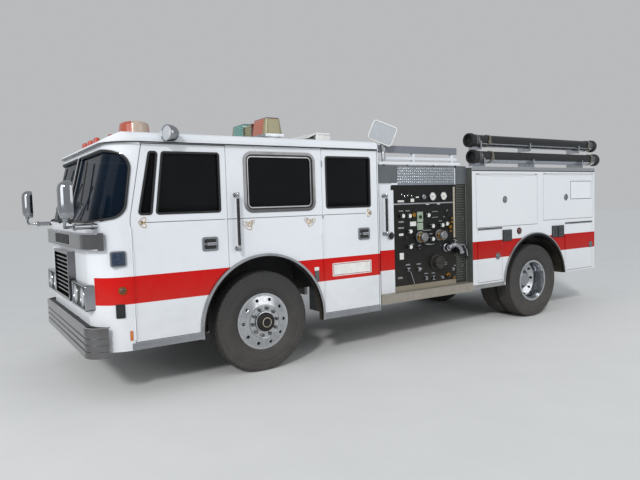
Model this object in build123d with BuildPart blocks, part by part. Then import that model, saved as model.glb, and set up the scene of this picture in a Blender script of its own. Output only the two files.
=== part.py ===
from build123d import *
import math
import os

os.makedirs("parts", exist_ok=True)

# A fire engine: a four-door cab with the engine between its seats, a pump house, and a body of compartments.
# Millimetres. X runs forward, Y to the left and Z up. The origin is on the ground, in the middle of the
# length and the width.

# Overall stations along X
front_axle_x = 2205.0
cab_ahead_of_axle = 1700.0
cab_behind_axle = 1540.0
bumper_reach = 80.0
cab_to_pump = 20.0
pump_length = 1590.0
body_ahead_of_axle = 1330.0
body_behind_axle = 1520.0
tailboard_depth = 380.0
cab_front_x = front_axle_x + cab_ahead_of_axle
cab_rear_x = front_axle_x - cab_behind_axle
bumper_front_x = cab_front_x + bumper_reach
pump_front_x = cab_rear_x - cab_to_pump
pump_rear_x = pump_front_x - pump_length
body_front_x = pump_rear_x
rear_axle_x = body_front_x - body_ahead_of_axle
body_rear_x = rear_axle_x - body_behind_axle
tailboard_rear_x = body_rear_x - tailboard_depth

# Widths and general clearances
half_width = 1220.0
door_gap = 6.0
fit_gap = 0.3

# Tyres and wheels
tyre_radius = 535.0
tyre_width = 270.0
front_tyre_inset = 60.0
rear_tyre_inset = 25.0
dual_spacing = 320.0
bead_radius = 286.0
rim_half_width = 112.0
rim_lip = 14.0
rim_lip_wall = 6.0
rim_wall = 14.0
wheel_offset = 140.0
disc_wall = 16.0
disc_flat_radius = 185.0
hand_hole_radius = 19.0
hand_hole_circle = 238.0
hand_hole_count = 10
drum_radius = 205.0
front_hub_radius = 84.0
front_flange_radius = 110.0
rear_hub_radius = 150.0
spindle_radius = 40.0
axle_z = tyre_radius
front_tyre_y = half_width - front_tyre_inset - tyre_width / 2
outer_tyre_y = half_width - rear_tyre_inset - tyre_width / 2
inner_tyre_y = outer_tyre_y - dual_spacing

# Chassis
rail_outer_y = 430.0
rail_flange = 75.0
rail_web = 10.0
rail_bottom_z = 720.0
rail_top_z = 970.0
rail_inner_y = rail_outer_y - rail_flange
rail_mid_y = rail_outer_y - rail_flange / 2
bracket_top_z = rail_bottom_z - 20.0
kingpin_y = front_tyre_y - 175.0
kingpin_radius = 18.0
spring_half_length = 620.0

# Cab
cab_wall = 50.0
cab_corner_radius = 300.0
cab_bottom_z = 467.0
sill_top_z = 534.0
belt_z = 1640.0
roof_base_z = 2367.0
roof_edge_z = 2465.0
roof_crown_z = 2525.0
roof_brow_z = roof_base_z + 28.0
roof_brow_depth = 480.0
roof_edge_round = 70.0
screen_lean = 185.0
screen_post = 50.0
roof_overhang = 32.0
door_bottom_z = sill_top_z + door_gap
door_top_z = roof_base_z - door_gap
cab_inner_y = half_width - cab_wall
front_door_front_x = front_axle_x + 1358.0
front_door_rear_x = front_axle_x + 406.0
front_door_lean = 130.0
pillar_break_z = 1680.0
rear_door_front_x = front_axle_x - 742.0
rear_door_rear_x = front_axle_x - 1520.0
window_bottom_z = 1710.0
window_top_z = 2290.0
glass_depth = 22.0
glass_wall = 6.0

# Wheel arches
front_arch_radius = 690.0
front_arch_rim = 730.0
rear_arch_radius = 668.0
rear_arch_rim = 716.0
fender_proud = 22.0

# Hinges
hinge_barrel = 6.0
hinge_pin = 3.0
hinge_leaf = 22.0
hinge_leaf_wall = 4.0
hinge_share = 0.2
hinge_slack = 0.5
hinge_y = half_width + hinge_barrel

# Pump house
pump_wall = 40.0
pump_bottom_z = 640.0
pump_top_z = 2200.0
pump_panel_y = half_width - 120.0
pump_panel_wall = 20.0
step_top_z = pump_bottom_z
step_bottom_z = 525.0
step_wall = 15.0

# Compartment body
body_bottom_z = 597.0
body_front_sill_z = 540.0
body_top_z = 2200.0
body_inner_y = half_width - 580.0
body_wall = 30.0
body_door_wall = 40.0
bearer_top_z = rail_top_z + 60.0
hose_bed_z = 1650.0
tank_half_y = body_inner_y - 85.0

# Suction hoses on the left side of the body
hose_radius = 80.0
hose_coupling_radius = 98.0
hose_length = 3100.0
hose_front_x = body_front_x - 30.0
upper_hose_y = half_width - 220.0
upper_hose_z = 2575.0
lower_hose_y = half_width - 170.0
lower_hose_z = 2345.0

sides = (("left", 1), ("right", -1))


def block(x0, x1, y0, y1, z0, z1, mode=Mode.ADD):
    """A box between two corners."""
    with Locations(((x0 + x1) / 2, (y0 + y1) / 2, (z0 + z1) / 2)):
        Box(abs(x1 - x0), abs(y1 - y0), abs(z1 - z0), mode=mode)


def rod(start, end, radius, mode=Mode.ADD):
    """A round bar from one point to another."""
    along = Vector(*end) - Vector(*start)
    with BuildSketch(Plane(origin=start, z_dir=along)) as section:
        Circle(radius)
    extrude(section.sketch, amount=along.length, mode=mode)


def side_plate(points, y0, y1, mode=Mode.ADD, round_by=0.0):
    """A plate that stands along the side, from its outline in X and Z."""
    with BuildSketch(Plane.XZ.offset(-y1)) as outline:
        Polygon(*points, align=None)
        if round_by:
            fillet(outline.vertices(), round_by)
    extrude(outline.sketch, amount=y1 - y0, mode=mode)


def disc_y(x, z, radius, y0, y1, mode=Mode.ADD):
    """A disc whose axis runs across the vehicle."""
    with BuildSketch(Plane.XZ.offset(-y1)) as section:
        with Locations((x, z)):
            Circle(radius)
    extrude(section.sketch, amount=y1 - y0, mode=mode)


def hinge_half(start, end, leaf, fixed):
    """Half of a surface hinge. leaf is the way its leaf lies from the pin."""
    first = Vector(*start)
    span = Vector(*end) - first
    slack = span.normalized() * hinge_slack
    near = first + span * hinge_share
    far = first + span * (1.0 - hinge_share)
    if fixed:
        rod(start, end, hinge_pin)
        runs = ((first, near - slack), (far + slack, first + span))
    else:
        runs = ((near + slack, far - slack),)
    side = math.copysign(1.0, first.Y)
    for low, high in runs:
        rod(tuple(low), tuple(high), hinge_barrel)
        tip = high + Vector(*leaf) * hinge_leaf
        block(low.X, tip.X, side * half_width, side * (half_width + hinge_leaf_wall), low.Z, tip.Z)
    if not fixed:
        low, high = runs[0]
        rod(tuple(low - slack), tuple(high + slack), hinge_pin + fit_gap, mode=Mode.SUBTRACT)


def cab_outline(z, inset, front_x):
    """The cab in plan, with round front corners."""
    rear = cab_rear_x + inset
    side = half_width - inset
    radius = cab_corner_radius - inset
    turn = radius * (1 - math.sqrt(0.5))
    with BuildSketch(Plane.XY.offset(z)) as plan:
        with BuildLine():
            Line((rear, -side), (front_x - radius, -side))
            ThreePointArc((front_x - radius, -side), (front_x - turn, turn - side), (front_x, radius - side))
            Line((front_x, radius - side), (front_x, side - radius))
            ThreePointArc((front_x, side - radius), (front_x - turn, side - turn), (front_x - radius, side))
            Line((front_x - radius, side), (rear, side))
            Line((rear, side), (rear, -side))
        make_face()
    return plan.sketch


def cab_volume(inset):
    """The whole space that the cab fills, drawn in by the inset."""
    with BuildPart() as volume:
        base = cab_outline(cab_bottom_z, inset, cab_front_x - inset)
        extrude(base, amount=belt_z - cab_bottom_z)
        belt = cab_outline(belt_z, inset, cab_front_x - inset)
        top = cab_outline(roof_base_z, inset, cab_front_x - inset - screen_lean)
        loft([belt, top], ruled=True)
    return volume.part


cab_outer = cab_volume(0.0)
cab_inner = cab_volume(cab_wall)
glass_outer = cab_volume(glass_depth)
glass_inner = cab_volume(glass_depth + glass_wall)


def screen_prisms():
    """The two windscreen openings, which wrap round the front corners."""
    edge_low = (front_axle_x + 1410.0, 1705.0)
    edge_high = (front_axle_x + 1326.0, 2245.0)
    front_high = (cab_front_x - 80.0, 2338.0)
    front_low = (cab_front_x + 60.0, 1645.0)
    reach = half_width + 80.0
    for plane_y in (reach, -screen_post / 2):
        with BuildSketch(Plane.XZ.offset(-plane_y)) as outline:
            Polygon(edge_low, edge_high, front_high, front_low, align=None)
            fillet(outline.vertices().sort_by(Axis.X)[:2], 150.0)
        extrude(outline.sketch, amount=reach - screen_post / 2)


with BuildPart() as screens:
    screen_prisms()

# Cab front: nose, corners and windscreen frame in one pressing
grille_half_width = 400.0
grille_bottom_z = 865.0
grille_top_z = 1360.0
grille_frame = 30.0
with BuildPart() as cab_front:
    add(cab_outer)
    add(cab_inner, mode=Mode.SUBTRACT)
    side_plate(
        (
            (front_door_front_x + door_gap, cab_bottom_z),
            (front_door_front_x + door_gap, pillar_break_z),
            (front_door_front_x + door_gap - front_door_lean, roof_base_z),
            (cab_front_x + 10.0, roof_base_z),
            (cab_front_x + 10.0, cab_bottom_z),
        ),
        -half_width - 10.0,
        half_width + 10.0,
        mode=Mode.INTERSECT,
    )
    add(screens.part, mode=Mode.SUBTRACT)
    block(
        cab_front_x - cab_wall - 10.0,
        cab_front_x + 10.0,
        -grille_half_width + grille_frame,
        grille_half_width - grille_frame,
        grille_bottom_z + grille_frame,
        grille_top_z - grille_frame,
        mode=Mode.SUBTRACT,
    )
    for s in (1, -1):
        block(
            cab_front_x - cab_wall - 10.0, cab_front_x + 10.0, s * (rail_inner_y - door_gap),
            s * (rail_outer_y + door_gap), cab_bottom_z - 10.0, bracket_top_z + door_gap, mode=Mode.SUBTRACT,
        )
    hinge_x = front_door_front_x + door_gap / 2
    hinge_half((hinge_x, hinge_y, door_bottom_z + 20.0), (hinge_x, hinge_y, 1600.0), (1, 0, 0), True)
    hinge_half((hinge_x, -hinge_y, door_bottom_z + 20.0), (hinge_x, -hinge_y, 1600.0), (1, 0, 0), True)
cab_front.part.label = "cab_front"
export_step(cab_front.part, "parts/cab_front.step")

# Cab sides, one pressing each, from the front door's rear edge to the rear door's front edge
side_front_x = front_door_rear_x - door_gap
side_rear_x = rear_door_front_x + door_gap
rear_post_x = cab_rear_x + 14.0
fixed_window = (front_axle_x - 630.0, front_axle_x + 193.0)
fixed_window_round = 75.0
rear_hinge_x = rear_door_front_x + door_gap / 2
rear_hinge_z = (740.0, 1600.0)


def window_cut(points, y0, y1, round_by, mode=Mode.SUBTRACT):
    """A window opening, or its pane, with round corners."""
    side_plate(points, y0, y1, mode=mode, round_by=round_by)


def rectangle_xz(x0, x1, z0, z1):
    return ((x0, z0), (x1, z0), (x1, z1), (x0, z1))


with BuildPart() as cab_side_left:
    with BuildSketch(Plane.XZ.offset(-half_width)):
        Polygon(*rectangle_xz(side_rear_x, side_front_x, cab_bottom_z, roof_base_z), align=None)
        with Locations((front_axle_x, axle_z)):
            Circle(front_arch_rim)
        Polygon(
            *rectangle_xz(rear_post_x, front_door_front_x + door_gap, cab_bottom_z, sill_top_z),
            align=None,
        )
        Polygon(
            *rectangle_xz(cab_rear_x - 10.0, cab_front_x, -tyre_radius, cab_bottom_z),
            align=None,
            mode=Mode.SUBTRACT,
        )
        with Locations((front_axle_x, axle_z)):
            Circle(front_arch_radius, mode=Mode.SUBTRACT)
        Polygon(
            *rectangle_xz(
                front_axle_x - front_arch_radius, front_axle_x + front_arch_radius, 0.0, axle_z
            ),
            align=None,
            mode=Mode.SUBTRACT,
        )
    extrude(amount=cab_wall)
    window_cut(
        rectangle_xz(fixed_window[0], fixed_window[1], window_bottom_z, window_top_z + 6.0),
        cab_inner_y - 10.0,
        half_width + 10.0,
        fixed_window_round,
    )
    hinge_half(
        (rear_hinge_x, hinge_y, rear_hinge_z[0]), (rear_hinge_x, hinge_y, rear_hinge_z[1]), (1, 0, 0), True
    )
with BuildPart() as cab_sides:
    add(cab_side_left.part)
    mirror(cab_side_left.part, about=Plane.XZ)
cab_sides.part.label = "cab_sides"
export_step(cab_sides.part, "parts/cab_sides.step")

# Cab rear wall, with the corner posts behind the rear doors
with BuildPart() as cab_rear_wall:
    post_y = cab_inner_y - door_gap
    block(cab_rear_x, cab_rear_x + cab_wall, -post_y, post_y, cab_bottom_z, roof_base_z)
    block(cab_rear_x, rear_post_x, -half_width, half_width, cab_bottom_z, roof_base_z)
    block(rear_post_x, cab_rear_x + cab_wall, -cab_inner_y, cab_inner_y, cab_bottom_z, sill_top_z)
    block(
        cab_rear_x - 1.0, cab_rear_x + cab_wall + 1.0, -rail_outer_y - door_gap, rail_outer_y + door_gap,
        cab_bottom_z - 1.0, 1040.0, mode=Mode.SUBTRACT,
    )
cab_rear_wall.part.label = "cab_rear_wall"
export_step(cab_rear_wall.part, "parts/cab_rear_wall.step")

# Roof, crowned across, drawn down to a thin brow over the windscreens, with a gutter along each side
roof_front_x = cab_front_x - screen_lean + roof_overhang
gutter_reach = 14.0
gutter_height = 16.0
with BuildSketch(Plane.XY.offset(roof_base_z)) as roof_plan:
    with Locations(((roof_front_x + cab_rear_x) / 2, 0)):
        Rectangle(roof_front_x - cab_rear_x, 2 * half_width)
    fillet(roof_plan.vertices().group_by(Axis.X)[-1], cab_corner_radius)
with BuildSketch(Plane.XZ.offset(-half_width)) as roof_bow:
    with BuildLine():
        Line((cab_rear_x, roof_base_z), (roof_front_x, roof_base_z))
        Line((roof_front_x, roof_base_z), (roof_front_x, roof_brow_z))
        TangentArc((roof_front_x - roof_brow_depth, roof_crown_z), (roof_front_x, roof_brow_z), tangent=(1, 0))
        Line((roof_front_x - roof_brow_depth, roof_crown_z), (cab_rear_x, roof_crown_z))
        Line((cab_rear_x, roof_crown_z), (cab_rear_x, roof_base_z))
    make_face()
with BuildPart() as cab_roof:
    with BuildSketch(Plane.YZ.offset(cab_rear_x)) as crown:
        with BuildLine():
            Line((-half_width, roof_base_z), (half_width, roof_base_z))
            Line((half_width, roof_base_z), (half_width, roof_edge_z))
            ThreePointArc((half_width, roof_edge_z), (0, roof_crown_z), (-half_width, roof_edge_z))
            Line((-half_width, roof_edge_z), (-half_width, roof_base_z))
        make_face()
        fillet(crown.vertices().group_by(Axis.Y)[-1], roof_edge_round)
    extrude(amount=roof_front_x - cab_rear_x)
    extrude(roof_plan.sketch, amount=roof_crown_z - roof_base_z, mode=Mode.INTERSECT)
    extrude(roof_bow.sketch, amount=2 * half_width, mode=Mode.INTERSECT)
    for s in (1, -1):
        block(cab_rear_x, roof_front_x - cab_corner_radius, s * (half_width - 2.0),
              s * (half_width + gutter_reach), roof_base_z, roof_base_z + gutter_height)
cab_roof.part.label = "cab_roof"
export_step(cab_roof.part, "parts/cab_roof.step")

# Cab floor: a raised tunnel over the engine, boxes over the front wheels, foot wells and entry steps
floor_z = 880.0
floor_wall = 20.0
tunnel_y = 520.0
wheel_box_z = 1290.0
wheel_box_x = 745.0
floor_side_y = cab_inner_y - door_gap
cab_inside_front_x = cab_front_x - cab_wall
cab_inside_rear_x = cab_rear_x + cab_wall
floor_front_x = cab_inside_front_x - 30.0
entry_step_y = cab_inner_y - 270.0
foot_well_y = cab_inner_y - 140.0
entry_step_x = front_axle_x + 1345.0
dash_bottom_z = 1332.0
with BuildPart() as cab_floor:
    for s in (1, -1):
        block(cab_inside_rear_x, floor_front_x, s * (tunnel_y - floor_wall), s * tunnel_y,
              floor_z - floor_wall, wheel_box_z)
        for x0, x1 in (
            (cab_inside_rear_x, front_axle_x - wheel_box_x),
            (front_axle_x + wheel_box_x, floor_front_x),
        ):
            block(x0, x1, s * tunnel_y, s * entry_step_y, floor_z - floor_wall, floor_z)
        block(entry_step_x, floor_front_x, s * entry_step_y, s * foot_well_y, floor_z - floor_wall, floor_z)
        block(front_axle_x - wheel_box_x, front_axle_x + wheel_box_x, s * tunnel_y, s * floor_side_y,
              wheel_box_z - floor_wall, wheel_box_z)
        for x0, x1, x2 in (
            (front_axle_x + wheel_box_x, front_axle_x + wheel_box_x + floor_wall, entry_step_x),
            (front_axle_x - wheel_box_x, front_axle_x - wheel_box_x - floor_wall, cab_inside_rear_x),
        ):
            block(x0, x1, s * tunnel_y, s * floor_side_y, floor_z - floor_wall, wheel_box_z)
            block(x0, x1, s * entry_step_y, s * floor_side_y, sill_top_z, floor_z)
            block(x0, x2, s * entry_step_y, s * (entry_step_y - floor_wall), sill_top_z, floor_z)
            block(x0, x2, s * (entry_step_y - floor_wall), s * floor_side_y, sill_top_z,
                  sill_top_z + floor_wall)
        block(entry_step_x, entry_step_x + floor_wall, s * (entry_step_y - floor_wall), s * floor_side_y,
              sill_top_z, floor_z)
    block(cab_inside_rear_x, floor_front_x, -tunnel_y, tunnel_y, wheel_box_z - floor_wall, wheel_box_z)
    block(floor_front_x, cab_inside_front_x, -tunnel_y, tunnel_y, wheel_box_z - floor_wall, dash_bottom_z)
cab_floor.part.label = "cab_floor"
export_step(cab_floor.part, "parts/cab_floor.step")

# Engine cover between the seats
cover_x = (front_axle_x - 850.0, front_axle_x + 900.0)
cover_half = 430.0
cover_top_z = 1500.0
with BuildPart() as engine_cover:
    with BuildSketch(Plane.XY.offset(wheel_box_z)) as cover_base:
        with Locations(((cover_x[0] + cover_x[1]) / 2, 0)):
            Rectangle(cover_x[1] - cover_x[0], 2 * cover_half)
        fillet(cover_base.vertices(), 60.0)
    extrude(amount=cover_top_z - wheel_box_z, taper=6)
    fillet(engine_cover.faces().sort_by(Axis.Z)[-1].edges(), 35.0)
engine_cover.part.label = "engine_cover"
export_step(engine_cover.part, "parts/engine_cover.step")

# Dashboard across the cab, trimmed to the front wall
dash_points = (
    (1340.0, dash_bottom_z), (1310.0, 1500.0), (1400.0, 1600.0), (1700.0, 1600.0), (1700.0, dash_bottom_z),
)
dash_half = cab_inner_y - 50.0
with BuildPart() as dashboard:
    side_plate([(front_axle_x + x, z) for x, z in dash_points], -dash_half, dash_half)
    add(cab_inner, mode=Mode.INTERSECT)
dashboard.part.label = "dashboard"
export_step(dashboard.part, "parts/dashboard.step")

# Steering wheel on its column
wheel_y = cab_inner_y - 530.0
wheel_centre = (front_axle_x + 1110.0, wheel_y, 1640.0)
column_foot = (front_axle_x + 1330.0, wheel_y, 1520.0)
column_radius = 28.0
grip_radius = 235.0
grip_width = 28.0
spoke_width = 30.0
with BuildPart() as steering_wheel:
    column = Vector(*column_foot) - Vector(*wheel_centre)
    rod(wheel_centre, column_foot, column_radius)
    with BuildSketch(Plane(origin=wheel_centre, z_dir=column)):
        Circle(grip_radius)
        Circle(grip_radius - grip_width, mode=Mode.SUBTRACT)
        Rectangle(2 * grip_radius - grip_width, spoke_width)
        Rectangle(spoke_width, 2 * grip_radius - grip_width)
    extrude(amount=22.0)
    add(dashboard.part, mode=Mode.SUBTRACT)
steering_wheel.part.label = "steering_wheel"
export_step(steering_wheel.part, "parts/steering_wheel.step")

# Seats: two in front on the wheel boxes, and a crew bench along the rear wall
cushion_height = 120.0
seat_top_z = wheel_box_z + cushion_height
seat_y = (tunnel_y + 40.0, cab_inner_y - 90.0)
seat_back_top_z = 2050.0
seat_back_inset = 30.0
bench_half = cab_inner_y - 70.0
bench_depth = 460.0
bench_back = 110.0
bench_back_top_z = 1980.0
bench_box_y = (tunnel_y + 5.0, entry_step_y - 40.0)
with BuildPart() as seats:
    for s in (1, -1):
        block(front_axle_x + 160.0, front_axle_x + 640.0, s * seat_y[0], s * seat_y[1], wheel_box_z, seat_top_z)
        low, high = sorted((s * (seat_y[0] + seat_back_inset), s * (seat_y[1] - seat_back_inset)))
        side_plate(
            (
                (front_axle_x + 160.0, wheel_box_z), (front_axle_x + 280.0, wheel_box_z),
                (front_axle_x + 170.0, seat_back_top_z), (front_axle_x + 70.0, seat_back_top_z),
            ),
            low, high,
        )
        block(cab_inside_rear_x, cab_inside_rear_x + bench_depth - 20.0, s * bench_box_y[0], s * bench_box_y[1],
              floor_z, wheel_box_z)
    block(cab_inside_rear_x, cab_inside_rear_x + bench_depth, -bench_half, bench_half, wheel_box_z, seat_top_z)
    block(cab_inside_rear_x, cab_inside_rear_x + bench_back, -bench_half, bench_half, seat_top_z,
          bench_back_top_z)
seats.part.label = "seats"
export_step(seats.part, "parts/seats.step")

# Glass: the two curved windscreens and the fixed panes in the cab sides
with BuildPart() as cab_glass:
    add(glass_outer)
    add(glass_inner, mode=Mode.SUBTRACT)
    add(screens.part, mode=Mode.INTERSECT)
    for s in (1, -1):
        low = s * (half_width - glass_depth)
        high = s * (half_width - glass_depth - glass_wall)
        window_cut(
            rectangle_xz(fixed_window[0], fixed_window[1], window_bottom_z, window_top_z + 6.0),
            min(low, high), max(low, high), fixed_window_round, mode=Mode.ADD,
        )
cab_glass.part.label = "cab_glass"
export_step(cab_glass.part, "parts/cab_glass.step")

# Cab doors, hinged at their front edges
front_window = (
    (front_axle_x + 473.0, window_bottom_z), (front_axle_x + 1120.0, window_bottom_z),
    (front_axle_x + 1045.0, window_top_z), (front_axle_x + 473.0, window_top_z),
)
vent_window = (
    (front_axle_x + 1160.0, window_bottom_z), (front_axle_x + 1285.0, window_bottom_z),
    (front_axle_x + 1166.0, window_top_z), (front_axle_x + 1085.0, window_top_z),
)
rear_window = rectangle_xz(front_axle_x - 1416.0, front_axle_x - 792.0, window_bottom_z, window_top_z - 8.0)
front_door_outline = (
    (front_door_rear_x, door_bottom_z), (front_door_front_x, door_bottom_z),
    (front_door_front_x, pillar_break_z), (front_door_front_x - front_door_lean, door_top_z),
    (front_door_rear_x, door_top_z),
)
rear_door_outline = rectangle_xz(rear_door_rear_x, rear_door_front_x, door_bottom_z, door_top_z)
# Each door: name, outline, panes, hinge x, hinge z from and to, handle x
cab_doors = (
    ("front", front_door_outline, (front_window, vent_window), hinge_x,
     (door_bottom_z + 20.0, 1600.0), front_axle_x + 600.0),
    ("rear", rear_door_outline, (rear_window,), rear_hinge_x, rear_hinge_z, front_axle_x - 1308.0),
)
window_round = 26.0
handle_z = 1400.0
for name, outline, panes, pin_x, pin_z, handle_x in cab_doors:
    with BuildPart() as door:
        side_plate(outline, cab_inner_y, half_width)
        disc_y(front_axle_x, axle_z, front_arch_rim + door_gap, cab_inner_y - 1.0, half_width + 1.0,
               mode=Mode.SUBTRACT)
        for pane in panes:
            window_cut(pane, cab_inner_y - 1.0, half_width + 1.0, window_round)
        hinge_half((pin_x, hinge_y, pin_z[0]), (pin_x, hinge_y, pin_z[1]), (-1, 0, 0), False)
        block(handle_x - 78.0, handle_x + 78.0, half_width, half_width + 5.0, handle_z - 65.0, handle_z + 65.0)
        block(handle_x - 60.0, handle_x + 30.0, half_width + 5.0, half_width + 22.0, handle_z - 12.0,
              handle_z + 12.0)
    with BuildPart() as pane_glass:
        for pane in panes:
            window_cut(pane, half_width - glass_depth - glass_wall, half_width - glass_depth, window_round,
                       mode=Mode.ADD)
    for side, s in sides:
        with BuildPart() as cab_door:
            add(door.part)
            if s < 0:
                mirror(door.part, about=Plane.XZ, mode=Mode.REPLACE)
        cab_door.part.label = f"cab_door_{name}_{side}"
        export_step(cab_door.part, f"parts/cab_door_{name}_{side}.step")
        with BuildPart() as door_glass:
            add(pane_glass.part)
            if s < 0:
                mirror(pane_glass.part, about=Plane.XZ, mode=Mode.REPLACE)
        door_glass.part.label = f"door_glass_{name}_{side}"
        export_step(door_glass.part, f"parts/door_glass_{name}_{side}.step")

# Grille: chrome surround with level bars and the band above that wraps round the corners
grille_front_x = cab_front_x + 72.0
grille_bars = 9
band_bottom_z = 1400.0
band_top_z = 1560.0
band_proud = 48.0
bar_pitch = (grille_top_z - grille_bottom_z - 2 * grille_frame) / (grille_bars + 1)
with BuildPart() as grille:
    block(cab_front_x, grille_front_x, -grille_half_width, grille_half_width, grille_bottom_z, grille_top_z)
    block(cab_front_x, grille_front_x, -grille_half_width + grille_frame, grille_half_width - grille_frame,
          grille_bottom_z + grille_frame, grille_top_z - grille_frame, mode=Mode.SUBTRACT)
    for bar in range(grille_bars):
        bar_z = grille_bottom_z + grille_frame + bar_pitch * (bar + 1)
        block(cab_front_x + 10.0, grille_front_x - 12.0, -grille_half_width + grille_frame,
              grille_half_width - grille_frame, bar_z - 6.0, bar_z + 6.0)
with BuildPart() as nose_band:
    extrude(cab_outline(band_bottom_z, -band_proud, cab_front_x + band_proud), amount=band_top_z - band_bottom_z)
    block(cab_rear_x - 100.0, front_axle_x + 1600.0, -half_width - 60.0, half_width + 60.0,
          band_bottom_z - 1.0, band_top_z + 1.0, mode=Mode.SUBTRACT)
    add(cab_outer, mode=Mode.SUBTRACT)
    add(cab_inner, mode=Mode.SUBTRACT)
with BuildPart() as grille_and_band:
    add(grille.part)
    add(nose_band.part)
grille_and_band.part.label = "grille"
export_step(grille_and_band.part, "parts/grille.step")

# Headlight housings, each with two round lamps
housing_inner_y = grille_half_width + 40.0
housing_outer_y = half_width - 160.0
housing_y = (housing_inner_y + housing_outer_y) / 2
housing_height = 240.0
lamp_z = 965.0
lamp_radius = 80.0
lamp_spread = housing_outer_y - housing_y - lamp_radius - 70.0
lamp_y = (housing_y - lamp_spread, housing_y + lamp_spread)
housing_front_x = cab_front_x + 55.0
with BuildPart() as headlights:
    for s in (1, -1):
        with BuildSketch(Plane.YZ.offset(cab_front_x - 110.0)) as housing:
            with Locations((s * housing_y, lamp_z)):
                Rectangle(housing_outer_y - housing_inner_y, housing_height)
            fillet(housing.vertices(), 40.0)
        extrude(amount=housing_front_x - cab_front_x + 110.0)
        for y in lamp_y:
            rod((housing_front_x + 1.0, s * y, lamp_z), (housing_front_x - 30.0, s * y, lamp_z), lamp_radius,
                mode=Mode.SUBTRACT)
            rod((housing_front_x - 31.0, s * y, lamp_z), (housing_front_x - 12.0, s * y, lamp_z),
                lamp_radius - 8.0)
    add(cab_outer, mode=Mode.SUBTRACT)
headlights.part.label = "headlights"
export_step(headlights.part, "parts/headlights.step")

# Front bumper: a ribbed channel with round ends, and the deck between it and the cab
bumper_bottom_z = 430.0
bumper_top_z = 706.0
bumper_wall = 25.0
bumper_end_x = front_axle_x + 1600.0
bumper_round = 170.0
rib_depth = 8.0


def bumper_outline(z, inset):
    """The bumper in plan, with round front corners."""
    depth = bumper_front_x - inset - bumper_end_x + 200.0
    with BuildSketch(Plane.XY.offset(z)) as plan:
        with Locations((bumper_front_x - inset - depth / 2, 0)):
            Rectangle(depth, 2 * (half_width - inset))
        fillet(plan.vertices().group_by(Axis.X)[-1], bumper_round - inset)
    return plan.sketch


with BuildPart() as groove_core:
    extrude(bumper_outline(bumper_bottom_z, rib_depth), amount=bumper_top_z - bumper_bottom_z)

with BuildPart() as bumper_core:
    extrude(bumper_outline(bumper_bottom_z, bumper_wall), amount=bumper_top_z - bumper_bottom_z)

with BuildPart() as grooves:
    for groove_z in (490.0, 550.0, 610.0):
        extrude(bumper_outline(groove_z, -1.0), amount=28.0)
    add(groove_core.part, mode=Mode.SUBTRACT)

with BuildPart() as bumper:
    extrude(bumper_outline(bumper_bottom_z, 0.0), amount=bumper_top_z - bumper_bottom_z)
    add(grooves.part, mode=Mode.SUBTRACT)
    add(bumper_core.part, mode=Mode.SUBTRACT)
    block(bumper_end_x - 300.0, bumper_end_x, -half_width - 5.0, half_width + 5.0, bumper_bottom_z - 1.0,
          bumper_top_z + 1.0, mode=Mode.SUBTRACT)
    for y0, y1 in (
        (-900.0, -rail_outer_y - door_gap),
        (-rail_inner_y + door_gap, rail_inner_y - door_gap),
        (rail_outer_y + door_gap, 900.0),
    ):
        block(cab_front_x, bumper_front_x - bumper_wall, y0, y1, bumper_top_z - 20.0, bumper_top_z - 8.0)
bumper.part.label = "bumper"
export_step(bumper.part, "parts/bumper.step")

# Mirrors on arms from the front corners
mirror_x = (front_axle_x + 1892.0, front_axle_x + 1970.0)
mirror_y = (half_width - 35.0, half_width + 155.0)
mirror_z = (1690.0, 2020.0)
arm_radius = 13.0
arm_drop = 70.0
with BuildPart() as mirrors:
    for s in (1, -1):
        with BuildSketch(Plane.YZ.offset(mirror_x[0])) as head:
            with Locations((s * (mirror_y[0] + mirror_y[1]) / 2, (mirror_z[0] + mirror_z[1]) / 2)):
                Rectangle(mirror_y[1] - mirror_y[0], mirror_z[1] - mirror_z[0])
            fillet(head.vertices(), 35.0)
        extrude(amount=mirror_x[1] - mirror_x[0])
        elbow = (mirror_x[0] + 39.0, s * (half_width + 10.0), mirror_z[0] - arm_drop)
        foot = (cab_front_x - 90.0, s * (half_width - 120.0), mirror_z[0] - arm_drop)
        rod(foot, elbow, arm_radius)
        rod(elbow, (elbow[0], elbow[1], mirror_z[0] + 5.0), arm_radius)
        with Locations(elbow):
            Sphere(arm_radius)
        rod(foot, (mirror_x[0] - 60.0, s * (half_width - 70.0), mirror_z[0] - arm_drop), 30.0)
    add(cab_outer, mode=Mode.SUBTRACT)
    add(cab_inner, mode=Mode.SUBTRACT)
mirrors.part.label = "mirrors"
export_step(mirrors.part, "parts/mirrors.step")

# Fenderettes: half rings bolted round each wheel arch
with BuildPart() as fenderettes:
    for s in (1, -1):
        for x, inner, outer, cut_z in (
            (front_axle_x, front_arch_radius + 2.0, front_arch_rim - 2.0, cab_bottom_z),
            (rear_axle_x, rear_arch_radius + 2.0, rear_arch_rim, body_bottom_z),
        ):
            low, high = sorted((s * half_width, s * (half_width + fender_proud)))
            with BuildSketch(Plane.XZ.offset(-high)):
                with Locations((x, axle_z)):
                    Circle(outer)
                    Circle(inner, mode=Mode.SUBTRACT)
                    with Locations((0, cut_z - axle_z - outer)):
                        Rectangle(2 * outer + 10.0, 2 * outer, mode=Mode.SUBTRACT)
            extrude(amount=high - low)
fenderettes.part.label = "fenderettes"
export_step(fenderettes.part, "parts/fenderettes.step")

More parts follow.
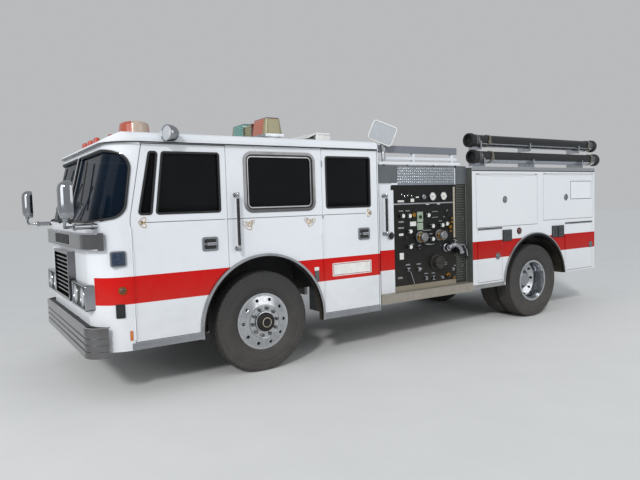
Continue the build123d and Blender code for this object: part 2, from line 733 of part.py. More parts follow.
# Frame: two channel rails, cross members, the bumper's brackets, cab and body bearers, step outriggers
bracket_front_x = bumper_front_x - bumper_wall
rail_front_x = cab_inside_front_x - door_gap
rail_rear_x = body_rear_x + 20.0
bracket_rear_x = front_axle_x + 1420.0
bearer_x = (body_front_x - 120.0, body_front_x - 560.0, rear_axle_x - 760.0, body_rear_x + 160.0)
cross_x = (front_axle_x - 1250.0, pump_front_x - 1000.0, body_front_x - 60.0, rear_axle_x + 700.0,
           rear_axle_x - 900.0, rail_rear_x + 40.0)
mount_x = (front_axle_x + 1390.0, front_axle_x - 1330.0)
with BuildPart() as chassis_frame:
    for s in (1, -1):
        with BuildSketch(Plane.YZ.offset(rail_rear_x)):
            with Locations((s * rail_mid_y, (rail_bottom_z + rail_top_z) / 2)):
                Rectangle(rail_flange, rail_top_z - rail_bottom_z)
            with Locations((s * (rail_mid_y - rail_web), (rail_bottom_z + rail_top_z) / 2)):
                Rectangle(rail_flange, rail_top_z - rail_bottom_z - 2 * rail_web, mode=Mode.SUBTRACT)
        extrude(amount=rail_front_x - rail_rear_x)
        low, high = sorted((s * rail_inner_y, s * rail_outer_y))
        side_plate(
            (
                (bracket_rear_x, rail_bottom_z), (rail_front_x, rail_bottom_z), (rail_front_x, bracket_top_z),
                (bracket_front_x, bracket_top_z), (bracket_front_x, bumper_bottom_z + 30.0),
                (bracket_front_x - 160.0, bumper_bottom_z + 30.0),
            ),
            low, high,
        )
        side_plate(
            (
                (rail_rear_x + 420.0, rail_bottom_z), (rail_rear_x, rail_bottom_z), (rail_rear_x, body_bottom_z),
                (tailboard_rear_x + 60.0, body_bottom_z), (tailboard_rear_x + 60.0, body_bottom_z - 35.0),
                (rail_rear_x + 200.0, body_bottom_z - 35.0),
            ),
            low, high,
        )
        for x in mount_x:
            block(x - 45.0, x + 45.0, s * rail_outer_y, s * (tunnel_y - floor_wall), floor_z, floor_z + 70.0)
        for x in (pump_front_x - 120.0, pump_rear_x + 140.0):
            block(x - 30.0, x + 30.0, s * rail_outer_y, s * (half_width - step_wall),
                  step_top_z - step_wall - 25.0, step_top_z - step_wall)
            block(x - 30.0, x + 30.0, s * (rail_outer_y - rail_web), s * (rail_outer_y + 12.0),
                  step_top_z - step_wall - 25.0, rail_bottom_z + 60.0)
    for x in cross_x:
        block(x - 35.0, x + 35.0, -rail_outer_y + rail_web, rail_outer_y - rail_web, rail_bottom_z + 40.0,
              rail_bottom_z + 130.0)
    for x in bearer_x:
        block(x - 40.0, x + 40.0, -body_inner_y, body_inner_y, rail_top_z, bearer_top_z)
chassis_frame.part.label = "chassis_frame"
export_step(chassis_frame.part, "parts/chassis_frame.step")

# Front axle beam with its kingpins, and the leaf springs that hold both axles to the frame
beam_half = 45.0
beam_top_z = axle_z + 55.0
yoke_gap_z = 70.0
kingpin_reach = 122.0
with BuildPart() as front_axle:
    with BuildSketch(Plane.YZ.offset(front_axle_x - beam_half)):
        Polygon(
            (-kingpin_y, axle_z - 35.0), (-640.0, axle_z - 35.0), (-520.0, axle_z - 90.0),
            (520.0, axle_z - 90.0), (640.0, axle_z - 35.0), (kingpin_y, axle_z - 35.0),
            (kingpin_y, beam_top_z), (660.0, beam_top_z), (560.0, axle_z + 10.0), (-560.0, axle_z + 10.0),
            (-660.0, beam_top_z), (-kingpin_y, beam_top_z), align=None,
        )
    extrude(amount=2 * beam_half)
    for s in (1, -1):
        rod((front_axle_x, s * kingpin_y, axle_z - yoke_gap_z), (front_axle_x, s * kingpin_y, axle_z + yoke_gap_z),
            beam_half)
        rod((front_axle_x, s * kingpin_y, axle_z - kingpin_reach),
            (front_axle_x, s * kingpin_y, axle_z + kingpin_reach), kingpin_radius)

tube_radius = 72.0
hub_inner_y = inner_tyre_y - 180.0
spindle_rear_radius = 55.0
hub_wall = 25.0
rear_hub_face_y = outer_tyre_y + rim_half_width - 137.0
spindle_end_y = rear_hub_face_y - hub_wall
with BuildPart() as rear_axle:
    rod((rear_axle_x, -hub_inner_y, axle_z), (rear_axle_x, hub_inner_y, axle_z), tube_radius)
    rod((rear_axle_x, -spindle_end_y, axle_z), (rear_axle_x, spindle_end_y, axle_z), spindle_rear_radius)
    with Locations((rear_axle_x, 0, axle_z)):
        Cylinder(175.0, 190.0, rotation=(0, 90, 0))
    rod((rear_axle_x + 60.0, 0, axle_z), (rear_axle_x + 260.0, 0, axle_z + 20.0), 62.0)
with BuildPart() as axles:
    add(front_axle.part)
    add(rear_axle.part)
axles.part.label = "axles"
export_step(axles.part, "parts/axles.step")

spring_eye = 60.0
spring_end_z = rail_bottom_z - 30.0
# Springs: x of the axle, z of the axle's seat
spring_seats = ((front_axle_x, axle_z + 10.0), (rear_axle_x, axle_z + tube_radius - 3.0))
with BuildPart() as leaf_springs:
    for s in (1, -1):
        low, high = sorted((s * rail_inner_y, s * rail_outer_y))
        for x, seat_z in spring_seats:
            rear, front = x - spring_half_length, x + spring_half_length
            with BuildSketch(Plane.XZ.offset(-high)):
                with BuildLine():
                    ThreePointArc((rear, spring_end_z), (x, seat_z), (front, spring_end_z))
                    Line((front, spring_end_z), (front, rail_bottom_z))
                    Line((front, rail_bottom_z), (front - spring_eye, rail_bottom_z))
                    Line((front - spring_eye, rail_bottom_z), (front - spring_eye, spring_end_z + 20.0))
                    ThreePointArc(
                        (front - spring_eye, spring_end_z + 20.0), (x, seat_z + 70.0),
                        (rear + spring_eye, spring_end_z + 20.0),
                    )
                    Line((rear + spring_eye, spring_end_z + 20.0), (rear + spring_eye, rail_bottom_z))
                    Line((rear + spring_eye, rail_bottom_z), (rear, rail_bottom_z))
                    Line((rear, rail_bottom_z), (rear, spring_end_z))
                make_face()
            extrude(amount=high - low)
    add(rear_axle.part, mode=Mode.SUBTRACT)
leaf_springs.part.label = "leaf_springs"
export_step(leaf_springs.part, "parts/leaf_springs.step")

# Engine with its gearbox, shafts and pump gear case, and the radiator behind the grille
with BuildPart() as powertrain:
    block(front_axle_x - 450.0, front_axle_x + 700.0, -340.0, 340.0, rail_bottom_z + 20.0, 1255.0)
    for s in (1, -1):
        for x in (front_axle_x - 350.0, front_axle_x + 600.0):
            block(x - 40.0, x + 40.0, s * 340.0, s * (rail_outer_y - rail_web), 790.0, 880.0)
    block(front_axle_x + 1400.0, front_axle_x + 1470.0, -330.0, 330.0, rail_bottom_z + 10.0, 1255.0)
    rod((front_axle_x + 690.0, 0, 850.0), (front_axle_x + 1410.0, 0, 850.0), 60.0)
    rod((front_axle_x - 1180.0, 0, 850.0), (front_axle_x - 440.0, 0, 850.0), 170.0)
    rod((pump_front_x - 500.0, 0, 850.0), (front_axle_x - 1170.0, 0, 850.0), 45.0)
    block(pump_front_x - 1100.0, pump_front_x - 490.0, -rail_outer_y + rail_web, rail_outer_y - rail_web,
          rail_bottom_z + 20.0, 950.0)
    rod((rear_axle_x + 240.0, 0, axle_z + 18.0), (pump_front_x - 1090.0, 0, 830.0), 45.0)
    add(rear_axle.part, mode=Mode.SUBTRACT)
    add(chassis_frame.part, mode=Mode.SUBTRACT)
powertrain.part.label = "powertrain"
export_step(powertrain.part, "parts/powertrain.step")

# Front knuckles: a yoke on each kingpin and the spindle for the wheel
yoke_wall = 48.0
yoke_half = 52.0
web_y = (kingpin_y + beam_half + 12.0, kingpin_y + beam_half + 40.0)
spindle_end = front_tyre_y + 125.0
for side, s in sides:
    with BuildPart() as knuckle:
        for z0, z1 in (
            (axle_z + yoke_gap_z + fit_gap, axle_z + yoke_gap_z + yoke_wall),
            (axle_z - yoke_gap_z - yoke_wall, axle_z - yoke_gap_z - fit_gap),
        ):
            rod((front_axle_x, s * kingpin_y, z0), (front_axle_x, s * kingpin_y, z1), yoke_half)
            block(front_axle_x - yoke_half, front_axle_x + yoke_half, s * kingpin_y, s * web_y[1], z0, z1)
        block(front_axle_x - yoke_half, front_axle_x + yoke_half, s * web_y[0], s * web_y[1],
              axle_z - yoke_gap_z - yoke_wall, axle_z + yoke_gap_z + yoke_wall)
        rod((front_axle_x, s * (web_y[1] - 1.0), axle_z), (front_axle_x, s * spindle_end, axle_z), spindle_radius)
        rod((front_axle_x, s * kingpin_y, axle_z - kingpin_reach - 10.0),
            (front_axle_x, s * kingpin_y, axle_z + kingpin_reach + 10.0), kingpin_radius + fit_gap,
            mode=Mode.SUBTRACT)
    knuckle.part.label = f"knuckle_{side}"
    export_step(knuckle.part, f"parts/knuckle_{side}.step")


def wheel_profile(x, points):
    """A ring or disc turned about an axle at x, from a half section of radius and Y."""
    with BuildSketch(Plane(origin=(x, 0, axle_z), z_dir=(0, 0, 1))) as section:
        Polygon(*points, align=None)
    revolve(section.sketch, axis=Axis((x, 0, axle_z), (0, 1, 0)))


def tyre_section(y):
    """A tyre's half section, with round shoulders and a slight crown."""
    half = tyre_width / 2
    crown = tyre_radius - 8.0
    bead = rim_half_width - rim_lip_wall - fit_gap
    return (
        (bead_radius + fit_gap, y - bead), (bead_radius + rim_lip, y - bead), (bead_radius + 110.0, y - half),
        (crown - 30.0, y - half + 12.0), (crown, y - half + 40.0), (tyre_radius, y), (crown, y + half - 40.0),
        (crown - 30.0, y + half - 12.0), (bead_radius + 110.0, y + half), (bead_radius + rim_lip, y + bead),
        (bead_radius + fit_gap, y + bead),
    )


def rim_section(y):
    """A rim's half section, with a lip at each side."""
    edge = rim_half_width
    seat = rim_half_width - rim_lip_wall
    lip = rim_lip - fit_gap
    return (
        (bead_radius + lip, y - edge), (bead_radius + lip, y - seat), (bead_radius, y - seat),
        (bead_radius, y + seat), (bead_radius + lip, y + seat), (bead_radius + lip, y + edge),
        (bead_radius - rim_wall, y + edge), (bead_radius - rim_wall, y - edge),
    )


def disc_section(y, dish):
    """A wheel disc's half section: a flat centre at y and a cone out to the rim, dish away along Y."""
    wall = math.copysign(disc_wall, dish)
    rim = bead_radius - rim_wall
    return (
        (0.0, y), (disc_flat_radius, y), (rim, y + dish), (rim, y + dish + wall),
        (disc_flat_radius - 6.0, y + wall), (0.0, y + wall),
    )


def hand_holes(x, y0, y1):
    """The ring of round holes through a disc."""
    with BuildSketch(Plane(origin=(x, y1, axle_z), x_dir=(1, 0, 0), z_dir=(0, -1, 0))) as holes:
        with PolarLocations(hand_hole_circle, hand_hole_count):
            Circle(hand_hole_radius)
    extrude(holes.sketch, amount=y1 - y0, mode=Mode.SUBTRACT)


# Wheels and tyres: single in front, twins behind with the outer disc deeply dished
front_disc_y = front_tyre_y + wheel_offset
rear_disc_y = (outer_tyre_y + inner_tyre_y) / 2
front_hub_rear_y = front_disc_y - 216.0
front_hub_face_y = front_disc_y + 50.0
front_dish = 82.0
rear_dish = 70.0
with BuildPart() as front_wheel:
    wheel_profile(front_axle_x, rim_section(front_tyre_y))
    wheel_profile(front_axle_x, disc_section(front_disc_y, -front_dish))
    hand_holes(front_axle_x, front_tyre_y, front_disc_y + 44.0)
    wheel_profile(
        front_axle_x,
        (
            (0.0, front_hub_rear_y), (drum_radius, front_hub_rear_y), (drum_radius, front_disc_y - 76.0),
            (front_hub_radius, front_disc_y - 60.0), (front_hub_radius, front_disc_y - disc_wall),
            (front_flange_radius, front_disc_y - disc_wall), (front_flange_radius, front_disc_y + 14.0),
            (front_hub_radius, front_disc_y + 20.0), (front_hub_radius, front_hub_face_y - 10.0),
            (front_hub_radius - 14.0, front_hub_face_y), (0.0, front_hub_face_y),
        ),
    )
    rod((front_axle_x, front_hub_rear_y - 1.0, axle_z), (front_axle_x, spindle_end + fit_gap, axle_z),
        spindle_radius + fit_gap, mode=Mode.SUBTRACT)
with BuildPart() as front_tyre:
    wheel_profile(front_axle_x, tyre_section(front_tyre_y))
with BuildPart() as rear_wheel:
    wheel_profile(rear_axle_x, rim_section(outer_tyre_y))
    wheel_profile(rear_axle_x, rim_section(inner_tyre_y))
    wheel_profile(rear_axle_x, disc_section(rear_disc_y, rear_dish))
    wheel_profile(rear_axle_x, disc_section(rear_disc_y, -rear_dish))
    hand_holes(rear_axle_x, rear_disc_y - 90.0, rear_disc_y + 90.0)
    wheel_profile(
        rear_axle_x,
        (
            (0.0, inner_tyre_y - 90.0), (drum_radius, inner_tyre_y - 90.0), (drum_radius, rear_disc_y - 40.0),
            (rear_hub_radius, rear_disc_y - 30.0), (rear_hub_radius, rear_disc_y + 80.0),
            (rear_hub_radius - 34.0, rear_hub_face_y - 22.0), (rear_hub_radius - 60.0, rear_hub_face_y),
            (0.0, rear_hub_face_y),
        ),
    )
    rod((rear_axle_x, inner_tyre_y - 91.0, axle_z), (rear_axle_x, spindle_end_y + fit_gap, axle_z),
        spindle_rear_radius + fit_gap, mode=Mode.SUBTRACT)
    rod((rear_axle_x, inner_tyre_y - 91.0, axle_z), (rear_axle_x, hub_inner_y + 10.0, axle_z), tube_radius + 6.0,
        mode=Mode.SUBTRACT)
with BuildPart() as rear_tyres:
    wheel_profile(rear_axle_x, tyre_section(outer_tyre_y))
    wheel_profile(rear_axle_x, tyre_section(inner_tyre_y))
for side, s in sides:
    for name, shape in (
        ("wheel_front", front_wheel), ("tyre_front", front_tyre), ("wheels_rear", rear_wheel),
        ("tyres_rear", rear_tyres),
    ):
        with BuildPart() as rolling:
            add(shape.part)
            if s < 0:
                mirror(shape.part, about=Plane.XZ, mode=Mode.REPLACE)
        rolling.part.label = f"{name}_{side}"
        export_step(rolling.part, f"parts/{name}_{side}.step")

# Fuel tank on the right rail, behind the cab's rear door
tank_x = (front_axle_x - 1480.0, front_axle_x - 800.0)
tank_inner_y = rail_outer_y + 75.0
tank_outer_y = entry_step_y - 75.0
tank_top_z = 850.0
tank_radius = (tank_outer_y - tank_inner_y) / 2
tank_y = (tank_inner_y + tank_outer_y) / 2
tank_z = tank_top_z - tank_radius
strap_x = (tank_x[0] + 100.0, tank_x[1] - 120.0)
with BuildPart() as fuel_tank:
    rod((tank_x[0], -tank_y, tank_z), (tank_x[1], -tank_y, tank_z), tank_radius)
    for x in strap_x:
        block(x - 20.0, x + 20.0, -rail_outer_y, -(tank_inner_y + 60.0), tank_top_z - 115.0, tank_top_z - 50.0)
fuel_tank.part.label = "fuel_tank"
export_step(fuel_tank.part, "parts/fuel_tank.step")

# Pump house: end walls that sit on the rails, a roof, corner columns, upper treadplate sides and top rails
column_x = (pump_front_x - 50.0, pump_front_x - 270.0)
column_y = pump_panel_y + 50.0
column_top_z = 1900.0
panel_x = (column_x[1], pump_rear_x + 200.0)
panel_z = (700.0, 1956.0)
panel_back_y = pump_panel_y - pump_panel_wall
treadplate_proud = 12.0
rail_post_x = (pump_front_x - 150.0, pump_front_x - 800.0, pump_rear_x + 90.0)
top_rail_y = half_width - 290.0
top_rail_half = 20.0
# Top rails: z from and to
top_rails = ((2290.0, 2325.0), (2375.0, 2465.0))
wall_top_z = pump_top_z - pump_panel_wall
with BuildPart() as pump_house:
    for x0, x1 in ((pump_front_x, pump_front_x - pump_wall), (pump_rear_x + pump_wall, pump_rear_x)):
        block(x0, x1, -panel_back_y, panel_back_y, pump_bottom_z, wall_top_z)
    block(pump_front_x, pump_rear_x, -pump_panel_y, pump_panel_y, wall_top_z, pump_top_z)
    block(pump_front_x + 1.0, pump_rear_x - 1.0, -rail_outer_y - 10.0, rail_outer_y + 10.0, pump_bottom_z - 1.0,
          rail_top_z, mode=Mode.SUBTRACT)
    for s in (1, -1):
        block(column_x[0], column_x[1], s * panel_back_y, s * column_y, step_top_z, column_top_z)
        block(pump_front_x, column_x[0], s * panel_back_y, s * pump_panel_y, pump_bottom_z, wall_top_z)
        block(column_x[0], column_x[1], s * panel_back_y, s * pump_panel_y, column_top_z, wall_top_z)
        block(panel_x[0], panel_x[1], s * panel_back_y, s * (pump_panel_y + treadplate_proud), panel_z[1],
              wall_top_z)
        block(panel_x[0], panel_x[1], s * panel_back_y, s * pump_panel_y, pump_bottom_z, panel_z[0])
        block(panel_x[1], pump_rear_x, s * panel_back_y, s * pump_panel_y, pump_bottom_z, wall_top_z)
        rail_y = (s * (top_rail_y - top_rail_half), s * (top_rail_y + top_rail_half))
        for x in rail_post_x:
            block(x - top_rail_half, x + top_rail_half, rail_y[0], rail_y[1], pump_top_z,
                  top_rails[1][0] + top_rail_half)
        for z0, z1 in top_rails:
            block(pump_front_x - 60.0, pump_rear_x, rail_y[0], rail_y[1], z0, z1)
pump_house.part.label = "pump_house"
export_step(pump_house.part, "parts/pump_house.step")

# Pump operator's panels, with a strip across, the pulls for the valves, knobs and drain cocks
# Pulls: x behind the pump's front, z
pulls = (
    (430.0, 1586.0), (535.0, 1578.0), (866.0, 1574.0), (935.0, 1433.0), (1110.0, 1437.0),
    (1188.0, 1457.0), (554.0, 1381.0), (940.0, 1268.0), (549.0, 1192.0), (731.0, 1172.0),
)
pull_stem = 9.0
pull_reach = 34.0
pull_size = (74.0, 32.0)
pull_wall = 14.0
# Knobs and drains: x behind the pump's front, z, radius, reach
round_pieces = (
    (536.0, 896.0, 16.0, 45.0), (723.0, 879.0, 16.0, 45.0),
    (869.0, 761.0, 20.0, 30.0), (973.0, 757.0, 20.0, 30.0), (1217.0, 753.0, 20.0, 30.0),
)
strip_z = (1735.0, 1750.0)
with BuildPart() as panel_left:
    block(panel_x[0], panel_x[1], panel_back_y, pump_panel_y, panel_z[0], panel_z[1])
    block(panel_x[0], panel_x[1], pump_panel_y, pump_panel_y + 8.0, strip_z[0], strip_z[1])
    for behind, z in pulls:
        disc_y(pump_front_x - behind, z, pull_stem, pump_panel_y, pump_panel_y + pull_reach)
        with BuildSketch(Plane.XZ.offset(-pump_panel_y - pull_reach - pull_wall)) as handle:
            with Locations((pump_front_x - behind, z)):
                SlotOverall(pull_size[0], pull_size[1])
        extrude(handle.sketch, amount=pull_wall)
    for behind, z, radius, reach in round_pieces:
        disc_y(pump_front_x - behind, z, radius, pump_panel_y, pump_panel_y + reach)
with BuildPart() as pump_panels:
    add(panel_left.part)
    mirror(panel_left.part, about=Plane.XZ)
pump_panels.part.label = "pump_panels"
export_step(pump_panels.part, "parts/pump_panels.step")


def turned_fitting(behind, z, profile):
    """A fitting turned about an axis that stands out of the left panel, from pairs of radius and reach."""
    origin = (pump_front_x - behind, pump_panel_y, z)
    with BuildSketch(Plane(origin=origin, x_dir=(1, 0, 0), z_dir=(0, 0, 1))) as section:
        Polygon(*profile, align=None)
    revolve(section.sketch, axis=Axis(origin, (0, 1, 0)))


# Turned fittings on the panel: gauges in their bezels, capped outlets, and the large suction inlet
gauge_radius = 58.0
gauge_reach = 28.0
outlet_radius = 56.0
outlet_reach = 110.0
outlet_flange = (72.0, 14.0)
inlet_radius = 82.0
inlet_reach = 95.0
inlet_flange = (100.0, 12.0)
gauge_profile = (
    (0.0, 0.0), (gauge_radius, 0.0), (gauge_radius, gauge_reach - 6.0), (gauge_radius - 4.0, gauge_reach),
    (gauge_radius - 9.0, gauge_reach), (gauge_radius - 11.0, gauge_reach - 8.0), (0.0, gauge_reach - 8.0),
)
outlet_profile = (
    (0.0, 0.0), (outlet_flange[0], 0.0), outlet_flange, (outlet_radius, outlet_flange[1]),
    (outlet_radius, outlet_reach), (0.0, outlet_reach),
)
inlet_profile = (
    (0.0, 0.0), (inlet_flange[0], 0.0), inlet_flange, (inlet_radius, inlet_flange[1]),
    (inlet_radius, inlet_reach), (0.0, inlet_reach),
)
# x behind the pump's front, z, profile
turned_fittings = (
    (969.0, 1814.0, gauge_profile),
    (1166.0, 1816.0, gauge_profile),
    (744.0, 1300.0, outlet_profile),
    (1082.0, 1307.0, outlet_profile),
    (1019.0, 956.0, inlet_profile),
)
# Elbow valve: a stem out of the panel, a bend towards the rear and a coupling
valve = (pump_front_x - 1290.0, pump_panel_y + 70.0, 1150.0)
valve_radius = 32.0
valve_rear_x = valve[0] - 105.0
valve_coupling_radius = 45.0
valve_coupling_rear_x = valve_rear_x - 42.0
with BuildPart() as fittings_left:
    for behind, z, profile in turned_fittings:
        turned_fitting(behind, z, profile)
    rod((valve[0], pump_panel_y, valve[2]), (valve[0], pump_panel_y + 12.0, valve[2]), valve_radius + 16.0)
    rod((valve[0], pump_panel_y, valve[2]), valve, valve_radius)
    with Locations(valve):
        Sphere(valve_radius)
    rod(valve, (valve_rear_x, valve[1], valve[2]), valve_radius)
    rod((valve_rear_x, valve[1], valve[2]), (valve_coupling_rear_x, valve[1], valve[2]), valve_coupling_radius)
with BuildPart() as pump_fittings:
    add(fittings_left.part)
    mirror(fittings_left.part, about=Plane.XZ)
pump_fittings.part.label = "pump_fittings"
export_step(pump_fittings.part, "parts/pump_fittings.step")

# Running boards beside the pump, and the tailboard
step_inner_y = rail_outer_y + 200.0
tailboard_half = half_width - 270.0
tailboard_wall = 30.0
tailboard_lip = 40.0
with BuildPart() as steps:
    for s in (1, -1):
        block(pump_front_x, pump_rear_x, s * step_inner_y, s * half_width, step_top_z - step_wall, step_top_z)
        block(pump_front_x, pump_rear_x, s * (half_width - step_wall), s * half_width, step_bottom_z,
              step_top_z)
    block(tailboard_rear_x, body_rear_x, -tailboard_half, tailboard_half, body_bottom_z,
          body_bottom_z + tailboard_wall)
    block(tailboard_rear_x, tailboard_rear_x + 20.0, -tailboard_half, tailboard_half,
          body_bottom_z - tailboard_lip, body_bottom_z + tailboard_wall)
steps.part.label = "running_boards"
export_step(steps.part, "parts/running_boards.step")

# Compartment body
lower_door_z = (body_bottom_z + 28.0, 1335.0)
# Doors: name, x from and to, z from and to, hinged edge, x and z of the latch
body_doors = (
    ("upper_front", rear_axle_x - 50.0, body_front_x - 77.0, lower_door_z[1] + 40.0, body_top_z - 110.0, "top",
     body_front_x - 653.0, 1745.0),
    ("upper_rear", body_rear_x + 50.0, rear_axle_x - 200.0, lower_door_z[1] + 85.0, body_top_z - 100.0, "top",
     rear_axle_x - 746.0, 1753.0),
    ("lower_front", rear_axle_x + rear_arch_rim + 24.0, body_front_x - 100.0, lower_door_z[0], lower_door_z[1],
     "front", rear_axle_x + rear_arch_rim + 118.0, 963.0),
    ("lower_rear", body_rear_x + 70.0, rear_axle_x - rear_arch_rim - 19.0, lower_door_z[0], lower_door_z[1],
     "front", body_rear_x + 122.0, 988.0),
)


def body_hinge(x0, x1, z0, z1, edge, fixed):
    """The hinge of a compartment door, along its top or its front edge."""
    if edge == "top":
        pin_z = z1 + door_gap / 2
        leaf = (0, 0, 1) if fixed else (0, 0, -1)
        hinge_half((x0 + 60.0, hinge_y, pin_z), (x1 - 60.0, hinge_y, pin_z), leaf, fixed)
    else:
        pin_x = x1 + door_gap / 2
        leaf = (1, 0, 0) if fixed else (-1, 0, 0)
        hinge_half((pin_x, hinge_y, z0 + 40.0), (pin_x, hinge_y, z1 - 40.0), leaf, fixed)


with BuildPart() as body_shell:
    block(body_rear_x, body_front_x, body_inner_y, half_width, body_bottom_z, body_top_z)
    block(rear_axle_x, body_front_x, body_inner_y, half_width, body_front_sill_z, body_bottom_z)
    disc_y(rear_axle_x, axle_z, rear_arch_radius, body_inner_y - 1.0, half_width + 1.0, mode=Mode.SUBTRACT)
    for name, x0, x1, z0, z1, edge, latch_x, latch_z in body_doors:
        block(x0 - door_gap, x1 + door_gap, body_inner_y + body_wall, half_width + 1.0, z0 - door_gap,
              z1 + door_gap, mode=Mode.SUBTRACT)
    for name, x0, x1, z0, z1, edge, latch_x, latch_z in body_doors:
        body_hinge(x0, x1, z0, z1, edge, True)
for side, s in sides:
    with BuildPart() as body_side:
        add(body_shell.part)
        if s < 0:
            mirror(body_shell.part, about=Plane.XZ, mode=Mode.REPLACE)
    body_side.part.label = f"body_{side}"
    export_step(body_side.part, f"parts/body_{side}.step")

latch_radius = 48.0
latch_wall = 8.0
for name, x0, x1, z0, z1, edge, latch_x, latch_z in body_doors:
    with BuildPart() as flap:
        block(x0, x1, half_width - body_door_wall, half_width, z0, z1)
        body_hinge(x0, x1, z0, z1, edge, False)
        disc_y(latch_x, latch_z, latch_radius, half_width, half_width + latch_wall)
    for side, s in sides:
        with BuildPart() as body_door:
            add(flap.part)
            if s < 0:
                mirror(flap.part, about=Plane.XZ, mode=Mode.REPLACE)
        body_door.part.label = f"door_{name}_{side}"
        export_step(body_door.part, f"parts/door_{name}_{side}.step")

# Water tank between the compartments, with the hose bed on top and the rear panel
with BuildPart() as hose_bed:
    block(body_rear_x + 50.0, body_front_x - 60.0, -tank_half_y, tank_half_y, bearer_top_z, hose_bed_z)
    block(body_rear_x, body_front_x, -body_inner_y, body_inner_y, hose_bed_z, hose_bed_z + 20.0)
    block(body_front_x - body_wall, body_front_x, -body_inner_y, body_inner_y, hose_bed_z, body_top_z)
    block(body_rear_x, body_rear_x + 20.0, -body_inner_y, body_inner_y, rail_bottom_z, hose_bed_z)
hose_bed.part.label = "hose_bed"
export_step(hose_bed.part, "parts/hose_bed.step")

# Hard suction hoses in their racks
hose_rear_x = hose_front_x - hose_length
coupling_length = 120.0
with BuildPart() as suction_hoses:
    for y, z in ((upper_hose_y, upper_hose_z), (lower_hose_y, lower_hose_z)):
        rod((hose_rear_x, y, z), (hose_front_x, y, z), hose_radius)
        rod((hose_rear_x, y, z), (hose_rear_x + coupling_length, y, z), hose_coupling_radius)
        rod((hose_front_x - coupling_length, y, z), (hose_front_x, y, z), hose_coupling_radius)
suction_hoses.part.label = "suction_hoses"
export_step(suction_hoses.part, "parts/suction_hoses.step")

rack_x = (body_front_x - 350.0, (body_front_x + body_rear_x) / 2, body_rear_x + 200.0)
rack_wall = 24.0
with BuildPart() as hose_racks:
    for x in rack_x:
        with BuildSketch(Plane.YZ.offset(x)):
            Polygon(
                (upper_hose_y - 130.0, body_top_z), (lower_hose_y + 100.0, body_top_z),
                (lower_hose_y + 100.0, lower_hose_z - 20.0), (upper_hose_y - 100.0, lower_hose_z - 20.0),
                (upper_hose_y - 100.0, upper_hose_z - 130.0), (upper_hose_y + 90.0, upper_hose_z - 130.0),
                (upper_hose_y + 90.0, upper_hose_z - 10.0), (upper_hose_y - 130.0, upper_hose_z - 10.0),
                align=None,
            )
            with Locations((upper_hose_y, upper_hose_z), (lower_hose_y, lower_hose_z)):
                Circle(hose_radius + fit_gap, mode=Mode.SUBTRACT)
        extrude(amount=rack_wall)
hose_racks.part.label = "hose_racks"
export_step(hose_racks.part, "parts/hose_racks.step")

# Grab rails: x, outer face y, z from and to
grab_rails = (
    (front_axle_x + 310.0, half_width, 1310.0, 1900.0),
    (column_x[0] - 60.0, column_y, 1350.0, 1860.0),
)
grab_radius = 13.0
grab_foot_radius = 10.0
grab_reach = 60.0
rear_grab_y = half_width - 260.0
with BuildPart() as rails:
    for s in (1, -1):
        for x, y, z0, z1 in grab_rails:
            rod((x, s * (y + grab_reach), z0), (x, s * (y + grab_reach), z1), grab_radius)
            for z in (z0 + 25.0, z1 - 25.0):
                rod((x, s * y, z), (x, s * (y + grab_reach), z), grab_foot_radius)
        y = s * rear_grab_y
        rod((body_rear_x - grab_reach, y, 1000.0), (body_rear_x - grab_reach, y, 1900.0), grab_radius)
        for z in (1025.0, 1875.0):
            rod((body_rear_x, y, z), (body_rear_x - grab_reach, y, z), grab_foot_radius)
rails.part.label = "grab_rails"
export_step(rails.part, "parts/grab_rails.step")

# Roof lamps: a light bar on feet, a beacon with a small lamp before it, and marker lamps on the brow
bar_x = (front_axle_x - 700.0, front_axle_x - 440.0)
bar_half = 500.0
bar_tray_z = (roof_crown_z + 50.0, roof_crown_z + 85.0)
bar_foot_y = 400.0
dome_half = 190.0
dome_height = 195.0
beacon_x = front_axle_x + 940.0
beacon_size = (170.0, 205.0)
beacon_z = (roof_crown_z + 45.0, roof_crown_z + 200.0)
front_lamp = (front_axle_x + 1130.0, -200.0)
front_lamp_radius = 55.0
marker_x = front_axle_x + 1410.0
marker_pitch = 280.0
marker_top_z = roof_base_z + 155.0
with BuildPart() as light_bar:
    bar_mid_x = (bar_x[0] + bar_x[1]) / 2
    for s in (1, -1):
        block(bar_mid_x - 60.0, bar_mid_x + 60.0, s * (bar_foot_y - 40.0), s * (bar_foot_y + 40.0), roof_edge_z,
              bar_tray_z[0])
    block(bar_x[0], bar_x[1], -bar_half, bar_half, bar_tray_z[0], bar_tray_z[1])
    block(bar_x[0] + 30.0, bar_x[1] - 30.0, -bar_half + 2 * dome_half + 20.0, bar_half - 2 * dome_half - 20.0,
          bar_tray_z[1], bar_tray_z[1] + dome_height - 45.0)
    for s in (1, -1):
        with BuildSketch(Plane.XY.offset(bar_tray_z[1])) as dome_base:
            with Locations((bar_mid_x, s * (bar_half - dome_half - 4.0))):
                RectangleRounded(bar_x[1] - bar_x[0] - 10.0, 2 * dome_half, 60.0)
        extrude(dome_base.sketch, amount=dome_height, taper=9)
    fillet(light_bar.faces().filter_by(Axis.Z).group_by(Axis.Z)[-1].edges(), 22.0)
with BuildPart() as beacon:
    with Locations((beacon_x, 0, (roof_edge_z + beacon_z[0]) / 2)):
        Cylinder(beacon_size[0] + 12.0, beacon_z[0] - roof_edge_z)
    with BuildSketch(Plane.XY.offset(beacon_z[0])) as beacon_base:
        with Locations((beacon_x, 0)):
            Ellipse(beacon_size[0], beacon_size[1])
    extrude(beacon_base.sketch, amount=beacon_z[1] - beacon_z[0], taper=7)
    fillet(beacon.faces().sort_by(Axis.Z)[-1].edges(), 35.0)
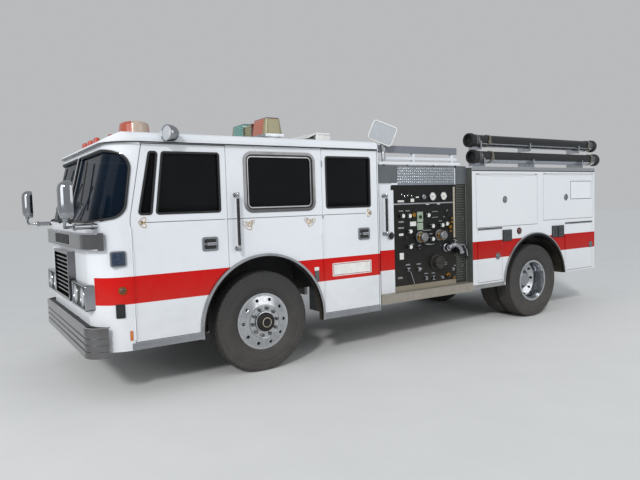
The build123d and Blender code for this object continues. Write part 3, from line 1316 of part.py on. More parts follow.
with BuildPart() as roof_lights:
    add(light_bar.part)
    add(beacon.part)
    rod((front_lamp[0], front_lamp[1], roof_edge_z), (front_lamp[0], front_lamp[1], beacon_z[1] - 30.0),
        front_lamp_radius)
    for place in (-1, 0, 1):
        with BuildSketch(Plane.XY.offset(roof_base_z + 40.0)) as marker:
            with Locations((marker_x, place * marker_pitch)):
                RectangleRounded(70.0, 120.0, 30.0)
        extrude(marker.sketch, amount=marker_top_z - roof_base_z - 40.0, taper=4)
    add(cab_roof.part, mode=Mode.SUBTRACT)
roof_lights.part.label = "roof_lights"
export_step(roof_lights.part, "parts/roof_lights.step")

# Roof fittings: a vent box with its low front lid, a ball spotlight at the roof's edge, a floodlight on a pole
vent_x = (front_axle_x - 1480.0, front_axle_x - 1250.0, front_axle_x - 1120.0)
vent_half = 360.0
vent_z = (roof_crown_z + 75.0, roof_crown_z + 145.0)
spot = (front_axle_x + 970.0, half_width + 62.0, roof_edge_z - 12.0)
spot_radius = 84.0
flood_pole = (pump_front_x - 240.0, half_width - 210.0)
flood_pole_radius = 26.0
flood_z = 2605.0
flood_size = (320.0, 250.0, 190.0)
flood_facing = (0.45, 0.88, -0.12)
flood_across = (-0.88, 0.45, 0.0)
flood_origin = (flood_pole[0], flood_pole[1], flood_z)
with BuildPart() as flood_head:
    with BuildSketch(Plane(origin=flood_origin, x_dir=flood_across, z_dir=flood_facing)):
        RectangleRounded(flood_size[0], flood_size[1], 40.0)
    extrude(amount=-flood_size[2], taper=9)
with BuildPart() as roof_fittings:
    block(vent_x[0], vent_x[1], -vent_half, vent_half, roof_edge_z, vent_z[1])
    block(vent_x[1], vent_x[2], -vent_half, vent_half, roof_edge_z, vent_z[0])
    fillet(roof_fittings.faces().filter_by(Axis.Z).sort_by(Axis.Z)[-1].edges(), 25.0)
    block(spot[0] - 30.0, spot[0] + 30.0, half_width - 40.0, half_width + 90.0, roof_base_z + gutter_height,
          roof_base_z + 40.0)
    rod((spot[0], spot[1], roof_base_z + 30.0), spot, 24.0)
    with Locations(spot):
        Sphere(spot_radius)
    add(cab_roof.part, mode=Mode.SUBTRACT)
    rod((flood_pole[0], flood_pole[1], pump_top_z), flood_origin, flood_pole_radius)
    add(flood_head.part)
roof_fittings.part.label = "roof_fittings"
export_step(roof_fittings.part, "parts/roof_fittings.step")

# Lamps on the sides and the rear
lamp_proud = 20.0
arch_lamp_z = (1150.0, 1326.0)
arch_lamp_front = math.sqrt((rear_arch_rim + 17.0) ** 2 - (arch_lamp_z[0] - axle_z) ** 2)
# Boxes on the sides: x from and to, z from and to
side_lamps = (
    (rear_axle_x + 538.0, rear_axle_x + 725.0, arch_lamp_z[0] + 11.0, arch_lamp_z[1] - 7.0),
    (rear_axle_x - 687.0, rear_axle_x - arch_lamp_front, arch_lamp_z[0], arch_lamp_z[1]),
)
round_lamp = (rear_axle_x + 368.0, 1290.0)
round_lamp_radius = 42.0
cab_lamp_x = (front_axle_x + 1422.0, front_axle_x + 1549.0)
cab_lamp_z = (1254.0, 1382.0)
tail_lamp_y = half_width - 100.0
tail_lamp_radius = 60.0
tail_lamp_depth = 30.0
with BuildPart() as body_lights:
    for s in (1, -1):
        for x0, x1, z0, z1 in side_lamps:
            block(x0, x1, s * half_width, s * (half_width + lamp_proud), z0, z1)
        near, far = sorted((s * half_width, s * (half_width + lamp_proud)))
        disc_y(round_lamp[0], round_lamp[1], round_lamp_radius, near, far)
        block(cab_lamp_x[0], cab_lamp_x[1], s * (half_width - 120.0), s * (half_width + 8.0), cab_lamp_z[0],
              cab_lamp_z[1])
        for z in (780.0, 920.0):
            rod((body_rear_x, s * tail_lamp_y, z), (body_rear_x - tail_lamp_depth, s * tail_lamp_y, z),
                tail_lamp_radius)
    add(cab_outer, mode=Mode.SUBTRACT)
body_lights.part.label = "body_lights"
export_step(body_lights.part, "parts/body_lights.step")
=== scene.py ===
import math

import bmesh
import bpy
from mathutils import Matrix, Vector


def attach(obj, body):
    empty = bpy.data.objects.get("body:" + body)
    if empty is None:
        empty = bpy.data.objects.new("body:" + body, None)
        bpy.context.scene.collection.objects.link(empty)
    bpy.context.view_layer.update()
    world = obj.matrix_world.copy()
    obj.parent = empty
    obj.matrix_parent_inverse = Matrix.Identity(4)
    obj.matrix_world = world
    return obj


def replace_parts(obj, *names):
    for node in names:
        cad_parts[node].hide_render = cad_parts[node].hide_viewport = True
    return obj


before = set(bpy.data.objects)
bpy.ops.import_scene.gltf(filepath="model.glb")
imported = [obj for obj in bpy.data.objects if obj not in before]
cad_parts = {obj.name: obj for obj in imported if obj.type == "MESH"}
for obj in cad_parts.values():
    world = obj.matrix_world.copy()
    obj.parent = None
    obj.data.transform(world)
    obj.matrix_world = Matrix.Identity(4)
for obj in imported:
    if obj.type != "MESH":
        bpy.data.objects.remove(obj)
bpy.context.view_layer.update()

# Stations in metres, in the model's frame: X forward, Y left, Z up, ground at zero
FRONT_AXLE = 2.205
REAR_AXLE = FRONT_AXLE - 4.480
AXLE_Z = 0.535
SIDE_Y = 1.220
CAB_FRONT = FRONT_AXLE + 1.700
CAB_REAR = FRONT_AXLE - 1.540
BELT_Z = 1.640
ROOF_Z = 2.367
SCREEN_LEAN = 0.185
CORNER_RADIUS = 0.300
PUMP_FRONT = CAB_REAR - 0.020
PANEL_Y = 1.100
COLUMN_Y = 1.150
BODY_FRONT = FRONT_AXLE - 3.150
BODY_REAR = FRONT_AXLE - 6.000
SIDES = (("left", 1), ("right", -1))
# Directions in that frame
AHEAD = (1, 0, 0)
BACK = (-1, 0, 0)
OUT = (0, 1, 0)
UP = (0, 0, 1)
# Colours and heights that every finish shares
# Near black for inside the wheel arches: painted shade in the wheel wells
ARCH_SHADE = "#0E0F10"
ROAD_DUST = "#9C917F"
DUST_FULL, DUST_GONE = 0.25, 1.25
ZONE_EDGE = 0.0008


def paint(code):
    """A colour written as sRGB hex, in the linear values that the shader takes."""
    channels = [int(code[i:i + 2], 16) / 255 for i in (1, 3, 5)]
    return tuple(c / 12.92 if c <= 0.04045 else ((c + 0.055) / 1.055) ** 2.4 for c in channels) + (1.0,)


def shaded(code, share, lift=0.0):
    """A share of a colour's light, with some white light added."""
    return tuple(min(1.0, share * c + lift) for c in paint(code)[:3]) + (1.0,)


def add(tree, kind, sockets=(), links=(), **settings):
    """One node, with its settings, its sockets' values and the outputs that feed it."""
    made = tree.nodes.new(kind)
    for name, value in settings.items():
        setattr(made, name, value)
    for socket, value in dict(sockets).items():
        made.inputs[socket].default_value = value
    for socket, source in dict(links).items():
        tree.links.new(source, made.inputs[socket])
    return made


def start_material(name, **sockets):
    """A material, its tree, its shader and the object coordinates. sockets are the shader's fixed values."""
    material = bpy.data.materials.new(name)
    material.use_nodes = True
    tree = material.node_tree
    shader = tree.nodes["Principled BSDF"]
    for socket, value in sockets.items():
        shader.inputs[socket.replace("_", " ")].default_value = value
    place = add(tree, "ShaderNodeTexCoord").outputs["Object"]
    return material, tree, shader, place


def mix(tree, factor, first, second):
    """A colour between two, by a factor. Each colour is a value or another node's output."""
    made = add(tree, "ShaderNodeMix", data_type="RGBA")
    for socket, value in ((0, factor), (6, first), (7, second)):
        if isinstance(value, (tuple, float)):
            made.inputs[socket].default_value = value
        else:
            tree.links.new(value, made.inputs[socket])
    return made.outputs[2]


def band(tree, value, low, high, soft):
    """One between low and high, nought outside, with a soft edge."""
    rise = add(tree, "ShaderNodeMapRange", {1: low - soft, 2: low + soft}, {0: value}).outputs[0]
    fall = add(tree, "ShaderNodeMapRange", {1: high - soft, 2: high + soft, 3: 1.0, 4: 0.0}, {0: value})
    return add(tree, "ShaderNodeMath", (), {0: rise, 1: fall.outputs[0]}, operation="MULTIPLY").outputs[0]


def zone_mask(tree, axes, away, zone):
    """One inside a box: x from, x to, y from, y to, z from, z to. away is how y is measured."""
    inside = band(tree, axes.outputs[0], zone[0], zone[1], ZONE_EDGE)
    for value, low, high in ((away, zone[2], zone[3]), (axes.outputs[2], zone[4], zone[5])):
        part = band(tree, value, low, high, ZONE_EDGE)
        inside = add(tree, "ShaderNodeMath", (), {0: inside, 1: part}, operation="MULTIPLY").outputs[0]
    return inside


def weathered(
    name, base, mark, spot_size, rough, worn, grain_size, bump, dust=0.0, zones=(), arches=(), lining=None,
    **sockets,
):
    """A finish with patches of a second colour, uneven gloss, a fine grain and road dust that thins upwards.

    spot_size and grain_size are the real size of the patches and of the grain, in metres.
    zones are boxes for zone_mask, each with its colour, alike on both sides.
    arches are (x, radius) of wheel arches, painted near black inside as shade.
    lining is (a point inside a shell, the colour of the faces that look towards it).
    """
    material, tree, shader, place = start_material(name, **sockets)
    speckle = {"Scale": 1.0 / spot_size, "Detail": 5.0, "Roughness": 0.62}
    spots = add(tree, "ShaderNodeTexNoise", speckle, {"Vector": place}).outputs[0]
    patch = add(tree, "ShaderNodeMapRange", {1: 0.42, 2: 0.78}, {0: spots}).outputs[0]
    colour = mix(tree, patch, paint(base), paint(mark))
    axes = add(tree, "ShaderNodeSeparateXYZ", (), {0: place})
    if zones:
        away = add(tree, "ShaderNodeMath", (), {0: axes.outputs[1]}, operation="ABSOLUTE").outputs[0]
    for *zone, code in zones:
        tint = mix(tree, patch, paint(code), shaded(code, 0.84))
        colour = mix(tree, zone_mask(tree, axes, away, zone), colour, tint)
    if lining:
        inner_point, code = lining
        normal = add(tree, "ShaderNodeTexCoord").outputs["Normal"]
        way = add(tree, "ShaderNodeVectorMath", {1: inner_point}, {0: place}, operation="SUBTRACT").outputs[0]
        facing = add(tree, "ShaderNodeVectorMath", (), {0: way, 1: normal}, operation="DOT_PRODUCT")
        inner = add(tree, "ShaderNodeMath", {1: -0.9}, {0: facing.outputs[1]}, operation="LESS_THAN")
        colour = mix(tree, inner.outputs[0], colour, paint(code))
    for axle_x, radius in arches:
        flat = add(tree, "ShaderNodeCombineXYZ", (), {"X": axes.outputs[0], "Z": axes.outputs[2]}).outputs[0]
        gap = add(
            tree, "ShaderNodeVectorMath", {1: (axle_x, 0.0, AXLE_Z)}, {0: flat}, operation="DISTANCE"
        ).outputs[1]
        # Near black inside each arch: painted shade
        under = add(tree, "ShaderNodeMath", {1: radius}, {0: gap}, operation="LESS_THAN").outputs[0]
        colour = mix(tree, under, colour, paint(ARCH_SHADE))
    if dust:
        height = add(
            tree, "ShaderNodeMapRange", {1: DUST_FULL, 2: DUST_GONE, 3: dust, 4: 0.0}, {0: axes.outputs[2]}
        ).outputs[0]
        streaks = add(
            tree, "ShaderNodeTexNoise", {"Scale": 9.0, "Detail": 6.0, "Roughness": 0.7}, {"Vector": place}
        ).outputs[0]
        cover = add(tree, "ShaderNodeMath", (), {0: height, 1: streaks}, operation="MULTIPLY").outputs[0]
        colour = mix(tree, cover, colour, paint(ROAD_DUST))
    tree.links.new(colour, shader.inputs["Base Color"])
    gloss = add(tree, "ShaderNodeMapRange", {1: 0.3, 2: 0.75, 3: rough, 4: worn}, {0: spots}).outputs[0]
    tree.links.new(gloss, shader.inputs["Roughness"])
    grain = add(
        tree, "ShaderNodeTexNoise", {"Scale": 1.0 / grain_size, "Detail": 2.0}, {"Vector": place}
    ).outputs[0]
    relief = add(tree, "ShaderNodeBump", {"Strength": bump, "Distance": grain_size * 0.2}, {"Height": grain})
    tree.links.new(relief.outputs[0], shader.inputs["Normal"])
    return material


# Sprayed enamel: a smooth hard coat with faint orange peel, whitest high up and dusty along the sills
RED = "#CA0203"
CAB_STRIPE = (CAB_REAR - 0.1, CAB_FRONT + 0.1, 1.058, 1.5, 0.897, 1.150, RED)
COLUMN_STRIPE = (PUMP_FRONT - 0.32, PUMP_FRONT + 0.1, 1.098, 1.5, 0.925, 1.172, RED)
BODY_STRIPE = (BODY_REAR - 0.1, BODY_FRONT + 0.1, SIDE_Y - 0.003, 1.5, 0.941, 1.186, "#B20303")
COMPARTMENTS = (BODY_REAR + 0.02, BODY_FRONT - 0.02, 0.6, SIDE_Y - 0.004, 0.61, 2.19, "#5C5E60")
CAB_LINING = ((FRONT_AXLE + 0.08, 0.0, 1.45), "#3A3C3F")
enamel = dict(
    base="#E4E7EB", mark="#D8DCE1", spot_size=0.9, rough=0.16, worn=0.3, grain_size=0.004, bump=0.05,
    dust=0.4, Coat_Weight=0.04, Coat_Roughness=0.08, Specular_IOR_Level=0.14,
)
cab_enamel = weathered(
    "sprayed_enamel_cab", zones=(CAB_STRIPE,), arches=((FRONT_AXLE, 0.694),), lining=CAB_LINING, **enamel
)
roof_enamel = weathered("sprayed_enamel_roof", lining=CAB_LINING, **enamel)
UPPER_RAIL = (-0.96, 0.61, 0.90, 0.96, 2.368, 2.47, "#7C7F86")
# Dark band just under the treadplate above the panel: painted shadow of its overhang
PANEL_BROW_SHADOW = (-0.75, 0.372, 1.08, 1.148, 1.935, 1.965, "#24282A")
PANEL_SILL = (-0.75, 0.372, 1.06, 1.148, 0.55, 0.703, "#8F8878")
# Dark grey on the pump house in the corner beside the body: painted shade
CORNER_SHADE = (-0.955, -0.74, 1.06, 1.16, 0.60, 2.21, "#44474A")
pump_enamel = weathered(
    "sprayed_enamel_pump", zones=(COLUMN_STRIPE, UPPER_RAIL, PANEL_BROW_SHADOW, PANEL_SILL, CORNER_SHADE), **enamel
)
body_enamel = weathered(
    "sprayed_enamel_body", zones=(COMPARTMENTS, BODY_STRIPE), arches=((REAR_AXLE, 0.672),),
    **{**enamel, "base": "#DDE0E3"},
)
plain_enamel = weathered("sprayed_enamel_plain", **enamel)
# Chromium plate on pressed steel: mirror bright, a little pitted and hazed
chrome = weathered(
    "chromium_plate", "#A4A7AC", "#92959A", 0.35, 0.04, 0.1, 0.002, 0.02, dust=0.1, Metallic=1.0
)
# Chromium plate low on the nose: a little hazed, with painted shade that makes it shine darker
shaded_chrome = weathered(
    "chromium_plate_painted_shade", "#7B7B7D", "#636160", 0.25, 0.05, 0.14, 0.002, 0.03, dust=0.1, Metallic=1.0
)
# Polished forged aluminium: bright with a faint bloom
aluminium = weathered(
    "polished_aluminium", "#C3C6CA", "#A6A9AD", 0.03, 0.16, 0.32, 0.001, 0.05, dust=0.14, Metallic=1.0
)
# Cast aluminium: grey and grainy from the sand mould
cast_aluminium = weathered("cast_aluminium", "#8F9092", "#6F7072", 0.02, 0.38, 0.6, 0.002, 0.25, Metallic=0.9)
# Brushed stainless steel: even grey with a soft sheen
stainless = weathered(
    "stainless_steel", "#B3B4B5", "#96979A", 0.15, 0.26, 0.4, 0.0015, 0.05, dust=0.2, Metallic=1.0
)
# Rolled stainless lip round each wheel arch, painted near black inside it as the wheel well's shade
arch_lip = weathered(
    "stainless_arch_lip", "#A2A4A7", "#85878A", 0.15, 0.2, 0.35, 0.0015, 0.05, dust=0.15,
    arches=((FRONT_AXLE, 0.703), (REAR_AXLE, 0.701)), Metallic=0.6,
)
# Painted sheet above the pump panel's column: mid grey and dull
grey_enamel = weathered("grey_sheet_enamel", "#5B6063", "#50565A", 0.2, 0.35, 0.5, 0.003, 0.08)
# Rolled treadplate sheet: bright above the panel and dusty at the rear; beside the panel, the same sheet made
# dark with painted shade
bright_sheet = weathered(
    "treadplate_sheet_bright", "#8E949A", "#787E84", 0.1, 0.25, 0.4, 0.002, 0.08, Metallic=0.7
)
shaded_sheet = weathered(
    "treadplate_sheet_painted_shade", "#3C3F3B", "#33362F", 0.12, 0.35, 0.5, 0.002, 0.1, Metallic=0.5
)
rear_sheet = weathered(
    "treadplate_sheet_rear", "#7E8284", "#6A6E70", 0.15, 0.28, 0.42, 0.002, 0.08, dust=0.3, Metallic=0.7
)
# Their lugs: rubbed paler than the sheet between them
bright_lug = weathered(
    "treadplate_lugs_bright", "#B4BAC0", "#9AA0A6", 0.05, 0.2, 0.35, 0.002, 0.05, Metallic=0.7
)
# The same lugs made dark with painted shade, for the corner beside the panel
shaded_lug = weathered("treadplate_lugs_painted_shade", "#6E726B", "#54584F", 0.08, 0.3, 0.45, 0.002, 0.05, Metallic=0.6)
step_lug = weathered(
    "treadplate_lugs_steps", "#D8D2C4", "#B5AD9B", 0.06, 0.3, 0.45, 0.002, 0.05, Metallic=0.5
)
# Aluminium angle: pale, and warm with a painted reflection of the ground
reflection_tinted_trim = weathered("aluminium_trim_painted_reflection", "#C9C0AF", "#AFA593", 0.05, 0.3, 0.45, 0.002, 0.05, Metallic=0.4)
# Engraved laminate labels, left blank: white, a pale green and grey
label_white = weathered("laminate_white", "#E4E4E0", "#C4C3BA", 0.03, 0.3, 0.5, 0.001, 0.05)
label_green = weathered("laminate_green", "#9DAE9A", "#7F8E7B", 0.03, 0.3, 0.5, 0.001, 0.05)
label_grey = weathered("laminate_grey", "#8F9290", "#6D706E", 0.03, 0.35, 0.5, 0.001, 0.05)
# Brass: warm, browned in the corners
brass = weathered("brass", "#B58A3C", "#7C5B28", 0.01, 0.25, 0.5, 0.001, 0.15, Metallic=1.0)
# Moulded tyre rubber: dark grey, dry and dusty with a fine grain
tyre_rubber = weathered("tyre_rubber", "#2B2C2E", "#363638", 0.12, 0.7, 0.88, 0.0025, 0.3, dust=0.2, IOR=1.5)
# Extruded rubber seals: near black with a soft shine
seal_rubber = weathered("seal_rubber", "#141516", "#232323", 0.03, 0.45, 0.65, 0.002, 0.12)
# Hub iron: nearly black with old grease
hub_iron = weathered("greased_hub_iron", "#12100F", "#211C18", 0.02, 0.5, 0.75, 0.002, 0.2, IOR=1.45)
# Smooth hose rubber: black, polished by handling
hose_rubber = weathered("hose_rubber", "#101113", "#1C1E20", 0.2, 0.36, 0.55, 0.003, 0.15)
# Chassis enamel: black, chalky and caked with road dirt
frame_enamel = weathered("chassis_enamel", "#151618", "#23221F", 0.1, 0.5, 0.75, 0.004, 0.3, dust=0.3)
# Engine enamel: grey, oily and dull
engine_enamel = weathered("engine_enamel", "#3A3D40", "#2A2622", 0.08, 0.45, 0.7, 0.004, 0.3, dust=0.4)
# Baked enamel on the pump panel: black with a satin shine and rubbed patches
panel_enamel = weathered(
    "panel_enamel", "#0E0F10", "#1D1B19", 0.06, 0.32, 0.6, 0.0015, 0.1, dust=0.12, Specular_IOR_Level=0.25
)
# Moulded plastic of the dashboard: dark grey with a leather-like grain
dash_plastic = weathered("moulded_plastic", "#26282B", "#303235", 0.1, 0.5, 0.65, 0.003, 0.3)
# Seat vinyl: black, with a leather-like grain and dull creases
seat_vinyl = weathered("seat_vinyl", "#1C1D1F", "#28292B", 0.08, 0.42, 0.62, 0.0035, 0.35)
# Floor paint: dark grey, scuffed by boots
floor_paint = weathered("floor_paint", "#3B3D3F", "#4D4A45", 0.08, 0.55, 0.8, 0.004, 0.3)
# Glass-fibre boxes and white plastic: matt white, yellowed in patches
white_plastic = weathered("white_gel_coat", "#E6E7E4", "#D3D2C8", 0.06, 0.35, 0.55, 0.003, 0.1)
# Woven strap: dull tan-grey nylon
strap_weave = weathered("nylon_webbing", "#6E6A60", "#55524A", 0.01, 0.75, 0.9, 0.0016, 0.5)
# Painted pinstripe: thin and dark grey
pinstripe = weathered("painted_pinstripe", "#6B6862", "#55524D", 0.02, 0.4, 0.6, 0.001, 0.05)
# Gold leaf: warm yellow, thin and a little broken
gold_leaf = weathered("gold_leaf", "#B8923F", "#8D6B28", 0.008, 0.35, 0.5, 0.001, 0.1, Metallic=0.6)


def treadplate(name, base, mark, lug_pitch, metallic, rough):
    """Rolled aluminium plate with raised diamonds, drawn at lug_pitch in metres."""
    material, tree, shader, place = start_material(name, Metallic=metallic)
    speckle = {"Scale": 12.0, "Detail": 6.0, "Roughness": 0.7}
    spots = add(tree, "ShaderNodeTexNoise", speckle, {"Vector": place})
    colour = mix(tree, spots.outputs[0], paint(base), paint(mark))
    tree.links.new(colour, shader.inputs["Base Color"])
    gloss = add(tree, "ShaderNodeMapRange", {1: 0.3, 2: 0.7, 3: rough, 4: rough + 0.2}, {0: spots.outputs[0]})
    tree.links.new(gloss.outputs[0], shader.inputs["Roughness"])
    slanted = add(tree, "ShaderNodeMapping", {"Rotation": (0.7854, 0.7854, 0.7854)}, {"Vector": place})
    lugs = add(
        tree, "ShaderNodeTexVoronoi", {"Scale": 1.0 / lug_pitch, "Randomness": 0.0},
        {"Vector": slanted.outputs[0]}, distance="MANHATTAN",
    ).outputs[0]
    raised = add(tree, "ShaderNodeMapRange", {1: 0.28, 2: 0.4, 3: 1.0, 4: 0.0}, {0: lugs}).outputs[0]
    relief = add(tree, "ShaderNodeBump", {"Strength": 0.8, "Distance": 0.002}, {"Height": raised})
    tree.links.new(relief.outputs[0], shader.inputs["Normal"])
    return material


# Aluminium treadplate of the steps: trodden and dusty
step_plate = treadplate("treadplate_steps", "#AFA99F", "#8A8479", 0.028, 0.55, 0.42)
# Aluminium treadplate on the front end of the compartment body: grey and cleaner
corner_plate = treadplate("treadplate_corner", "#787A75", "#5A5C58", 0.03, 0.6, 0.35)


def glazing(name, code, rough, see_through, shine):
    """Glass with faint dust. see_through is the share of light that passes, and shine the specular level."""
    material, tree, shader, place = start_material(name, IOR=1.5, Specular_IOR_Level=shine)
    haze = add(tree, "ShaderNodeTexNoise", {"Scale": 3.0, "Detail": 6.0}, {"Vector": place}).outputs[0]
    colour = mix(tree, haze, paint(code), shaded(code, 1.25, 0.004))
    tree.links.new(colour, shader.inputs["Base Color"])
    gloss = add(tree, "ShaderNodeMapRange", {1: 0.3, 2: 0.8, 3: rough, 4: rough + 0.06}, {0: haze}).outputs[0]
    tree.links.new(gloss, shader.inputs["Roughness"])
    solid = add(
        tree, "ShaderNodeMapRange", {1: 0.3, 2: 0.8, 3: 1.0 - see_through, 4: 1.04 - see_through}, {0: haze}
    ).outputs[0]
    tree.links.new(solid, shader.inputs["Alpha"])
    return material


# Tinted safety glass: nearly black from outside
tinted_glass = glazing("tinted_safety_glass", "#06080A", 0.03, 0.06, 0.05)
# Clear laminated glass: a faint green-blue tint, made dark blue by a painted reflection of the sky
clear_glass = glazing("clear_laminated_glass", "#0A1826", 0.02, 0.30, 0.08)
# Silvered mirror glass: cool and dark, with a faint film
mirror_glass = weathered("silvered_glass", "#66717C", "#5A646E", 0.1, 0.03, 0.1, 0.002, 0.01, Metallic=1.0)


def lens(name, code, flute, zones=()):
    """Moulded acrylic lens with flutes inside, at a pitch in metres. zones are boxes for zone_mask, each with
    its colour, where y keeps its sign."""
    material, tree, shader, place = start_material(name, IOR=1.49, Transmission_Weight=0.0, Coat_Weight=0.6)
    ribs = add(
        tree, "ShaderNodeTexWave", {"Scale": 0.314 / flute, "Distortion": 0.4}, {"Vector": place},
        wave_type="BANDS", bands_direction="Z",
    ).outputs[1]
    fade = add(tree, "ShaderNodeTexNoise", {"Scale": 25.0, "Detail": 4.0}, {"Vector": place}).outputs[0]
    shade = mix(tree, ribs, shaded(code, 0.55), paint(code))
    pale = shaded(code, 0.75, 0.12)
    haze = add(tree, "ShaderNodeMapRange", {1: 0.5, 2: 0.9, 4: 0.6}, {0: fade}).outputs[0]
    colour = mix(tree, haze, shade, pale)
    axes = add(tree, "ShaderNodeSeparateXYZ", (), {0: place})
    for *zone, zone_code in zones:
        tint = mix(tree, haze, paint(zone_code), pale)
        colour = mix(tree, zone_mask(tree, axes, axes.outputs[1], zone), colour, tint)
    tree.links.new(colour, shader.inputs["Base Color"])
    gloss = add(tree, "ShaderNodeMapRange", {3: 0.08, 4: 0.3}, {0: fade}).outputs[0]
    tree.links.new(gloss, shader.inputs["Roughness"])
    relief = add(tree, "ShaderNodeBump", {"Strength": 0.3, "Distance": 0.001}, {"Height": ribs})
    tree.links.new(relief.outputs[0], shader.inputs["Normal"])
    return material


# Acrylic lamp lenses, sun-faded
red_lens = lens("acrylic_red", "#B3261B", 0.008)
amber_lens = lens("acrylic_amber", "#E07A22", 0.006)
ANYWHERE = (-9.0, 9.0)
orange_dome = lens(
    "acrylic_faded_orange", "#C4674A", 0.03,
    ((*ANYWHERE, 0.425, 0.6, 2.6, 2.79, "#8C8862"), (*ANYWHERE, 0.0, 0.6, 2.788, 2.9, "#6E4450")),
)
teal_dome = lens(
    "acrylic_faded_teal", "#5FA195", 0.03,
    ((*ANYWHERE, -0.6, -0.40, 2.6, 2.79, "#84805F"), (*ANYWHERE, -0.6, 0.0, 2.788, 2.9, "#3E5A60")),
)
olive_lens = lens("acrylic_yellowed", "#8E8C62", 0.03)
beacon_dome = lens(
    "acrylic_faded_beacon", "#C2563A", 0.014, ((3.035, 3.215, -0.3, 0.3, 2.5, 2.8, "#B9A796"),)
)
dark_amber = lens("acrylic_dark_amber", "#5E2E12", 0.008)
marker_lens = lens("acrylic_marker", "#C63A1E", 0.01)
faded_red = lens("acrylic_dark_red", "#6E1F2B", 0.012)
blue_lens = lens("acrylic_dark_blue", "#14304E", 0.008)
grey_lens = lens("acrylic_grey", "#55595C", 0.01)
clear_lens = lens("acrylic_clear", "#C9CED2", 0.008)


# Mesh helpers. Each adds to an open bmesh, in metres, in the model's frame.
def add_box(shape, low, high, bevel=0.0):
    """A box between two corners, with its edges rounded."""
    centre = [(a + b) / 2 for a, b in zip(low, high)]
    size = [abs(b - a) for a, b in zip(low, high)]
    place = Matrix.Translation(centre) @ Matrix.Diagonal((*size, 1))
    corners = bmesh.ops.create_cube(shape, size=1.0, matrix=place)
    if bevel:
        edges = dict.fromkeys(edge for vertex in corners["verts"] for edge in vertex.link_edges)
        bmesh.ops.bevel(
            shape, geom=list(edges), offset=min(bevel, 0.45 * min(size)), segments=2, affect="EDGES",
            clamp_overlap=True,
        )


def across(axis):
    """A turn that takes Z to an axis."""
    return Vector(axis).normalized().to_track_quat("Z", "Y").to_matrix().to_4x4()


def add_turned(shape, centre, axis, profile, steps=32, ring=False):
    """A turned form. profile is (radius, height along the axis), end to end, or all round for a ring."""
    turn = Matrix.Translation(centre) @ across(axis)
    rings = []
    for radius, height in profile:
        if radius < 1e-6:
            rings.append([shape.verts.new(turn @ Vector((0, 0, height)))])
            continue
        ring_points = []
        for step in range(steps):
            angle = 2 * math.pi * step / steps
            spot = Vector((radius * math.cos(angle), radius * math.sin(angle), height))
            ring_points.append(shape.verts.new(turn @ spot))
        rings.append(ring_points)
    for low, high in zip(rings, rings[1:] + rings[:1] if ring else rings[1:]):
        for step in range(steps):
            after = (step + 1) % steps
            if len(low) == 1 and len(high) > 1:
                shape.faces.new((low[0], high[after], high[step]))
            elif len(high) == 1 and len(low) > 1:
                shape.faces.new((low[step], low[after], high[0]))
            elif len(low) > 1:
                shape.faces.new((low[step], low[after], high[after], high[step]))
    if ring:
        return
    for end, flip in ((rings[0], True), (rings[-1], False)):
        if len(end) > 1:
            shape.faces.new(list(reversed(end)) if flip else end)


def add_tube(shape, points, radius, sides=10, closed=False, flat=1.0):
    """A tube along a path. flat squeezes it towards the path's own plane normal."""
    path = [Vector(point) for point in points]
    count = len(path)
    rings = []
    up = None
    for index, here in enumerate(path):
        before = path[index - 1] if index or closed else here
        after = path[(index + 1) % count] if index + 1 < count or closed else here
        along = (after - before).normalized()
        if up is None:
            up = along.orthogonal().normalized()
        up = (up - along * up.dot(along)).normalized()
        side = along.cross(up)
        ring = []
        for step in range(sides):
            angle = 2 * math.pi * step / sides
            way = math.cos(angle) * up + flat * math.sin(angle) * side
            ring.append(shape.verts.new(here + radius * way))
        rings.append(ring)
    pairs = list(zip(rings, rings[1:]))
    if closed:
        pairs.append((rings[-1], rings[0]))
    for low, high in pairs:
        for step in range(sides):
            after = (step + 1) % sides
            shape.faces.new((low[step], low[after], high[after], high[step]))
    if not closed:
        shape.faces.new(list(reversed(rings[0])))
        shape.faces.new(rings[-1])


def moved_out(points, distance):
    """A convex outline with every edge moved outwards."""
    area = sum(a[0] * b[1] - b[0] * a[1] for a, b in zip(points, points[1:] + points[:1]))
    sign = 1.0 if area > 0 else -1.0
    lines = []
    for a, b in zip(points, points[1:] + points[:1]):
        length = math.hypot(b[0] - a[0], b[1] - a[1])
        normal = (sign * (b[1] - a[1]) / length, -sign * (b[0] - a[0]) / length)
        lines.append((normal, normal[0] * a[0] + normal[1] * a[1] + distance))
    result = []
    for (n0, d0), (n1, d1) in zip(lines[-1:] + lines[:-1], lines):
        det = n0[0] * n1[1] - n0[1] * n1[0]
        result.append(((d0 * n1[1] - d1 * n0[1]) / det, (n0[0] * d1 - n1[0] * d0) / det))
    return result


def rounded(points, radius, steps=6):
    """A convex outline with round corners."""
    result = []
    count = len(points)
    for index, here in enumerate(points):
        corner = Vector(here)
        before = Vector(points[index - 1]) - corner
        after = Vector(points[(index + 1) % count]) - corner
        half = before.angle(after) / 2
        reach = min(radius / math.tan(half), 0.49 * before.length, 0.49 * after.length)
        arc = reach * math.tan(half)
        middle = corner + (before.normalized() + after.normalized()).normalized() * arc / math.sin(half)
        start = corner + before.normalized() * reach - middle
        end = corner + after.normalized() * reach - middle
        for step in range(steps + 1):
            way = start.lerp(end, step / steps)
            result.append(tuple(middle + way.normalized() * arc))
    return result


def oblong(low_a, low_b, high_a, high_b):
    """The corners of a rectangle."""
    return [(low_a, low_b), (high_a, low_b), (high_a, high_b), (low_a, high_b)]


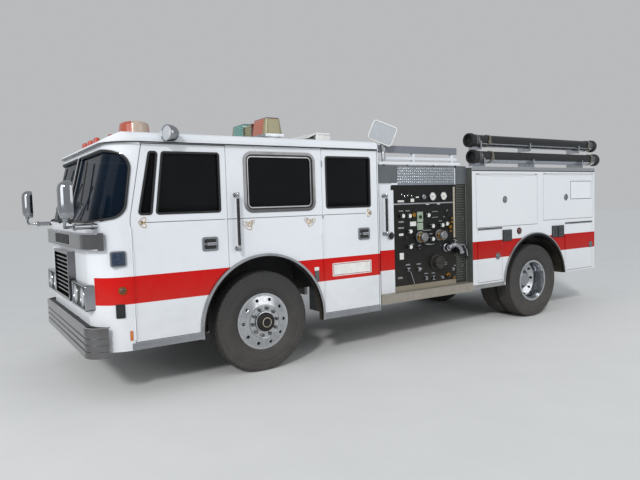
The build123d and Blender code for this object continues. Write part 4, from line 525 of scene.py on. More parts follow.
def add_plate(shape, outline, place, near, far, hole=None):
    """A flat plate, or a frame round a hole with as many points. place(a, b, depth) sets a point."""
    loops = [[shape.verts.new(place(a, b, depth)) for a, b in outline] for depth in (near, far)]
    count = len(outline)
    if hole is None:
        shape.faces.new(loops[0])
        shape.faces.new(list(reversed(loops[1])))
    else:
        inner = [[shape.verts.new(place(a, b, depth)) for a, b in hole] for depth in (near, far)]
        for step in range(count):
            after = (step + 1) % count
            shape.faces.new((loops[0][step], loops[0][after], inner[0][after], inner[0][step]))
            shape.faces.new((loops[1][after], loops[1][step], inner[1][step], inner[1][after]))
            shape.faces.new((inner[0][step], inner[0][after], inner[1][after], inner[1][step]))
    for step in range(count):
        after = (step + 1) % count
        shape.faces.new((loops[0][after], loops[0][step], loops[1][step], loops[1][after]))


def add_loft(shape, loops):
    """A skin over closed loops of points, one after another, with flat ends."""
    rings = [[shape.verts.new(point) for point in loop] for loop in loops]
    count = len(rings[0])
    for low, high in zip(rings, rings[1:]):
        for step in range(count):
            after = (step + 1) % count
            shape.faces.new((low[step], low[after], high[after], high[step]))
    shape.faces.new(list(reversed(rings[0])))
    shape.faces.new(rings[-1])


def add_dome(shape, centre, half, low, high, radius, lean, edge):
    """A moulded cover on a level base: sides that lean in, and a rounded top edge."""
    loops = []
    wall = high - edge - low
    steps = [(low, 0.0), (high - edge, lean * wall)]
    for angle in (0.4, 0.8, 1.2, 1.57):
        steps.append((high - edge + edge * math.sin(angle), lean * wall + edge * (1 - math.cos(angle))))
    for z, inset in steps:
        a, b = half[0] - inset, half[1] - inset
        loop = rounded(oblong(-a, -b, a, b), max(0.004, radius - inset))
        loops.append([Vector((centre[0] + x, centre[1] + y, z)) for x, y in loop])
    add_loft(shape, loops)


def on_side(a, b, depth):
    """A point on the left side: a along X, b up, depth out along Y."""
    return Vector((a, depth, b))


def on_front(a, b, depth):
    """A point on the front: a along Y, b up, depth forward along X."""
    return Vector((depth, a, b))


def settle(shape, name, body, material, smooth=40.0, mirrored=False):
    """Closes the bmesh into a piece that rides on a body."""
    if mirrored:
        bmesh.ops.scale(shape, vec=(1.0, -1.0, 1.0), verts=shape.verts[:])
    bmesh.ops.recalc_face_normals(shape, faces=shape.faces[:])
    mesh = bpy.data.meshes.new(name)
    shape.to_mesh(mesh)
    shape.free()
    mesh.materials.append(material)
    mesh.shade_smooth()
    mesh.set_sharp_from_angle(angle=math.radians(smooth))
    piece = bpy.data.objects.new(name, mesh)
    bpy.context.scene.collection.objects.link(piece)
    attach(piece, body)
    return piece


def piece(name, body, material, slot, build, smooth=40.0):
    """One piece, built by a function that fills a bmesh."""
    shape = bmesh.new()
    build(shape)
    return settle(shape, name, body, material, smooth)


def on_both_sides(name, body, material, build, smooth=40.0):
    """The same piece on the left and, mirrored, on the right. {side} in the body's name takes the side."""
    made = []
    for side, sign in SIDES:
        shape = bmesh.new()
        build(shape)
        made.append(settle(shape, f"{name}_{side}", body.format(side=side), material, smooth, sign < 0))
    return made


# Geometry Nodes: one small form repeated in a ring, or in rows
UPRIGHT = (math.pi / 2, 0.0, 0.0)


def repeat_tree(name, sizes, layout):
    """A tree that repeats the modifier's own mesh. sizes are its named inputs, each with its kind.

    layout(tree, given) makes the points and their turns from what the inputs give.
    """
    tree = bpy.data.node_groups.new(name, "GeometryNodeTree")
    tree.interface.new_socket("Geometry", in_out="INPUT", socket_type="NodeSocketGeometry")
    tree.interface.new_socket("Geometry", in_out="OUTPUT", socket_type="NodeSocketGeometry")
    tree.interface.new_socket("Finish", in_out="INPUT", socket_type="NodeSocketMaterial")
    for title, kind in sizes.items():
        tree.interface.new_socket(title, in_out="INPUT", socket_type=kind)
    given = add(tree, "NodeGroupInput").outputs
    points, turn = layout(tree, given)
    spread = add(tree, "GeometryNodeInstanceOnPoints", (), {"Points": points, "Instance": given["Geometry"]})
    if turn is not None:
        tree.links.new(turn, spread.inputs["Rotation"])
    solid = add(tree, "GeometryNodeRealizeInstances", (), {0: spread.outputs[0]}).outputs[0]
    coat = add(tree, "GeometryNodeSetMaterial", (), {"Geometry": solid, "Material": given["Finish"]})
    add(tree, "NodeGroupOutput", (), {0: coat.outputs[0]})
    return tree


def ring_layout(tree, given):
    """Points on a circle in the XZ plane, each turned about Y to face outwards."""
    circle = add(tree, "GeometryNodeMeshCircle", (), {"Vertices": given["Count"], "Radius": given["Radius"]})
    upright = add(tree, "GeometryNodeTransform", {"Rotation": UPRIGHT}, {"Geometry": circle.outputs[0]})
    first = add(tree, "ShaderNodeCombineXYZ", (), {"Y": given["First Turn"]}).outputs[0]
    started = add(tree, "GeometryNodeTransform", (), {"Geometry": upright.outputs[0], "Rotation": first})
    spot = add(tree, "GeometryNodeInputPosition").outputs[0]
    parts = add(tree, "ShaderNodeSeparateXYZ", (), {0: spot}).outputs
    angle = add(tree, "ShaderNodeMath", (), {0: parts[0], 1: parts[2]}, operation="ARCTAN2")
    turn = add(tree, "ShaderNodeCombineXYZ", (), {"Y": angle.outputs[0]})
    return started.outputs[0], turn.outputs[0]


def row_layout(tree, given):
    """Points in rows and columns in the XZ plane, centred on the origin."""
    grid = add(
        tree, "GeometryNodeMeshGrid", (),
        {
            "Size X": given["Length"], "Size Y": given["Height"],
            "Vertices X": given["Columns"], "Vertices Y": given["Rows"],
        },
    )
    upright = add(tree, "GeometryNodeTransform", {"Rotation": UPRIGHT}, {"Geometry": grid.outputs[0]})
    return upright.outputs[0], None


ring_tree = repeat_tree(
    "ring_of_pieces",
    {"Count": "NodeSocketInt", "Radius": "NodeSocketFloat", "First Turn": "NodeSocketFloat"}, ring_layout,
)
row_tree = repeat_tree(
    "rows_of_pieces",
    {
        "Columns": "NodeSocketInt", "Rows": "NodeSocketInt", "Length": "NodeSocketFloat",
        "Height": "NodeSocketFloat",
    },
    row_layout,
)


def repeated(
    name, body, material, build, tree, values, centre, mirrored=False, smooth=40.0, turn=None
):
    """The form that build makes at the origin, repeated by a tree, turned and set at a centre."""
    shape = bmesh.new()
    build(shape)
    bmesh.ops.recalc_face_normals(shape, faces=shape.faces[:])
    mesh = bpy.data.meshes.new(name + "_form")
    shape.to_mesh(mesh)
    shape.free()
    carrier = bpy.data.objects.new(name + "_carrier", mesh)
    bpy.context.scene.collection.objects.link(carrier)
    modifier = carrier.modifiers.new("repeat", "NODES")
    modifier.node_group = tree
    sockets = {item.name: item.identifier for item in tree.interface.items_tree if item.in_out == "INPUT"}
    modifier[sockets["Finish"]] = material
    for title, value in values.items():
        modifier[sockets[title]] = value
    bpy.context.view_layer.update()
    evaluated = carrier.evaluated_get(bpy.context.evaluated_depsgraph_get())
    plain = bpy.data.meshes.new_from_object(evaluated)
    bpy.data.objects.remove(carrier)
    shape = bmesh.new()
    shape.from_mesh(plain)
    bpy.data.meshes.remove(plain)
    if turn is not None:
        bmesh.ops.rotate(shape, matrix=turn, verts=shape.verts[:])
    bmesh.ops.translate(shape, vec=centre, verts=shape.verts[:])
    return settle(shape, name, body, material, smooth, mirrored)


def at(offset):
    """A station measured from the front axle, forward."""
    return FRONT_AXLE + offset


def box_piece(low, high, bevel=0.002):
    """A builder for one rounded box."""
    return lambda shape: add_box(shape, low, high, bevel)


def turned(centre, axis, profile, steps=32, ring=False):
    """A builder for one turned form."""
    return lambda shape: add_turned(shape, centre, axis, profile, steps, ring)


def side_plate(outline, near, far, hole=None):
    """A builder for a plate on the side, or for a frame round a hole, from one depth to another."""
    return lambda shape: add_plate(shape, outline, on_side, near, far, hole)


def screen_x(z):
    """The cab's front face at a height."""
    return CAB_FRONT - SCREEN_LEAN * max(0.0, z - BELT_Z) / (ROOF_Z - BELT_Z)


def skin(turn, z, proud=0.0):
    """A point on the cab's skin. turn is the angle round the front corner: 0 at the side, 90 in front."""
    angle = math.radians(turn)
    radius = CORNER_RADIUS + proud
    centre_x = screen_x(z) - CORNER_RADIUS
    return Vector((centre_x + radius * math.sin(angle), SIDE_Y - CORNER_RADIUS + radius * math.cos(angle), z))


# Tyres: a turned carcass with sidewall rings, and ribs of tread blocks round it
TYRE_RADIUS = 0.535
BEAD_RADIUS = 0.2865
RIM_EDGE = 0.105
FRONT_TYRE_Y = 1.025
OUTER_TYRE_Y = 1.060
INNER_TYRE_Y = 0.740
GROOVE_DEPTH = 0.011
BLOCK_ROOT = 0.020
# Each rib's place across the tyre, its width, its blocks and the gap between them
RIBS = (
    (-0.098, 0.030, 64, 0.009), (-0.0515, 0.024, 48, 0.004), (0.0, 0.028, 48, 0.004),
    (0.0515, 0.024, 48, 0.004), (0.098, 0.030, 64, 0.009),
)


def carcass_profile():
    """The tyre's section as (radius, width), from one bead to the other, without tread."""
    floor_radius = TYRE_RADIUS - GROOVE_DEPTH
    half = [
        (BEAD_RADIUS, 0.085), (BEAD_RADIUS + 0.002, RIM_EDGE), (0.302, 0.1065), (0.309, 0.112),
        (0.315, 0.1165), (0.330, 0.1235), (0.334, 0.1215), (0.338, 0.1255), (0.365, 0.132),
        (0.395, 0.1345), (0.420, 0.1345),
        (0.424, 0.1328), (0.428, 0.1342), (0.455, 0.1325), (0.478, 0.1285), (0.481, 0.1262), (0.484, 0.1272),
        (0.505, 0.123), (0.519, 0.1155), (floor_radius - 0.004, 0.108), (floor_radius, 0.06),
        (floor_radius + 0.002, 0.0),
    ]
    return [(radius, -width) for radius, width in half] + half[-2::-1]


def crown_drop(offset):
    """How much lower the tread lies towards its shoulders."""
    return 0.007 * (offset / 0.11) ** 2


def tyre_piece(name, body, centres, sign, nodes):
    """A tyre, or twins, with every tread block, that stands for the plain solids."""
    shape = bmesh.new()
    for x, y in centres:
        add_turned(shape, (x, y, AXLE_Z), OUT, carcass_profile(), 96, True)
    carcass = settle(shape, name, body, tyre_rubber, 50.0, sign < 0)
    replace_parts(carcass, nodes)
    for index, (x, y) in enumerate(centres):
        for rib, (offset, width, count, gap) in enumerate(RIBS):
            top = TYRE_RADIUS - 0.001 - crown_drop(offset)
            length = 2 * math.pi * top / count - gap
            block = box_piece((-length / 2, -width / 2, -BLOCK_ROOT), (length / 2, width / 2, 0.0), 0.0)
            repeated(
                f"{name}_rib_{index}{rib}", body, tyre_rubber, block, ring_tree,
                {"Count": count, "Radius": top, "First Turn": 0.05 * rib}, (x, y + offset, AXLE_Z), sign < 0,
            )


for side, sign in SIDES:
    front = ((FRONT_AXLE, FRONT_TYRE_Y),)
    twins = ((REAR_AXLE, OUTER_TYRE_Y), (REAR_AXLE, INNER_TYRE_Y))
    tyre_piece(f"front_tyre_{side}", f"front_wheel_{side}", front, sign, f"tyre_front_{side}")
    tyre_piece(f"rear_tyres_{side}", f"rear_wheels_{side}", twins, sign, f"tyres_rear_{side}")

# Wheel nuts, hubs and caps
NUT_HEIGHT = 0.032
NUTS = 10
# The front wheel's outer face, as (radius, place outwards), and its round hand holes
FACE_PROFILE = (
    (0.184, 1.1655), (0.196, 1.1630), (0.215, 1.1575), (0.238, 1.1500), (0.258, 1.1435), (0.272, 1.1385),
)
HOLES = 10
HOLE_CIRCLE = 0.238
HOLE_RADIUS = 0.018
EDGE_STEPS = 6
STEP_RING_RADIUS = 0.176
REAR_FACE_Y = 0.916


def face_depth(radius):
    """How far out the front wheel's face lies at a radius."""
    for (r0, y0), (r1, y1) in zip(FACE_PROFILE, FACE_PROFILE[1:]):
        if radius <= r1:
            return y0 + (y1 - y0) * max(0.0, (radius - r0) / (r1 - r0))
    return FACE_PROFILE[-1][1]


def wheel_face(shape):
    """The polished outer ring of the front wheel, in sectors that each hold one hand hole."""
    half, steps = math.pi / HOLES, EDGE_STEPS
    inner, outer = FACE_PROFILE[0][0], FACE_PROFILE[-1][0]
    edge = [(outer, -half + 2 * half * i / steps) for i in range(steps)]
    edge += [(outer + (inner - outer) * i / steps, half) for i in range(steps)]
    edge += [(inner, half - 2 * half * i / steps) for i in range(steps)]
    edge += [(inner + (outer - inner) * i / steps, -half) for i in range(steps)]
    count = len(edge)
    for sector in range(HOLES):
        rings = []
        for share, back in ((1.0, 0.006), (1.0, 0.0), (0.6, 0.0), (0.25, 0.0), (0.0, 0.0), (0.0, 0.012)):
            ring = []
            for radius, angle in edge:
                a, b = radius * math.cos(angle) - HOLE_CIRCLE, radius * math.sin(angle)
                scale = HOLE_RADIUS / math.hypot(a, b)
                scale += (1 - scale) * share
                a, b = HOLE_CIRCLE + a * scale, b * scale
                reach, turn = math.hypot(a, b), math.atan2(b, a) + sector * math.pi / 5
                x, z = FRONT_AXLE + reach * math.cos(turn), AXLE_Z + reach * math.sin(turn)
                ring.append(shape.verts.new((x, face_depth(reach) - back, z)))
            rings.append(ring)
        for first, second in zip(rings, rings[1:]):
            for i in range(count):
                # The turned-in rim runs along the inner and outer edges only
                if first is rings[0] and (steps <= i < 2 * steps or 3 * steps <= i):
                    continue
                after = (i + 1) % count
                shape.faces.new((first[i], first[after], second[after], second[i]))
    bmesh.ops.remove_doubles(shape, verts=shape.verts[:], dist=0.00002)
    bmesh.ops.recalc_face_normals(shape, faces=shape.faces[:])


def wheel_nut(form):
    """A flanged washer, a hexagon nut and the end of its stud."""
    top = NUT_HEIGHT
    add_turned(form, (0, 0, 0), OUT, ((0.0215, 0.0), (0.0215, 0.004), (0.0165, 0.006)), 20)
    add_turned(form, (0, 0, 0), OUT, ((0.0175, 0.004), (0.0175, top - 0.008), (0.0130, top - 0.004)), 6)
    add_turned(form, (0, 0, 0), OUT, ((0.0095, 0.010), (0.0095, top), (0.006, top + 0.002)), 10)


on_both_sides("front_wheel_face", "front_wheel_{side}", aluminium, wheel_face, 30.0)
for side, sign in SIDES:
    for end, body, finish, face, circle in (
        ("front", f"front_wheel_{side}", shaded_chrome, (FRONT_AXLE, 1.165, AXLE_Z), 0.143),
        ("rear", f"rear_wheels_{side}", chrome, (REAR_AXLE, REAR_FACE_Y, AXLE_Z), 0.168),
    ):
        repeated(
            f"wheel_nuts_{end}_{side}", body, finish, wheel_nut, ring_tree,
            {"Count": NUTS, "Radius": circle, "First Turn": 0.1}, face, sign < 0, 30.0,
        )
FRONT_HUB = (
    (0.112, 0.0), (0.112, 0.010), (0.108, 0.016), (0.101, 0.018), (0.099, 0.042), (0.095, 0.051),
    (0.088, 0.0565), (0.074, 0.0585), (0.066, 0.0605), (0.040, 0.0605), (0.0, 0.0605),
)
CAP_RING = ((0.052, -0.002), (0.052, 0.003), (0.050, 0.004), (0.046, 0.004), (0.045, -0.002))
REAR_HUB = (
    (0.1535, 0.0), (0.1535, 0.062), (0.151, 0.067), (0.128, 0.090), (0.120, 0.100), (0.098, 0.118),
    (0.092, 0.121), (0.088, 0.1205), (0.060, 0.1215), (0.0, 0.1225),
)
on_both_sides(
    "front_hub", "front_wheel_{side}", hub_iron,
    turned((FRONT_AXLE, 1.160, AXLE_Z), OUT, FRONT_HUB, 40),
)
on_both_sides(
    "hub_cap_ring", "front_wheel_{side}", reflection_tinted_trim,
    turned((FRONT_AXLE, 1.2205, AXLE_Z), OUT, CAP_RING, 40, True),
)
on_both_sides(
    "rear_hub_cover", "rear_wheels_{side}", chrome,
    turned((REAR_AXLE, REAR_FACE_Y, AXLE_Z), OUT, REAR_HUB, 48),
)


def wheel_step_ring(shape):
    """The rolled edge between the front wheel's nuts and its face."""
    path = []
    for step in range(64):
        angle = step * math.pi / 32
        x, z = STEP_RING_RADIUS * math.cos(angle), STEP_RING_RADIUS * math.sin(angle)
        path.append((FRONT_AXLE + x, 1.1655, AXLE_Z + z))
    add_tube(shape, path, 0.005, 8, True)


on_both_sides("wheel_step_ring", "front_wheel_{side}", aluminium, wheel_step_ring)

# Side windows: rubber seals round each pane, and bright frames round the fixed one
PANE_LOW = 1.710
PANE_HIGH = 2.290
GLASS_Y = SIDE_Y - 0.021
FRONT_PANE = oblong(at(0.473), PANE_LOW, at(1.120), PANE_HIGH)
FRONT_PANE[2] = (at(1.045), PANE_HIGH)
VENT_PANE = [(at(1.160), PANE_LOW), (at(1.285), PANE_LOW), (at(1.166), PANE_HIGH), (at(1.085), PANE_HIGH)]
REAR_PANE = oblong(at(-1.416), PANE_LOW, at(-0.792), 2.282)
FIXED_PANE = oblong(at(-0.630), PANE_LOW, at(0.193), 2.296)


def frame_between(pane, outside, inside, radius, far):
    """A builder for a frame round a pane, from outside its edge to inside it."""
    outer = rounded(moved_out(pane, outside), radius + outside)
    inner = rounded(moved_out(pane, -inside), max(0.004, radius - inside))
    return side_plate(outer, GLASS_Y, far, inner)


for pane_name, pane_door, pane in (
    ("front_pane", "front", FRONT_PANE), ("vent_pane", "front", VENT_PANE), ("rear_pane", "rear", REAR_PANE),
):
    on_both_sides(
        f"{pane_name}_seal", f"cab_door_{pane_door}_{{side}}", seal_rubber,
        frame_between(pane, 0.006, 0.014, 0.026, SIDE_Y + 0.004),
    )
for frame_name, finish, slot, outside, inside, far in (
    ("fixed_pane_frame", shaded_chrome, "chrome", 0.020, 0.010, SIDE_Y + 0.007),
    ("fixed_pane_seal", seal_rubber, "hose_rubber", -0.010, 0.026, SIDE_Y + 0.002),
    ("fixed_pane_inner_frame", stainless, "chrome", -0.026, 0.038, SIDE_Y - 0.004),
):
    on_both_sides(frame_name, "body", finish, frame_between(FIXED_PANE, outside, inside, 0.075, far))
on_both_sides(
    "fixed_pane_tint", "body", tinted_glass,
    side_plate(rounded(moved_out(FIXED_PANE, -0.030), 0.04), SIDE_Y - 0.0215, SIDE_Y - 0.0205),
)


# Windscreens: the seal follows the skin round each corner
def line_height(line, x):
    """The height of a straight line at x."""
    (x0, z0), (x1, z1) = line
    return z0 + (x - x0) * (z1 - z0) / (x1 - x0)


def screen_run(line, start_x, inward, proud):
    """Points along the windscreen's lower or upper edge, round the corner and on to the middle bar."""
    run = []
    reach = start_x - screen_x(line_height(line, start_x)) + CORNER_RADIUS
    first = math.degrees(math.asin(max(0.0, min(1.0, reach / CORNER_RADIUS))))
    for step in range(1, 17):
        turn = first + (90.0 - first) * step / 16
        z = line_height(line, at(1.5))
        for _ in range(6):
            z = line_height(line, skin(turn, z).x)
        run.append(skin(turn, z, proud))
    end = run[-1]
    for step in range(1, 9):
        run.append(Vector((end.x, end.y + (0.025 + inward - end.y) * step / 8, end.z)))
    return run


def screen_edge(inward=0.0, proud=0.0):
    """The windscreen's edge on the left, as points on the cab's skin."""
    flat = [(at(1.410), 1.705), (at(1.326), 2.245), (CAB_FRONT - 0.080, 2.338), (CAB_FRONT + 0.060, 1.645)]
    flat = moved_out(flat, -inward)
    # rounded() starts at the lower rear corner: its arc, then the upper rear corner's arc
    corners = rounded(flat, 0.15 - inward, 10)[:22]
    points = list(reversed(screen_run((flat[3], flat[0]), corners[0][0], inward, proud)))
    for x, z in corners:
        beyond = x - (screen_x(z) - CORNER_RADIUS)
        if beyond <= 0:
            points.append(Vector((x, SIDE_Y + proud, z)))
        else:
            points.append(skin(math.degrees(math.asin(min(1.0, beyond / CORNER_RADIUS))), z, proud))
    return points + screen_run((flat[1], flat[2]), corners[-1][0], inward, proud)


on_both_sides(
    "windscreen_seal", "body", seal_rubber,
    lambda shape: add_tube(shape, screen_edge(), 0.013, 10, True),
)
on_both_sides(
    "windscreen_bead", "body", chrome,
    lambda shape: add_tube(shape, screen_edge(-0.010, 0.006), 0.0045, 8, True),
)


def wiper(shape):
    """An arm from its spindle below the glass, with the blade along the screen."""
    foot = Vector((screen_x(1.655) + 0.012, 0.30, 1.655))
    tip = Vector((screen_x(2.02) + 0.030, 0.60, 2.02))
    spindle = ((0.024, 0.0), (0.024, 0.018), (0.016, 0.028), (0.0, 0.029))
    add_turned(shape, foot - Vector((0.010, 0, 0)), AHEAD, spindle, 20)
    bend = foot.lerp(tip, 0.3) + Vector((0.016, 0, 0))
    add_tube(shape, [foot + Vector((0.018, 0, 0)), bend, tip], 0.006, 8)
    low = Vector((screen_x(1.78) + 0.014, 0.66, 1.78))
    high = Vector((screen_x(2.24) + 0.014, 0.53, 2.24))
    add_tube(shape, [low, low.lerp(high, 0.5), high], 0.008, 8)
    for share in (0.2, 0.5, 0.8):
        middle = low.lerp(high, share)
        add_tube(shape, [middle, middle + Vector((0.014, 0, 0))], 0.006, 6)


on_both_sides("wiper", "body", seal_rubber, wiper)

# Lines, scrolls and the bare sign on the cab
BELT_LINE = (1.633, 1.640)
for line_name, line_body, line_rear, line_front in (
    ("belt_line", "cab_door_front_{side}", at(0.430), at(1.270)),
    ("belt_line_middle", "body", at(-0.728), at(0.412)),
    ("belt_line_rear", "cab_door_rear_{side}", at(-1.345), at(-0.752)),
):
    low, high = (line_rear, SIDE_Y - 0.0005, BELT_LINE[0]), (line_front, SIDE_Y + 0.0007, BELT_LINE[1])
    on_both_sides(line_name, line_body, pinstripe, box_piece(low, high, 0.0))


def scroll(shape, x, z, way_x, way_z, size):
    """A small leaf scroll in gold, flat on the side: a stem with two curls."""
    for curl, turns, share in ((1, 1.15, 1.0), (-1, 0.9, 0.6)):
        points = []
        for step in range(26):
            angle = turns * 2 * math.pi * step / 25
            radius = size * share * (1 - 0.72 * step / 25) * 0.5
            a = size * share * 0.5 - radius * math.cos(angle)
            b = curl * radius * math.sin(angle)
            points.append((x + way_x * (a + 0.3 * b), SIDE_Y + 0.0006, z + way_z * (0.35 * a + b)))
        add_tube(shape, points, 0.0042 * share + 0.001, 6, False, 0.25)


def scrolls(shape):
    """The scrolls on the fixed wall between the doors, below the belt."""
    for x, z, way, size in (
        (0.105, 1.600, 1, 0.085), (0.235, 1.585, -1, 0.11),
        (-0.500, 1.600, -1, 0.085), (-0.640, 1.585, 1, 0.11),
    ):
        scroll(shape, at(x), z, way, -1, size)


def scroll_pair(x, way):
    """A builder for the two scrolls that end a belt line, one curled up and one down."""
    def build(shape):
        for curl in (1, -1):
            scroll(shape, x, 1.636, way, curl, 0.075)

    return build


for scroll_name, scroll_body, build in (
    ("gold_scrolls", "body", scrolls), ("belt_scroll", "cab_door_front_{side}", scroll_pair(at(1.285), -1)),
    ("belt_scroll_rear", "cab_door_rear_{side}", scroll_pair(at(-1.430), 1)),
):
    on_both_sides(scroll_name, scroll_body, gold_leaf, build)
SIGN = oblong(at(-1.408), 0.938, at(-0.853), 1.087)
on_both_sides(
    "door_sign", "cab_door_rear_{side}", white_plastic,
    side_plate(rounded(SIGN, 0.012), SIDE_Y, SIDE_Y + 0.0025),
)
on_both_sides(
    "door_sign_rim", "cab_door_rear_{side}", red_lens,
    side_plate(
        rounded(moved_out(SIGN, -0.010), 0.008), SIDE_Y + 0.002, SIDE_Y + 0.0032,
        rounded(moved_out(SIGN, -0.016), 0.004),
    ),
)

# Door handles: a chrome bezel with a black pocket and a paddle across it
def handle_bezel(x):
    """A builder for the bezel, the paddle and the lock of a handle."""
    outline = oblong(x - 0.078, 1.335, x + 0.078, 1.465)
    lock = ((0.011, 0.0), (0.011, 0.006), (0.009, 0.008), (0.0, 0.008))

    def build(shape):
        outer = rounded(moved_out(outline, 0.004), 0.022)
        inner = rounded(moved_out(outline, -0.016), 0.012)
        add_plate(shape, outer, on_side, SIDE_Y, SIDE_Y + 0.010, inner)
        add_box(shape, (x - 0.064, SIDE_Y + 0.014, 1.388), (x + 0.034, SIDE_Y + 0.026, 1.414), 0.005)
        add_turned(shape, (x + 0.048, SIDE_Y + 0.004, 1.400), OUT, lock, 20)

    return build


for door, handle_x in (("front", at(0.600)), ("rear", at(-1.308))):
    on_both_sides(f"handle_{door}", f"cab_door_{door}_{{side}}", chrome, handle_bezel(handle_x))
    on_both_sides(
        f"handle_pocket_{door}", f"cab_door_{door}_{{side}}", seal_rubber,
        box_piece((handle_x - 0.066, SIDE_Y + 0.004, 1.347), (handle_x + 0.066, SIDE_Y + 0.0065, 1.453), 0.0),
    )


def door_hinges(shape):
    """Butt hinges on the cab doors' front edges."""
    for x, heights in ((at(1.361), (0.62, 1.22, 1.56)), (at(-0.739), (1.22, 1.60, 2.20))):
        for z in heights:
            add_tube(shape, [(x, SIDE_Y + 0.006, z - 0.035), (x, SIDE_Y + 0.006, z + 0.035)], 0.006, 10)


on_both_sides("door_hinges", "body", chrome, door_hinges)

# Roof lamps: two faded domes and a box between them on a tray, a beacon, a small lamp and the markers
BAR_X = at(-0.570)
TRAY_TOP = 2.609
BEACON_X = at(0.940)
BEACON_TOP = ((2.570, 0.0), (2.69, 0.015), (2.703, 0.019), (2.715, 0.030), (2.722, 0.045), (2.725, 0.062))
SMALL_LAMP = (at(1.130), -0.200)


def lamp_piece(name, material, build, node="roof_lights", slot="lens_plastic"):
    """A piece of the roof's lamps or fittings, which stands for the plain solid."""
    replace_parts(piece(name, "body", material, slot, build), node)


def bar_tray(shape):
    """The tray on its two feet, and the plates between the domes and the box."""
    add_box(shape, (BAR_X - 0.130, -0.500, 2.575), (BAR_X + 0.130, 0.500, TRAY_TOP), 0.006)
    for y in (-0.400, 0.400):
        add_box(shape, (BAR_X - 0.060, y - 0.040, 2.470), (BAR_X + 0.060, y + 0.040, 2.576), 0.006)
        add_box(shape, (BAR_X - 0.090, y - 0.052, 2.505), (BAR_X + 0.090, y + 0.052, 2.513), 0.003)
    for y in (-0.113, 0.113):
        add_box(shape, (BAR_X - 0.118, y - 0.004, TRAY_TOP), (BAR_X + 0.118, y + 0.004, 2.770), 0.002)


def beacon_cover(shape):
    """An oval cover with a rolled top edge."""
    loops = []
    for z, inset in BEACON_TOP:
        loop = []
        for step in range(48):
            angle = step * math.pi / 24
            x, y = BEACON_X + (0.170 - inset) * math.cos(angle), (0.205 - inset) * math.sin(angle)
            loop.append(Vector((x, y, z)))
        loops.append(loop)
    add_loft(shape, loops)


def brow_domes(half_x, half_y, low, high, radius, lean, edge):
    """A builder for one cover at each of the three markers on the brow."""
    def build(shape):
        for y in (-0.280, 0.0, 0.280):
            add_dome(shape, (at(1.410), y), (half_x, half_y), low, high, radius, lean, edge)

    return build


lamp_piece("light_bar_tray", aluminium, bar_tray)
for dome_name, glass, y, half, *dome_form in (
    ("light_bar_left_dome", orange_dome, 0.306, (0.125, 0.190), 2.805, 0.060, 0.15, 0.022),
    ("light_bar_right_dome", teal_dome, -0.306, (0.125, 0.190), 2.805, 0.060, 0.15, 0.022),
    ("light_bar_middle", olive_lens, 0.0, (0.100, 0.106), 2.760, 0.012, 0.02, 0.012),
):
    lamp_piece(dome_name, glass, lambda shape: add_dome(shape, (BAR_X, y), half, TRAY_TOP, *dome_form))
lamp_piece("beacon_cover", beacon_dome, beacon_cover)
BEACON_BASE = ((0.180, 0.0), (0.180, 0.062), (0.174, 0.070), (0.170, 0.0895))
SMALL_DOME = ((0.048, 0.0), (0.050, 0.040), (0.048, 0.064), (0.042, 0.076), (0.024, 0.082), (0.0, 0.083))
SMALL_BASE = ((0.055, 0.0), (0.055, 0.062), (0.050, 0.066))
lamp_piece("beacon_base", aluminium, turned((BEACON_X, 0.0, 2.480), UP, BEACON_BASE, 48))
lamp_piece("small_roof_lamp", red_lens, turned((*SMALL_LAMP, 2.530), UP, SMALL_DOME, 32))
lamp_piece("small_roof_lamp_base", chrome, turned((*SMALL_LAMP, 2.470), UP, SMALL_BASE, 32))
lamp_piece("brow_markers", marker_lens, brow_domes(0.033, 0.058, 2.415, 2.508, 0.030, 0.07, 0.018))
lamp_piece("brow_marker_bases", chrome, brow_domes(0.039, 0.064, 2.400, 2.447, 0.034, 0.05, 0.006))

# Vent, spotlight and floodlight on the roof
VENT_REAR, VENT_TOP_END, VENT_FRONT = at(-1.480), at(-1.250), at(-1.120)


def fitting(name, material, build):
    """A piece of the roof's fittings."""
    lamp_piece(name, material, build, "roof_fittings", "white_paint")


def vent_box(shape):
    """The vent's body, with a rim below its top."""
    middle = (VENT_REAR + VENT_TOP_END) / 2
    add_dome(shape, (middle, 0.0), ((VENT_TOP_END - VENT_REAR) / 2, 0.360), 2.470, 2.670, 0.020, 0.015, 0.022)
    add_box(shape, (VENT_REAR + 0.02, -0.366, 2.640), (VENT_TOP_END - 0.02, 0.366, 2.652), 0.003)


def vent_lid(shape):
    """The lid that slopes down over the vent's mouth."""
    start = VENT_TOP_END - 0.01
    slope = [(start, 2.652), (start, 2.662), (VENT_FRONT, 2.600), (VENT_FRONT, 2.590)]
    add_loft(shape, [[Vector((x, y, z)) for x, z in slope] for y in (-0.355, 0.355)])


fitting("vent_box", white_plastic, vent_box)
fitting("vent_lid", white_plastic, vent_lid)
fitting(
    "vent_mouth", grey_enamel,
    box_piece((VENT_TOP_END - 0.02, -0.340, 2.480), (VENT_FRONT - 0.02, 0.340, 2.594), 0.004),
)
SPOT = (at(0.970), 1.282, 2.453)
SPOT_AIM = (0.94, 0.30, 0.08)
SPOT_SHELL = (
    (0.0, -0.080), (0.030, -0.075), (0.054, -0.060), (0.070, -0.038), (0.078, -0.010), (0.080, 0.020),
    (0.080, 0.046), (0.076, 0.052), (0.070, 0.048), (0.068, 0.040), (0.0, 0.036),
)
SPOT_LENS = ((0.069, 0.040), (0.069, 0.044), (0.050, 0.051), (0.025, 0.055), (0.0, 0.056))


def spotlight_bracket(shape):
    """A flat arm off the roof's edge and the collar that the spotlight turns in."""
    add_box(shape, (SPOT[0] - 0.030, 1.180, 2.385), (SPOT[0] + 0.030, 1.310, 2.397), 0.004)
    add_turned(shape, (SPOT[0], SPOT[1], 2.395), UP, ((0.026, 0.0), (0.022, 0.012), (0.020, 0.035)), 24)


